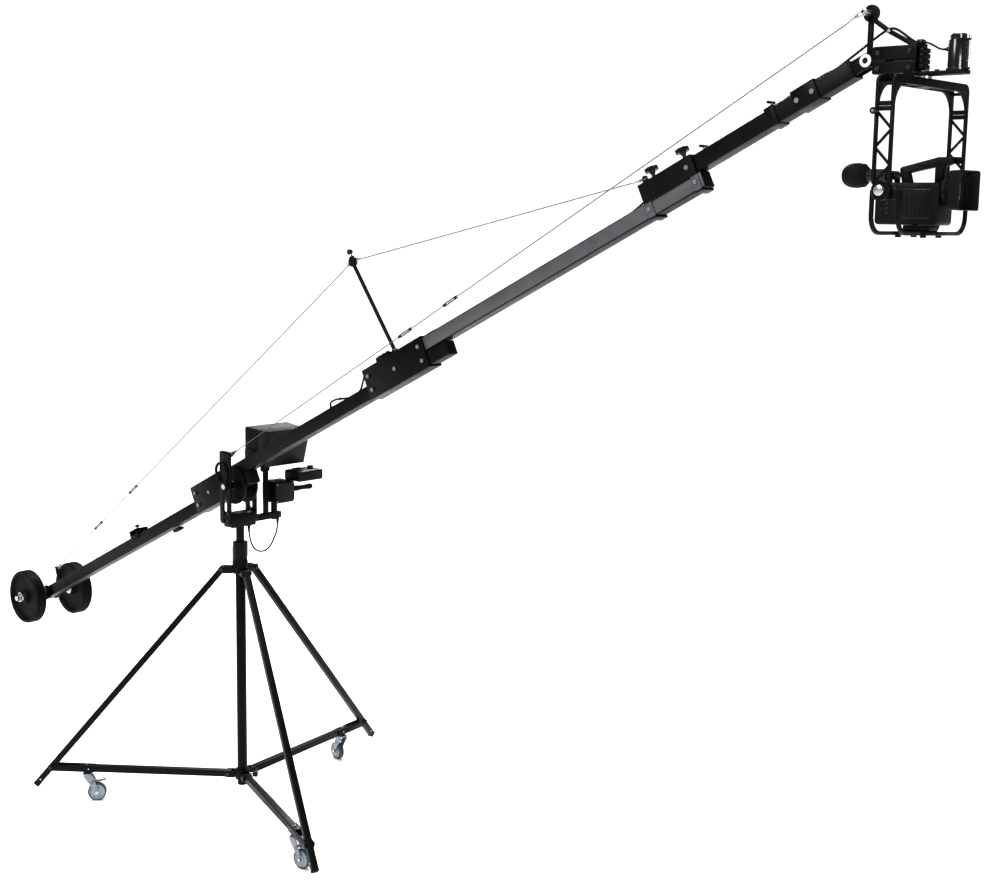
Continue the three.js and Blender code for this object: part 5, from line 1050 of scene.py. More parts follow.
@dataclass
class Casters:
    """Three swivel casters with pressed forks, tread wheels and brake pedals."""

    stem_at: float = 650.0
    trail: float = 38.0
    axle_z: float = -57.5
    radius: float = 37.5
    fork_half: float = 18.0
    fork_wall: float = 3.0
    pedal_pin: Spot = (27.0, -8.0)

    def build(self) -> None:
        """Builds all three casters."""
        for index, side in enumerate(SIDES):
            turn = Matrix.Rotation(math.radians(HEADINGS[index] - AZIMUTHS[index]), 4, "Z")
            place = spoke(index) @ Matrix.Translation((self.stem_at * MM, 0, 0)) @ turn
            self._fork(place, side)
            self._wheel(place, side)
            self._brake(place, side)

    def _fork(self, place: Matrix, side: str) -> None:
        """The pressed fork with its swivel race, stem and axle."""
        form = Form(place, ZINC)
        form.rod("z", 5, 18.2, 62, (0, 0), 0.6, 28)
        race = [(0, 17.2), (14, 17.2), (16, 18.2), (20, 18.2), (20, 20.4), (18.6, 21.4), (18.6, 23.2), (0, 23.2)]
        form.turned("z", race)
        half, axle = self.fork_half, (self.trail, self.axle_z)
        side_plate = [(-14, 22.8), (14, 22.8), (24, 10)] + arc(*axle, 9, 20, -200, 14) + [(-14, 10)]
        for low, high in both(half - self.fork_wall, half):
            form.plate("y", side_plate, low, high, [circle(*axle, 3.2, 16)], 0.7)
            form.plate("y", strap(21, -14, 6, *self.pedal_pin, 6), low, high, None, 0.7)
        form.rod("y", 4, -half, half, axle, 0.4, 24, STEEL)
        form.rod("y", 3, -half, half, self.pedal_pin, 0.4, 20, STEEL)
        form.skin(f"caster_fork_{side}", f"caster_{side}", "zinc")
        heads = HexHeads(place, 12.0, 4.3)
        heads.put((0, 0, 58.8), (0, 0, 1))
        for way in (-1, 1):
            heads.put((self.trail, way * half, self.axle_z), (0, way, 0))
        heads.build(f"caster_{side}_bolts", f"caster_{side}", STEEL)

    def _wheel(self, place: Matrix, side: str) -> None:
        """A tread on a pale centre with a raised rim and hub."""
        form = Form(place, TREAD)
        at, corner = (self.trail, self.axle_z), 2.5
        middle, turns = self.radius - corner, [math.radians(d) for d in range(0, 91, 30)]
        tread = [(31, -11)] + [(middle + corner * math.sin(a), -9.5 - corner * math.cos(a)) for a in turns]
        centre = [(4.3, -13.5), (14, -13.5), (15, -12.5), (15, -6), (27, -5), (29, -10), (31.5, -11)]
        bush = [(4.3, -13.9), (8.5, -13.9), (9, -13.4)]
        for half, sides, finish in ((tread, 72, TREAD), (centre, 72, NYLON), (bush, 40, ZINC)):
            form.turned("y", half + [(x, -y) for x, y in reversed(half)], at, sides, True, finish)
        form.skin(f"caster_wheel_{side}", f"wheel_{side}", "wheel_tread")

    def _brake(self, place: Matrix, side: str) -> None:
        """The pressed brake pedal with a ribbed tread end."""
        form = Form(place, ZINC)
        half, x0 = 10.0, self.pedal_pin[0]
        form.rod("y", 6, -half, half, self.pedal_pin, 0.8, 32)
        tongue = [(x0, -14), (51, -14), (75, -7), (75, -3.5), (51, -10.5), (x0, -10.5)]
        form.plate("y", tongue, -half, half)
        for x in (66, 70, 74):
            z = -7 + (x - 75) * 7 / 24 + 3.2
            form.rod("y", 0.9, 1 - half, half - 1, (x - 0.6, z), 0.3, 12)
        form.skin(f"caster_brake_{side}", f"brake_{side}", "zinc")


@dataclass
class TurningFork:
    """The fork on the mast: base, two cheeks, tilt axle and the loop-shaped lock handle."""

    inner: float = 60.0
    wall: float = 8.0
    base_top: float = 1142.0
    level_pin: Spot = (0.0, PIVOT + LEVEL_HEIGHT)
    gland: Spot = (0.0, 45.0)
    loop_reach: float = 56.0
    loop_lean: float = -24.0

    def build(self) -> None:
        """Builds the fork."""
        base = Form(CRANE, COAT)
        half, seat = self.inner - GAP, MAST_TOP + GAP
        base.plate("z", rounded(-30, 30, -half, half, 6), seat, self.base_top, None, 1.5)
        race = [(11.3, seat), (24, seat), (24, seat + 0.3), (26, seat + 0.6), (26, seat + 3.7), (11.3, seat + 3.7)]
        base.turned("z", race, ring=True, finish=STEEL)
        base.turned("z", [(0, 1077), (6.5, 1077), (8, 1079), (8, 1084), (10.5, 1084.5), (10.5, 1087.5), (0, 1087.5)],
                    self.gland, 24, finish=RUBBER)
        base.skin("fork_base", "fork")
        heads = HexHeads(CRANE, 14.0, 4.3)
        for way, side in ((-1, "near"), (1, "far")):
            self._cheek(way, side)
            for z in (1113.0, 1146.5):
                for x in (-21.0, 12.5):
                    heads.put((x, way * (self.inner + self.wall), z), (0, way, 0))
        heads.build("fork_bolts", "fork", OXIDE)
        self._axle()
        self._handle()

    def _cheek(self, way: int, side: str) -> None:
        """A cheek plate with its pivot bore and window; the near one carries the level pin."""
        form = Form(CRANE, COAT)
        low, high = (self.inner, self.inner + self.wall) if way > 0 else (-self.inner - self.wall, -self.inner)
        holes = [rounded(-18.5, 1.5, 1149, 1199, 9.5), circle(0, PIVOT, 8.4, 32)]
        form.plate("y", rounded(-42, 25, 1100, 1395, 14, 10), low, high, holes, 1.2)
        if way < 0:
            start, end = -self.inner - GAP, -34
            form.rod("y", 4, start, end, self.level_pin, 0.5, 28, STEEL)
            form.rod("y", 8, start, -46.3, self.level_pin, 0.8, 32, STEEL)
            form.rod("y", 7.5, -37.7, end, self.level_pin, 0.8, 6, STEEL)
        form.skin(f"fork_cheek_{side}", "fork")

    def _axle(self) -> None:
        """The tilt axle with its spacers and heads."""
        form = Form(CRANE, STEEL)
        at = (0, PIVOT)
        form.rod("y", 8, -84.6, 75, at, 1.0)
        form.rod("y", 12, -84.6, -77.6, at, 1.4, 6)
        form.rod("y", 9.5, -84.7, -77.6, at, 1.6, 40)
        form.rod("y", 12, 68.3, 75, at, 1.4, 6)
        for low, high in both(SLEEVE_OUT + GAP, self.inner - GAP):
            form.rod("y", 14, low, high, at, 1.0, 48, COAT)
        form.skin("tilt_axle", "fork", "bright_steel")

    def _handle(self) -> None:
        """The oval loop that locks the tilt, leaning back from the axle."""
        lean = Matrix.Translation((0, 0, PIVOT)) @ Matrix.Rotation(math.radians(self.loop_lean), 4, "Y")
        form = Form(CRANE, RUBBER)
        middle, thick, face = self.loop_reach, 9.0, -(self.inner + self.wall + GAP)
        outer = rounded(-35.5, 35.5, middle - 45.5, middle + 45.5, 35.2, 14)
        inner = rounded(-24.5, 24.5, middle - 34.5, middle + 34.5, 24.2, 12)
        form.plate("y", outer, face - thick, face, [inner], 3.6, None, lean)
        hub = lathe([(8.3, -thick), (14.5, -thick), (16, -7.5), (16, -1.5), (14.5, 0), (8.3, 0)], 48, True)
        form.take(hub, lean @ Matrix.Translation((0, face, 0)) @ ROUND["y"], COAT)
        form.skin("tilt_lock_handle", "tilt_lock")


@dataclass
class Station:
    """The operator's side: joystick housing, zoom control, monitor with hood and the hanging lead."""

    stick_z: float = 1203.5
    screen_pin: Spot = (0.0, 1303.0)
    screen_y: Spot = (100.0, 310.0)
    screen_z: Spot = (1315.0, 1465.0)
    hood_reach: float = 72.0
    lead_route: tuple[Point, ...] = (
        (0, 45, 1076.7), (0, 45, 1062), (0, 46.5, 1046), (0, 51, 1024), (0, 60, 1000), (0, 73, 981),
        (0, 90, 969), (0, 110, 964), (0, 130, 966), (0, 148, 975), (0, 164, 991), (0, 176, 1012),
        (0, 188, 1036), (0, 192.5, 1058), (0, 194, 1075), (0, 194, 1094.7),
    )

    def build(self) -> None:
        """Builds the station."""
        self._lead()
        self._housing()
        self._stick()
        self._zoom()
        self._monitor()
        self._hood()

    def _lead(self) -> None:
        """The lead that hangs from the fork's gland and comes up into the arm."""
        points = smooth_path(list(self.lead_route), 8)
        form = Form(CRANE, JACKET)
        form.sweep(points, LEAD_RADIUS, 16)
        piece = form.build("control_lead_jacket", "fork", "lead_rubber", ("control_lead",))
        boots = Form(CRANE, RUBBER)
        for x, y, seat in ((0, 45, 1084), (0, 194, 1095.2)):
            boots.turned("z", self._boot(seat), (x, y), 28, True)
        relief = boots.build("control_lead_boots", "fork", "lead_rubber")

    @staticmethod
    def _boot(seat: float) -> Outline:
        """A tapered strain relief with three grooves, from its seat down the lead."""
        bore, grooves, pitch, length = LEAD_RADIUS - 0.2, 3, 6, 28
        profile = [(bore, seat), (8.0, seat), (8.0, seat - 3), (6.8, seat - 4)]
        for i in range(grooves):
            at, wide = seat - (8 + pitch * i), 6.6 - 0.8 * i
            profile += [(wide, at), (wide - 1.2, at - 0.8), (wide - 1.2, at - 2.2), (wide - 0.2, at - 3)]
        return profile + [(4.3, seat - length), (bore, seat - length)]

    def _housing(self) -> None:
        """The arm, the box with its cover, switches and collar, and the upright."""
        form = Form(CRANE, ABS)
        form.block(-12, 12, 68.3, 205, 1095, 1101, 1.0, COAT)
        form.block(-12, 12, 76, 205, 1101, 1120, 1.5, COAT)
        form.rod("z", 13, 1090, 1161, (0, 176), 1.5, 40, COAT)
        form.plate("x", rounded(150, 250, 1160, 1247, 10, 8), -42, 42, None, 2.5)
        for low, high in ((-45, -42.6), (42.6, 45)):
            form.plate("x", rounded(152, 248, 1162, 1245, 9, 8), low, high, None, 1.0, GREY_ABS)
        for x in (-45.2, 44.2):
            for y, z in ((158, 1168), (242, 1168), (158, 1239), (242, 1239)):
                form.rod("x", 2.4, x, x + 1.0, (y, z), 0.3, 16, STEEL)
        pin = self.screen_pin
        form.plate("y", strap(0, 1120, 10, *pin, 10, 16), 125, 140, [circle(*pin, 4.4, 24)], 1.2, COAT)
        form.block(-10, 10, 139, 151, 1170, 1237, 1.0, COAT)
        form.turned("y", [(8.8, 249), (16, 249), (16, 251), (13, 255), (8.8, 255)], (0, self.stick_z), 40, True, RUBBER)
        for x in (-26, -13, 13, 26):
            form.rod("y", 3.0, 249.5, 252.2, (x, 1178), 0.5, 20, SMOOTH)
        form.rod("z", 5, 1246, 1249.8, (-24, 176), 0.6, 24, STEEL)
        form.rod("z", 2, 1249, 1262, (-24, 176), 0.6, 16, STEEL)
        form.skin("joystick_box", "fork", "black_plastic")

    def _stick(self) -> None:
        """The joystick with its waisted rubber grip."""
        form = Form(CRANE, RUBBER)
        ball = [(8.2 * math.cos(a), 252.5 + 8.2 * math.sin(a)) for a in (math.radians(d) for d in range(-90, 53, 12))]
        grip = [
            (5, 262), (5, 279), (8, 281), (9.6, 285), (11, 287), (11.9, 292), (11.2, 302), (9.8, 318),
            (9.6, 334), (10.8, 350), (11.9, 362), (11.4, 371), (9, 376.5), (4, 378), (0, 378),
        ]
        form.turned("y", ball + grip, (0, self.stick_z), 40)
        form.rod("y", 5.2, 376.5, 377.9, (0, self.stick_z), 0.5, 24, SMOOTH)
        form.skin("joystick_lever", "joystick", "lead_rubber")

    def _zoom(self) -> None:
        """The zoom and focus control: a rounded case with a knurled dial, keys and a rocker."""
        form = Form(CRANE, ABS)
        form.plate("x", rounded(215, 345, 1251, 1293, 9, 8), 20, 110, None, 4.0)
        form.block(20, 39, 224, 240, 1247.3, 1252, 0.5, COAT)
        dial = [(0, 1292), (12, 1292), (12, 1303.5), (10.8, 1305), (0, 1305)]
        x, y, ridges, reach = 65, 315, 24, 11.7
        form.turned("z", dial, (x, y), 48, finish=SMOOTH)
        for i in range(ridges):
            angle = 2 * math.pi * i / ridges
            at = (x + reach * math.cos(angle), y + reach * math.sin(angle))
            form.rod("z", 0.55, 1294, 1303, at, 0.2, 6, SMOOTH)
        for i, y in enumerate((236, 250, 264, 278)):
            form.block(50, 60, y, y + 9, 1292.4, 1294.2, 0.8, GREY_ABS if i % 2 else SMOOTH)
            form.block(70, 80, y, y + 9, 1292.4, 1294.2, 0.8, SMOOTH)
        form.block(24, 44, 250, 290, 1292.4, 1295.6, 1.4, RUBBER)
        form.skin("zoom_control", "fork", "black_plastic")

    def _monitor(self) -> None:
        """The monitor: slanted back with vents, recessed screen, keys, and its hinge brackets."""
        form = Form(CRANE, GREY_ABS)
        (y0, y1), (z0, z1) = self.screen_y, self.screen_z
        side = [(-5.5, z0), (32, z0), (70, z1 - 14), (70, z1), (-5.5, z1)]
        form.plate("y", side, y0, y1, None, 3.0)
        opening = rounded(y0 + 14, y1 - 14, z0 + 18, z1 - 14, 2, 3)
        form.plate("x", rounded(y0, y1, z0, z1, 4, 4), -8, -3.5, [opening], 0.8, ABS)
        form.plate("x", rounded(y0 + 13, y1 - 13, z0 + 17, z1 - 13, 2, 3), -6.6, -5.2, None, 0.3, SCREEN)
        for i in range(6):
            form.block(-8.3, -7.6, 200 + i * 14, 208 + i * 14, 1321, 1326, 0.3, SMOOTH)
        for low, high in ((112.5, 124.5), (140.5, 146.5)):
            form.plate("y", strap(*self.screen_pin, 10, 2.3, 1318, 10, 14), low, high, None, 1.0, COAT)
        form.rod("y", 4, 112.5, 146.5, self.screen_pin, 0.5, 24, STEEL)
        for i in range(9):
            y = 122 + i * 21
            form.block(30, 68, y, y + 9, 1464.6, 1465.0, 0.15, SMOOTH)
        for y in (112, 298):
            form.rod("x", 3.2, 60, 69.6, (y, 1458), 0.6, 20, STEEL)
        form.skin("monitor_body", "monitor", "grey_plastic")

    def _hood(self) -> None:
        """The monitor's hood, which widens towards its open mouth."""
        form = Form(CRANE, ABS)
        (y0, y1), (z0, z1) = self.screen_y, self.screen_z
        wall, flare, seat = 3, 6, -8.3
        mouth = seat - self.hood_reach
        outer = [
            (rounded(y0 - flare, y1 + flare, z0, z1 + flare, 5, 3), mouth),
            (rounded(y0, y1, z0, z1, 4, 3), seat),
        ]
        inner = [
            (rounded(y0 - flare + wall, y1 + flare - wall, z0 + wall, z1 + flare - wall, 3, 3), mouth),
            (rounded(y0 + wall, y1 - wall, z0 + wall, z1 - wall, 2.5, 3), seat),
        ]
        form.take(shell(outer, inner), FLAT["x"])
        form.skin("monitor_hood", "monitor", "black_plastic")


class Clamp(Enum):
    """Which of the boom's three joint clamps."""

    REAR = "rear"
    MID = "mid"
    FRONT = "front"


@dataclass
class Boom:
    """The boom's four tubes, three clamps, knobs, king post and the lead along it."""

    wall: float = 3.0
    plug: float = 23.2
    band: float = 26.0
    knob_places: Spot = (2338.0, 2462.0)
    bolts: HexHeads = field(default_factory=lambda: HexHeads(BOOM, 14.0, 5.0))

    def build(self) -> None:
        """Builds the boom."""
        self._tubes()
        self._clamps()
        self._knobs()
        self._king_post()
        self._lead()
        self.bolts.build("boom_bolts", "boom", ZINC)

    def _square(self, form: Form, start: float, end: float, row: float) -> None:
        """A square boom tube with rounded corners."""
        half, wall = TUBE_HALF, self.wall
        bore = rounded(wall - half, half - wall, row + wall - half, row + half - wall, 1.5, 3)
        form.plate("x", rounded(-half, half, row - half, row + half, 3.0, 4), start, end, [bore], 0.5)

    def _plug(self, form: Form, start: float, end: float, row: float) -> None:
        """A rubber plug in a tube's end."""
        form.block(start, end, -self.plug, self.plug, row - self.plug, row + self.plug, 1.2, RUBBER)

    @staticmethod
    def _rope_foot(form: Form, pin: Spot, seat: float) -> None:
        """Two upright tangs with the pin of a truss rope.

        Args:
            form: The form of the piece that carries them.
            pin: The pin's place along the boom and up.
            seat: The height at which the tangs start.
        """
        x, z = pin
        outline = [(x - 11, seat), (x + 11, seat), (x + 5.5, z + 11), (x - 5.5, z + 11)]
        for low, high in both(2.3, 6):
            form.plate("y", outline, low, high, None, 0.6)
        form.rod("y", 3, -6.4, 6.4, pin, 0.4, 20, STEEL)

    def _tubes(self) -> None:
        """All four tubes with their plugs and what is fixed to them."""
        rear = Form(BOOM, COAT_BOOM)
        self._square(rear, -1609.5, 100, ROWS[0])
        self._plug(rear, -1610, -1606, ROWS[0])
        self._plug(rear, 94, 99.6, ROWS[0])
        rear.block(-1500, -1448, -12.5, 12.5, 24.7, 29)
        self._rope_foot(rear, REAR_PIN, 24.7)
        rear.block(-790, -730, -31, 31, 13, 30, 1.5, COAT)
        rear.block(-790, -730, -31, 31, 46, 51, 1.2, COAT)
        for x in (-787, -737):
            rear.block(x, x + 4, -31, 31, 28, 48, 0.8, COAT)
        rear.rod("z", 5, 50, 70, (-760, 0), 0.8, 24, STEEL)
        rear.rod("z", 10, 61, 71, (-760, 0), 1.5, 6, SMOOTH)
        rear.plate("z", strap(-495, 0, 15, -465, 0, 15, 16), -45, -33, None, 4.0, RUBBER)
        rear.rod("z", 6, -34, -24.5, (-480, 0), 0.5, 24, STEEL)
        rear.skin("rear_tube", "boom")
        first = Form(BOOM, COAT_BOOM)
        self._square(first, -280, 1324.5, ROWS[1])
        self._plug(first, 1321, 1325, ROWS[1])
        gland = [(0, 76.8), (8.4, 76.8), (8.4, 80), (6.5, 84), (6.5, 88), (4.6, 91.3), (0, 91.3)]
        first.turned("z", gland, (640, 12), 24, finish=RUBBER)
        first.skin("boom_tube_1", "boom")
        second = Form(BOOM, COAT_BOOM)
        self._square(second, 920, 2509.5, ROWS[2])
        self._plug(second, 2506, 2510, ROWS[2])
        for low, high in ((-25.25, -24.2), (24.2, 25.25)):
            second.block(1232, 2509, low, high, ROWS[2] - 21.5, ROWS[2] + 21.5, 0.3, ANODISED)
        second.skin("boom_tube_2", "boom", "grey_tube")
        self._front_tube()

    def _front_tube(self) -> None:
        """The foremost tube with its collar, clamp block, T-handles and the tip clevis."""
        form = Form(BOOM, COAT_BOOM)
        z = ROWS[3]
        self._square(form, 2320, 3055, z)
        form.block(3054, 3062, -25, 25, z - 25, z + 25)
        sleeve_hole = [rounded(-24, 24, z - 24, z + 24, 2, 3)]
        form.plate("x", rounded(-31, 31, z - 28.3, z + 31, 4, 4), 2775, 2806, sleeve_hole, 1.2, COAT)
        form.plate("x", rounded(-33, 33, z - 28.3, z + 33, 5, 4), 2870, 2950, sleeve_hole, 1.5, COAT)
        for low, high in both(14, 20):
            form.plate("y", strap(3042, z, 20, TIP_ALONG, z, 20, 18), low, high, None, 1.2)
        at = (TIP_ALONG, z)
        form.rod("y", 6, -21, 21, at, 0.5, 32, STEEL)
        form.turned("y", [(8.5, -24), (16, -24), (17, -23), (17, -19.7), (8.5, -19.7)], at, 48, True, ACETAL)
        form.rod("y", 8.4, -23.4, -19.7, at, 0.8, 40, SMOOTH)
        form.rod("y", 11, 19.7, 24, at, 1.4, 6, STEEL)
        for x, base in ((2790, z + 30.7), (2535, z + 24.7)):
            form.rod("z", 4, base, base + 16, (x, 0), 0.4, 20, STEEL)
            form.rod("y", 4, -20, 20, (x, base + 16), 1.6, 24, SMOOTH)
        form.block(3033, 3047, 8, 22, z + 24.7, 190.2, 1.2, RUBBER)
        form.skin("boom_tube_3", "boom")
        for x in (2884, 2936):
            self.bolts.put((x, -33, z), (0, -1, 0))

    def _clamps(self) -> None:
        """The three joint clamps: two folded sleeves, and the cap and straps of the front one."""
        self._clamp(Clamp.REAR, -280, -50, 0, [(-256, 0), (-256, 52), (-165, 26), (-74, 0), (-74, 52)])
        self._clamp(Clamp.MID, 900, 1230, 1, [(924, 52), (924, 104), (1065, 78), (1206, 52), (1206, 104)])
        self._clamp(Clamp.FRONT, 2290, 2500, 2, [(2303, 104), (2487, 104), (2476, 156)])

    def _clamp(self, clamp: Clamp, start: float, end: float, row: int, bolts: Outline) -> None:
        """One clamp.

        Args:
            clamp: Which of the three it is.
            start: Where it starts along the boom.
            end: Where it ends.
            row: Its lower tube's row.
            bolts: Places of the bolt heads along and up.
        """
        form = Form(BOOM, COAT)
        z0, z1 = ROWS[row], ROWS[row + 1]
        if clamp is Clamp.FRONT:
            self._cap(form, start, end, z0, z1)
        else:
            outline = rounded(-SLEEVE_OUT, SLEEVE_OUT, z0 - SLEEVE_OUT, z1 + SLEEVE_OUT, 4, 4)
            hole = rounded(-SLEEVE_IN, SLEEVE_IN, z0 - SLEEVE_IN, z1 + SLEEVE_IN, 1.5, 3)
            form.plate("x", outline, start, end, [hole], 1.2)
        middle = (z0 + z1) / 2
        for side in (-1, 1):
            seam = across(side, SLEEVE_OUT - 0.4, SLEEVE_OUT + 1.4)
            form.block(start + 10, end - 10, *seam, middle - 3, middle + 3, 0.7)
        for x, z in bolts:
            self.bolts.put((x, -SLEEVE_OUT, z), (0, -1, 0))
        if clamp is Clamp.REAR:
            self._axle_discs(form)
        elif clamp is Clamp.MID:
            form.block(975, 1041, -20, 10, 135, 152.3, 2.0)
            for x in (985, 1008, 1031):
                self.bolts.put((x, -5, 152.3), (0, 0, 1))
        else:
            for x in self.knob_places:
                form.rod("z", 12, 187, 192.3, (x, 0), 0.8, 40)
            self._rope_foot(form, FRONT_PIN, 187)
        form.skin(f"joint_clamp_{clamp.value}", "boom")

    def _cap(self, form: Form, start: float, end: float, z0: float, z1: float) -> None:
        """The front clamp's cap over its upper tube, with straps down to two blocks under the lower one.

        Args:
            form: The clamp's form.
            start: Where the cap starts along the boom.
            end: Where it ends.
            z0: The lower tube's height.
            z1: The upper tube's height.
        """
        out, inner, foot = SLEEVE_OUT, SLEEVE_IN, z0 + 20
        cap = [(-out, foot), (-out, z1 + out), (out, z1 + out), (out, foot), (inner, foot), (inner, z1 + inner),
               (-inner, z1 + inner), (-inner, foot)]
        form.plate("x", cap, start, end, None, 1.0)
        for x0, x1 in ((start, start + self.band), (end - self.band, end)):
            form.block(x0, x1, -out, out, z0 - out, z0 - inner)
            for way in (-1, 1):
                side = across(way, inner + 0.2, out - 0.4)
                form.block(x0, x1, *side, z0 - inner - 0.5, foot + 0.6, 0.8, ANODISED)

    @staticmethod
    def _axle_discs(form: Form) -> None:
        """The round flanks of the rear clamp at the tilt axle: rim, disc and bright hub on both sides."""
        for way in (1, -1):
            for r0, r1, near, far, sides, finish in (
                (66, 76, SLEEVE_IN, SLEEVE_OUT + 0.9, 96, None),
                (14, 68, SLEEVE_IN + 0.4, SLEEVE_OUT - 0.4, 96, None),
                (8.4, 16, SLEEVE_IN, SLEEVE_OUT + 0.2, 48, STEEL),
            ):
                low, high = across(way, near, far)
                form.turned("y", [(r0, low), (r1, low), (r1, high), (r0, high)], (0, 0), sides, True, finish)

    def _knobs(self) -> None:
        """Two six-lobed hand knobs on the front clamp."""
        for x, side in zip(self.knob_places, ("rear", "front")):
            form = Form(BOOM, SMOOTH)
            form.rod("z", 6, 192.6, 214, (x, 0), 0.3, 28, OXIDE)
            form.turned("z", [(0, 206), (8, 206), (9, 208), (11, 216), (0, 216)], (x, 0), 40)
            form.plate("z", lobed(x, 0, 22.5, 4.5, 6), 214, 226, None, 3.2)
            form.turned("z", [(0, 225), (15, 225), (14, 228), (10, 230.4), (5, 231.4), (0, 231.5)], (x, 0), 40)
            form.skin(f"hand_knob_{side}", f"knob_{side}", "black_plastic")

    def _king_post(self) -> None:
        """The leaning king post: foot, tube, slotted head with two pins, and the ball on top."""
        form = Form(BOOM, COAT)
        x, z = KING_TOP
        form.block(1044, 1084, -10.3, 10.3, 135.6, 143.6)
        form.sweep([(1064, 0, 140), (x, 0, z - 14)], 7, 32)
        form.turned("z", [(0, 143), (12, 143), (12, 147), (8, 153), (0, 153)], (1062.5, 0), 32)
        for low, high in both(2.3, 6):
            form.plate("y", rounded(x - 19, x + 19, z - 14, z + 14, 12, 8), low, high, None, 0.6)
        form.block(x - 10, x + 10, -5.6, 5.6, z - 16, z - 9, 0.8)
        form.block(x - 10, x + 10, -5.6, 5.6, z + 9.4, z + 20, 0.8)
        for shift in (-KING_PIN, KING_PIN):
            form.rod("y", 3, -6.4, 6.4, (x + shift, z), 0.4, 20, OXIDE)
        ball = [(11 * math.cos(a), 559 + 11 * math.sin(a)) for a in (math.radians(d) for d in range(-90, 91, 9))]
        form.turned("z", ball, (x, 0), 40, finish=SMOOTH)
        form.rod("z", 5, 539, 552, (x, 0), 0.4, 24, STEEL)
        form.skin("king_post", "boom")
        for y in (-6, 6):
            self.bolts.put((1074 if y < 0 else 1052, y, 143.6), (0, 0, 1))

    def _lead(self) -> None:
        """The power lead: it runs along the boom, bends over the tip's pin and ends at the head's connector box."""
        route = [
            (640, 12, 91.6), (640, 12, 99), (648, 12.5, 105), (668, 13, 106), (700, 14, 99), (740, 16, 87),
            (790, 18, 83), (820, 18, 94), (840, 19, 115), (860, 20, 134), (880, 21, 142), (920, 22, 142.5),
            (1000, 25, 140.5), (1060, 26, 140.5), (1150, 25, 140.5), (1215, 22, 142), (1250, 21, 142), (1280, 20, 139),
            (1330, 18, 134.5), (1600, 16, 134), (1900, 15, 134), (2080, 17, 134), (2160, 24, 137), (2220, 33, 148),
            (2270, 38.5, 160), (2340, 39, 176), (2500, 38.5, 185), (2560, 30, 188), (2640, 19, 187), (2720, 20, 189),
            (2755, 22, 195), (2810, 23, 195.5), (2850, 21, 196.5), (2910, 20, 196.5), (2965, 18, 196),
        ]
        over_the_tip = [
            (-112, 16, -15), (-74, 17, 9), (-34, 19, 36), (2, 20, 61), (28, 19, 76), (48, 17, 83.5), (66, 14, 82),
            (88, 11.5, 70), (108, 11, 56), (124, 12, 46), (134.5, 13, 42),
        ]
        to_head = HEAD.inverted() @ BOOM
        joined = [tuple((to_head @ (Vector(p) * MM)) / MM) for p in route] + over_the_tip
        form = Form(HEAD, JACKET)
        form.sweep(smooth_path(joined, 5), LEAD_RADIUS, 14)
        piece = form.build("boom_lead_jacket", "", "lead_rubber", ("boom_lead", "head_lead"))
        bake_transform(piece)
        ties = Form(BOOM, SMOOTH)
        for x, y, z in ((1600, 16, 134), (1900, 15, 134), (2080, 17, 134), (700, 14, 99)):
            ties.block(x - 2, x + 2, y - 5, y + 5, z - 5, z + 5, 1.2)
        ties.build("boom_lead_ties", "boom", "lead_rubber")


@dataclass
class Rigging:
    """The truss ropes over the king post and the levelling rope beside the boom."""

    def build(self) -> None:
        """Builds the three ropes."""
        x, z = KING_TOP
        self._stay("truss_cable_rear", (x - KING_PIN, z), REAR_PIN, (0.69, 0.825))
        self._stay("truss_cable_front", (x + KING_PIN, z), FRONT_PIN, ())
        reach, rise = TIP.x / MM, TIP.z / MM - PIVOT
        place = Matrix.Translation((0, LEVEL_OUT * MM, (PIVOT + LEVEL_HEIGHT) * MM)) @ Matrix.Rotation(
            -math.atan2(rise, reach), 4, "Y"
        )
        rope = WireRope(place, math.hypot(reach, rise), 0, 1.8, 10, 4, 4.3, shares=(0.362, 0.442))
        rope.build("level_cable", "level_rod", "level_cable")

    def _stay(self, name: str, start: Spot, end: Spot, shares: tuple[float, ...]) -> None:
        """One truss rope between two pins of the boom's plane."""
        dx, dz = end[0] - start[0], end[1] - start[1]
        place = BOOM @ Matrix.Translation((start[0] * MM, 0, start[1] * MM)) @ Matrix.Rotation(
            -math.atan2(dz, dx), 4, "Y"
        )
        WireRope(place, math.hypot(dx, dz), 0, shares=shares).build(name, "boom", name)


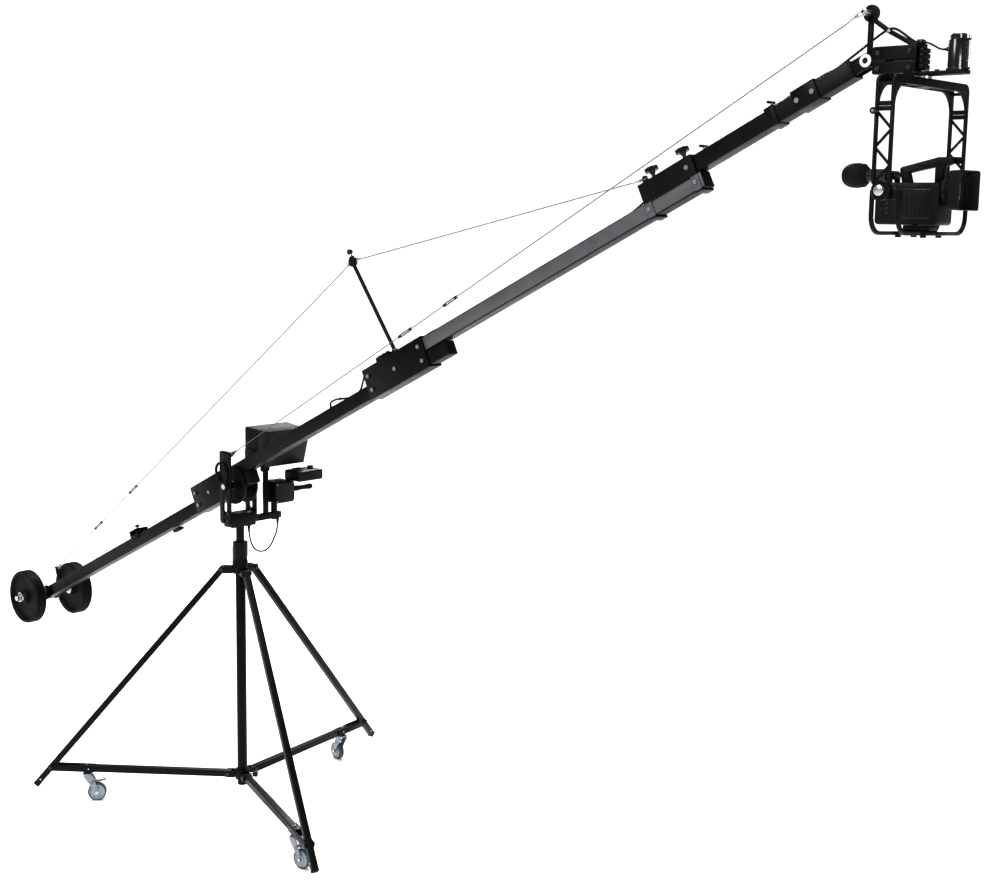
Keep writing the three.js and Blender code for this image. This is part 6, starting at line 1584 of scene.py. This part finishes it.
@dataclass
class Weights:
    """The counterweight bar, two cast discs and the clamp nut."""

    along: float = -1575.0
    inner: float = 96.0
    thickness: float = 50.0
    rim: float = 121.0
    groove: float = 118.6

    def build(self) -> None:
        """Builds the counterweight."""
        at = (self.along, 0.0)
        bar = Form(BOOM, STEEL)
        end = self.inner + self.thickness
        bar.rod("y", 12, -(end + 36.3), end + 6.3, at, 1.6, 56)
        bar.rod("y", 24, end + GAP, end + 6.3, at, 1.6, 6)
        for way in (-1, 1):
            bar.rod("y", 24, *across(way, self.inner - GAP, self.inner - 6.3), at, 1.0, 48)
        for low, high in both(25.3, 33.3):
            bar.plate("y", rounded(-1605, -1545, -31, 31, 6, 6), low, high, None, 1.2, COAT)
            bar.turned("y", [(12.5, low), (20, low), (20, high + (1.5 if low > 0 else 0)), (12.5, high)], at, 40, True)
        bar.skin("weight_bar", "boom", "bright_steel")
        heads = HexHeads(BOOM)
        for x in (-1590, -1560):
            for way in (-1, 1):
                heads.put((x, way * 33.3, 19.2), (0, way, 0))
        heads.build("weight_bolts", "boom", STEEL)
        self._disc(1, "far")
        self._disc(-1, "near")
        self._nut(at)

    def _disc(self, way: int, side: str) -> None:
        """A cast disc: rounded rim, dished web, hub, and a grip groove round its outside."""
        a, b = self.inner, self.inner + self.thickness
        middle = (a + b) / 2
        half = [(12.3, a), (27, a), (28.5, a + 1.2), (32, a + 12.4), (36, a + 13), (98, a + 13), (102, a + 12),
                (106, a + 2.5), (108, a + 0.4), (115, a + 0.3), (118.5, a + 1.6), (120.6, a + 5)]
        rim, groove = self.rim, self.groove
        profile = half + [(rim, middle - 15)]
        for shift in (-12, 0, 12):
            profile += [(rim, middle + shift - 3), (groove, middle + shift - 1.8), (groove, middle + shift + 1.8),
                        (rim, middle + shift + 3)]
        profile += [(rim, middle + 15)] + [(r, a + b - h) for r, h in reversed(half)]
        form = Form(BOOM, IRON)
        form.turned("y", [(r, way * h) for r, h in profile], (self.along, 0), 112, True)
        form.skin(f"weight_disc_{side}", "boom", "cast_iron")

    def _nut(self, at: Spot) -> None:
        """The three-lobed clamp nut with its sleeve."""
        y1 = -(self.inner + self.thickness + GAP)
        y0 = y1 - 16
        form = Form(BOOM, STEEL)
        for i in range(3):
            angle = math.radians(90 + 120 * i)
            x, z = at[0] + 17 * math.cos(angle), 17 * math.sin(angle)
            form.plate("y", strap(at[0], 0, 11, x, z, 8.8, 14), y0, y1, None, 2.4)
        form.turned("y", [(12.3, y0), (18.5, y0), (18.8, y0 + 1), (18.8, y1), (12.3, y1)], at, 56, True)
        form.turned("y", [(12.3, y0 - 8), (13.2, y0 - 8), (14, y0 - 7), (14, y0 + 0.3), (12.3, y0 + 0.3)], at, 48, True)
        form.skin("weight_nut", "weight_clamp", "bright_steel")


@dataclass
class SwingHead:
    """The level head bracket, pan motor, U-frame with lattice arms, tilt cradle and tilt motor."""

    disc_z: float = LEVEL_HEIGHT
    half: float = 212.0
    wall: float = 11.0
    rail: float = 8.0
    rails: Spot = (-26.0, 18.0)
    fill: float = 25.6
    level_end: float = -50.0
    motor_along: float = 254.0
    motor_low: float = -35.7

    def build(self) -> None:
        """Builds the swing head."""
        self._bracket()
        self._pan_motor()
        self._head_lead()
        self._arch()
        for way, side in ((-1, "near"), (1, "far")):
            self._arm(way, side)
        self._cradle()
        self._tilt_motor()

    def _bracket(self) -> None:
        """Tongue, clamp block, ribbed nose, motor bar, levelling post with its disc, and the brace."""
        form = Form(HEAD, COAT)
        form.plate("y", strap(0, 0, 17, 30, 0, 17, 14), -13.7, 13.7, [circle(0, 0, 6.4, 28)], 1.0)
        form.plate("y", rounded(23, 152, -38, -6, 5, 5), -27, 27, None, 1.5)
        form.plate("y", rounded(23, 152, -2, 34, 5, 5), -27, 27, None, 1.5)
        form.block(23, 62, -26.5, 26.5, -7, -1, 0.5)
        form.block(146, 152, -32, 32, -32, 39, 1.2)
        for i in range(4):
            z = -30 + i * 14.2
            form.block(151, 168, -20, 20, z + 0.6, z + 12.6, 1.4)
        form.block(151, 164, -18.5, 18.5, -29, 25, 0.5)
        holes = [circle(PAN_ALONG, 0, 8.4, 32)]
        form.plate("z", rounded(107, 285, -22, 22, 11, 10), -46, -36, holes, 1.2)
        form.rod("z", 18.5, -50, -37.7, (60, 0), 1.5, 48)
        form.block(-7, 7, -5, 5, 16.4, self.disc_z)
        disc = [(0, -5), (17, -5), (19, -5), (20.5, -4.2), (23, -4.2), (23, 4.2), (20.5, 4.2), (19, 5), (0, 5)]
        at = (0, self.disc_z)
        form.turned("y", disc, at, 72)
        form.rod("y", 4, self.level_end, 0, at, 0.5, 28, STEEL)
        form.rod("y", 8, -37.7, 0, at, 0.8, 36, STEEL)
        form.rod("y", 7.5, self.level_end, -46.3, at, 0.8, 6, STEEL)
        form.plate("y", strap(0, self.disc_z - 11.5, 6, 54, 76, 6, 10), -4, 4, None, 0.9)
        form.plate("y", strap(54, 76, 6, 132, 34, 6, 10), -4, 4, None, 0.9)
        form.rod("y", 4.5, -4.6, 4.6, (54, 76), 0.8, 28, STEEL)
        form.block(134, 150, 4, 22, 33.7, 50, 1.5, SMOOTH)
        form.skin("head_bracket", "head")
        heads = HexHeads(HEAD, 12.0, 4.0)
        for x in (40, 132):
            for z in (-24, 18):
                heads.put((x, -27, z), (0, -1, 0))
                heads.put((x, 27, z), (0, 1, 0))
        heads.put((149, -26, -36), (0, 0, -1))
        for x in (125, 205):
            heads.put((x, -14, -36), (0, 0, 1))
        heads.build("head_bolts", "head", OXIDE)

    def _pan_motor(self) -> None:
        """A glossy can with a stepped cap, a side rod and its connector."""
        form = Form(HEAD, ENAMEL)
        low, x = self.motor_low, self.motor_along
        can = [
            (0, 0), (27, 0), (28, 1), (28, 5), (27, 6), (25, 6.5), (25, 22), (24.4, 22.5), (24.4, 24), (25, 24.5),
            (25, 76), (23.5, 79), (21, 80), (21, 90), (19, 92), (0, 92),
        ]
        form.turned("z", [(radius, low + height) for radius, height in can], (x, 0), 72)
        form.rod("z", 3, low, low + 88, (x + 31, 0), 0.8, 24, STEEL)
        form.block(x, x + 34, -3, 3, low, low + 6, 0.8, COAT)
        form.block(x, x + 34, -3, 3, low + 74, low + 80, 0.8, COAT)
        form.rod("x", 6, x - 31, x - 20, (0, low + 55), 0.8, 32, SMOOTH)
        form.skin("pan_motor", "head", "motor_gloss")

    def _head_lead(self) -> None:
        """The short lead from the connector box over the nose to the pan motor."""
        route = [(149, 13, 42), (158, 13, 41), (170, 12.5, 37), (184, 10, 30), (198, 6, 23), (210, 2.5, 19.8),
                 (222.5, 0, 19.3)]
        form = Form(HEAD, JACKET)
        form.sweep(smooth_path(route, 6), 2.6, 12)
        form.rod("x", 5, 149.6, 155, (13, 42), 0.8, 24, SMOOTH)
        form.rod("x", (3.4, 5), 216, 223.4, (0, 19.3), 0.6, 24, SMOOTH)
        form.build("motor_lead_jacket", "head", "lead_rubber")

    @staticmethod
    def _bent(
        half: float, wall: float, top: float, corner: float, inner: float, end: float, inner_top: float
    ) -> Outline:
        """A U outline with round corners, for the arch and the cradle.

        Args:
            half: Half its width over all.
            wall: The thickness at its ends.
            top: The height of its outer crown.
            corner: The radius of its outer corners.
            inner: The radius of its inner corners.
            end: The height of its open ends.
            inner_top: The height of its inner crown.

        Returns:
            The closed outline.
        """
        steps = 12
        way = 1 if top > end else -1
        quarter, bore = 90 * way, half - wall
        outer_y, inner_y = top - way * corner, inner_top - way * inner
        return [
            (-half, end), *arc(corner - half, outer_y, corner, 180, 180 - quarter, steps),
            *arc(half - corner, outer_y, corner, quarter, 0, steps), (half, end),
            (bore, end), *arc(bore - inner, inner_y, inner, 0, quarter, steps),
            *arc(inner - bore, inner_y, inner, 180 - quarter, 180, steps), (-bore, end),
        ]

    def _arch(self) -> None:
        """Two arched rails with cross-pieces, slanting braces and the pan shaft."""
        form = Form(PAN, COAT)
        outline = self._bent(self.half, self.wall, -55, 22, 58, -135, -77)
        for start in self.rails:
            form.plate("x", outline, start, start + self.rail, None, 1.0)
        fill, cross, step = self.fill, 78, 36
        form.block(-fill, fill, -26, 26, -76.6, -55.4, 1.2)
        for y in (-cross, cross):
            form.block(-25, 25, y - 4, y + 4, -76.5, -55.5)
        for way in (-1, 1):
            y0, y1 = across(way, self.half - self.wall + 0.4, self.half - 0.4)
            for low, high in ((-134.6, -123), (-84, -76)):
                form.block(-fill, fill, y0, y1, low, high)
            for i, side in enumerate((1, -1)):
                start, end = (way * (cross + k * step) for k in (i, i + 1))
                form.sweep([(-side * 18, start, -66), (side * 18, end, -66)], 3.5, 12)
        form.turned("z", [(0, -55.3), (18, -55.3), (18, -47.3), (17, -46.3), (0, -46.3)], finish=STEEL)
        form.rod("z", 8, -55.3, -31.7, (0, 0), 0.6, 40, STEEL)
        form.rod("z", 12.5, -35.7, -31.7, (0, 0), 1.2, 6, STEEL)
        form.skin("yoke_arch", "yoke")

    def _arm(self, way: int, side: str) -> None:
        """A lattice arm with zigzag braces and the tilt bearing."""
        form = Form(PAN, COAT)
        y0, y1 = across(way, self.half - self.wall, self.half)
        foot, top, braces, rail_x = -329.0, -135.3, 4, 22
        first = top - 12
        for start in self.rails:
            form.block(start, start + self.rail, y0, y1, foot, top)
        form.block(-self.fill, self.fill, y0 + 0.4, y1 - 0.4, first, top - 0.4)
        step = (first - foot) / braces
        for i in range(braces):
            x = -rail_x if i % 2 == 0 else rail_x
            brace = strap(x, first - i * step, 3.5, -x, first - (i + 1) * step, 3.5, 8)
            form.plate("y", brace, y0 + 2.8, y1 - 2.8, None, 0.9)
        for i in range(1, braces):
            at = (rail_x if i % 2 else -rail_x, first - i * step)
            form.rod("y", 2.6, y0 + 1.5, y1 - 1.5, at, 0.5, 20, STEEL)
        form.turned("y", [(8.4, y0), (24.5, y0), (26, y0 + 1.5), (26, y1 - 1.5), (24.5, y1), (8.4, y1)],
                    (0, TILT_DROP), 72, True)
        form.turned("y", [(8.5, y0 - 0.3), (14, y0 - 0.3), (14, y1 + 0.2), (8.5, y1 + 0.2)], (0, TILT_DROP), 48, True,
                    STEEL)
        if way < 0:
            form.rod("y", 9, y0 - 18, y0 + 0.3, (-rail_x, first), 1.6, 40, SMOOTH)
            form.rod("y", 4, y0 - 18.2, y0 - 16, (-rail_x, first), 0.4, 6, STEEL)
        form.skin(f"yoke_arm_{side}", "yoke")

    def _cradle(self) -> None:
        """Two bent bars, side plates with trunnions, and the tray with the camera's shoe."""
        form = Form(TILT, COAT)
        outline = self._bent(196, 10, -114, 50, 40, 0, -104)
        for start in (-37, 39):
            form.plate("x", outline, start, start + 10, None, 1.2)
        for way in (-1, 1):
            y0, y1 = across(way, 186, 196)
            side = [(-36.5, 0.4), (-12, 12), (12, 12), (48.5, 0.4), (48.5, -24), (-36.5, -24)]
            form.plate("y", side, y0 + 0.5, y1 - 0.5, None, 1.2)
            boss = [(0, y0 - 0.4), (23, y0 - 0.4), (24, y0 + 1), (24, y1 - 1), (23, y1 + 0.4), (0, y1 + 0.4)]
            form.turned("y", boss, sides=64)
        form.rod("y", 8, -217, -186, (0, 0), 0.5, 36, STEEL)
        cap = [(0, -221), (11, -221), (13.4, -220), (14, -219), (14, -217), (0, -217)]
        form.turned("y", cap, sides=48, finish=STEEL)
        form.rod("y", 8, 186, 218, (0, 0), 0.5, 36, STEEL)
        form.plate("z", rounded(-46, 58, -60, 60, 8, 8), -114, -104, None, 1.4)
        for x in (-30, 42):
            for y in (-44, 44):
                form.rod("z", 8, -120, -113.7, (x, y), 1.2, 32, RUBBER)
        form.block(-28, 48, -25, 25, -104.3, -87.3, 1.5, SMOOTH)
        form.skin("tilt_cradle", "camera")

    def _tilt_motor(self) -> None:
        """The glossy tilt motor outside the far arm."""
        start = self.half + GAP
        form = Form(TILT, ENAMEL)
        can = [
            (9, 6.8), (9, 0), (26, 0), (27, 1), (27, 5), (26, 6), (22, 6.5), (22, 30), (21.5, 30.5), (21.5, 32),
            (22, 32.5), (22, 73), (19, 79), (16, 80), (0, 80), (0, 6.8),
        ]
        form.turned("y", [(radius, start + out) for radius, out in can], sides=64)
        form.skin("tilt_motor", "yoke", "motor_gloss")


@dataclass
class Camcorder:
    """The camcorder: moulded body, top handle, zoom lens with its hood, and the viewfinder."""

    front: float = 79.0
    half: float = 42.0
    lens_z: float = 4.0
    finder_z: float = 44.0
    finder_pin: float = -75.0

    def build(self) -> None:
        """Builds the camcorder."""
        self._body()
        self._lens()
        self._finder()

    def _body(self) -> None:
        """The shell in two tones with its panel, keys, dials, vents, battery and handle."""
        form = Form(TILT, ABS)
        side = (arc(69, 14, 10, 0, 90, 5) + arc(-90, 9, 15, 90, 180, 5) + arc(-95, -77, 10, 180, 270, 5)
                + arc(69, -77, 10, 270, 360, 5))
        form.plate("y", side, -self.half, self.half, None, 5.0)
        form.plate("y", rounded(-38, 58, -72, 8, 6, 5), -43.8, -41, None, 1.6, SMOOTH)
        form.plate("y", rounded(-30, 50, -64, 0, 4, 4), -44.8, -43)
        for i in range(7):
            x = -42.5 + 12.9 * i
            form.block(x, x + 3, -45, -41.7, -67, 4, 0.8, GREY_ABS)
        for i, z in enumerate((-8, -20, -32, -44, -56)):
            form.rod("y", 3.0, -43.4, -41.5, (-86, z), 0.5, 20, GREY_ABS if i % 2 else SMOOTH)
            form.block(-76, -64, -43.2, -41.5, z - 3, z + 3, 0.7, SMOOTH)
        form.rod("y", 7.5, -44.6, -41.5, (-52, 12), 0.8, 36, SMOOTH)
        for i in range(6):
            form.block(-100 + i * 5, -97 + i * 5, 41.6, 42.8, -60, -20, 0.4, SMOOTH)
        form.plate("y", rounded(-50, 60, -70, 6, 8, 6), 41, 43.6, None, 2.0, RUBBER)
        form.block(-105.0, -101, -30, 30, -75, -12, 1.4, GREY_ABS)
        for y in (-20, 0, 20):
            form.rod("x", 3, -105, -100, (y, 4), 0.5, 20, STEEL)
        x, z = self.finder_pin, self.finder_z
        for y0, y1 in both(19, 24):
            form.plate("y", strap(x, 20, 8, x, z, 8, 12), y0, y1, [circle(x, z, 4.4, 24)], 0.8)
        self._handle(form)
        form.skin("camera_body", "camera", "black_plastic")

    def _handle(self, form: Form) -> None:
        """The top handle with a finger gap, its rubber grip, and the microphone with foam sleeve."""
        t, rear, front, rise, top, reach = 17.0, -44.0, 74.0, 58.0, 82.0, 97.0
        shape = [(rear, 19), (rear - t / 2, rise)] + arc(rear, rise, t / 2, 180, 90, 6) + [
            (front - t, top + t / 2), (reach, top + t / 2), (reach, top - t / 2), (front, top - t),
            (front - t / 4, 19), (front - 1.5 * t, 19), (front - 1.5 * t, top - t), (rear + t, rise - t / 2),
            (rear + 1.5 * t, 19),
        ]
        form.plate("y", shape, -12, 12, None, 3.0)
        form.rod("x", 8.5, 57, 86, (17.6, top), 1.5, 40, SMOOTH)
        form.turned("x", [(0, 84), (8.5, 84), (8.9, 88), (8.9, 108), (7.5, 112), (4, 114), (0, 114)], (17.6, top), 40,
                    finish=RUBBER)
        form.block(-6, 34, -13, 13, 68, 71, 1.2, RUBBER)
        form.rod("y", 5, -13.2, -11.5, (66, 78), 0.8, 28, GREY_ABS)
        form.block(76, 92, -9, 9, 89.6, 91.6, 0.8, SMOOTH)

    def _lens(self) -> None:
        """The barrel with a ribbed focus ring, and the rectangular hood over the front glass."""
        form = Form(TILT, ABS)
        z, ribs, ring = self.lens_z, 40, 39.4
        start, end = self.front + GAP + 28, self.front + GAP + 64
        barrel = [(36, 79.3), (37, 80.3), (37, 84), (40, 85.3), (40, 94), (37, 95), (37, start + 2)]
        form.turned("x", [(0, 79.3), *barrel, (0, start + 2)], (0, z), 80)
        for i in range(ribs):
            angle = 2 * math.pi * i / ribs
            at = (ring * math.cos(angle), z + ring * math.sin(angle))
            form.rod("x", 0.7, 86.0, 93.2, at, 0.2, 8, RUBBER)
        outer = ((53, 46, 12, start), (58, 50.5, 10, start + 5), (60, 52, 8, end - 1.5), (59, 51, 7, end))
        inner = ((38, 34, 12, start + 7), (50, 44, 9, start + 12), (56, 48, 6, end - 1.5), (57, 49, 6, end))
        skins = [
            [(rounded(-wide, wide, z - tall, z + tall, corner, 4), along) for wide, tall, corner, along in skin]
            for skin in (outer, inner)
        ]
        form.take(shell(*skins), FLAT["x"])
        form.turned("x", [(0, start + 0.5), (45, start + 0.5), (45, start + 7.5), (0, start + 7.5)], (0, z), 64)
        glass = [(29 * math.sin(a), start + 7 + 3.5 * math.cos(a)) for a in map(math.radians, range(90, -1, -10))]
        form.turned("x", [(0, start + 5)] + glass, (0, z), 64, finish=GLASS)
        form.turned("x", [(29, start + 6), (32, start + 6), (32, start + 9), (29, start + 9)], (0, z), 64, True, SMOOTH)
        form.skin("camera_lens", "camera", "black_plastic")

    def _finder(self) -> None:
        """The viewfinder tube, its hinge and the flared rubber eyecup."""
        form = Form(TILT, SMOOTH)
        x, z = self.finder_pin, self.finder_z
        form.turned("x", [(0, -158), (17, -158), (17, -92), (15.5, -90), (0, -90)], (0, z), 56)
        form.rod("x", 12, -91, x, (0, z), 0.8, 40)
        form.rod("y", 12, -18.7, 18.7, (x, z), 1.0, 40)
        form.rod("y", 4, -28.3, 28.3, (x, z), 0.6, 28, STEEL)
        for y0, y1 in both(24.3, 28.3):
            form.rod("y", 8, y0, y1, (x, z), 0.8, 32)
        cup = [(16, -150), (19, -150.2), (24, -154), (28.5, -160), (32, -168), (33.6, -178), (33.9, -188),
               (33, -198), (30.5, -208), (26.5, -216), (22, -220.6), (19.5, -221), (18.4, -219.6), (16, -211),
               (14, -206), (0, -206), (0, -150)]
        form.turned("x", cup, (0, z), 72, finish=RUBBER)
        form.turned("x", [(0, -208), (13.6, -207), (13.6, -205), (0, -205)], (0, z), 48, finish=GLASS)
        for at in (-162, -166):
            form.turned("x", [(28, at), (31.4, at), (31.4, at - 1.6), (28, at - 1.6)], (0, z), 72, True, RUBBER)
        form.skin("viewfinder", "finder", "lead_rubber")


def main() -> None:
    """Builds the studio and every sub-assembly, the camera and the hanging lead first."""
    logging.basicConfig(level=logging.INFO, format="%(name)s: %(message)s")
    Studio().build()
    for assembly in (Station(), Stand(), Casters(), TurningFork(), Boom(), Rigging(), Weights(), SwingHead(),
                     Camcorder()):
        assembly.build()
        log.info("%s is built", type(assembly).__name__)


if __name__ == "__main__":
    main()
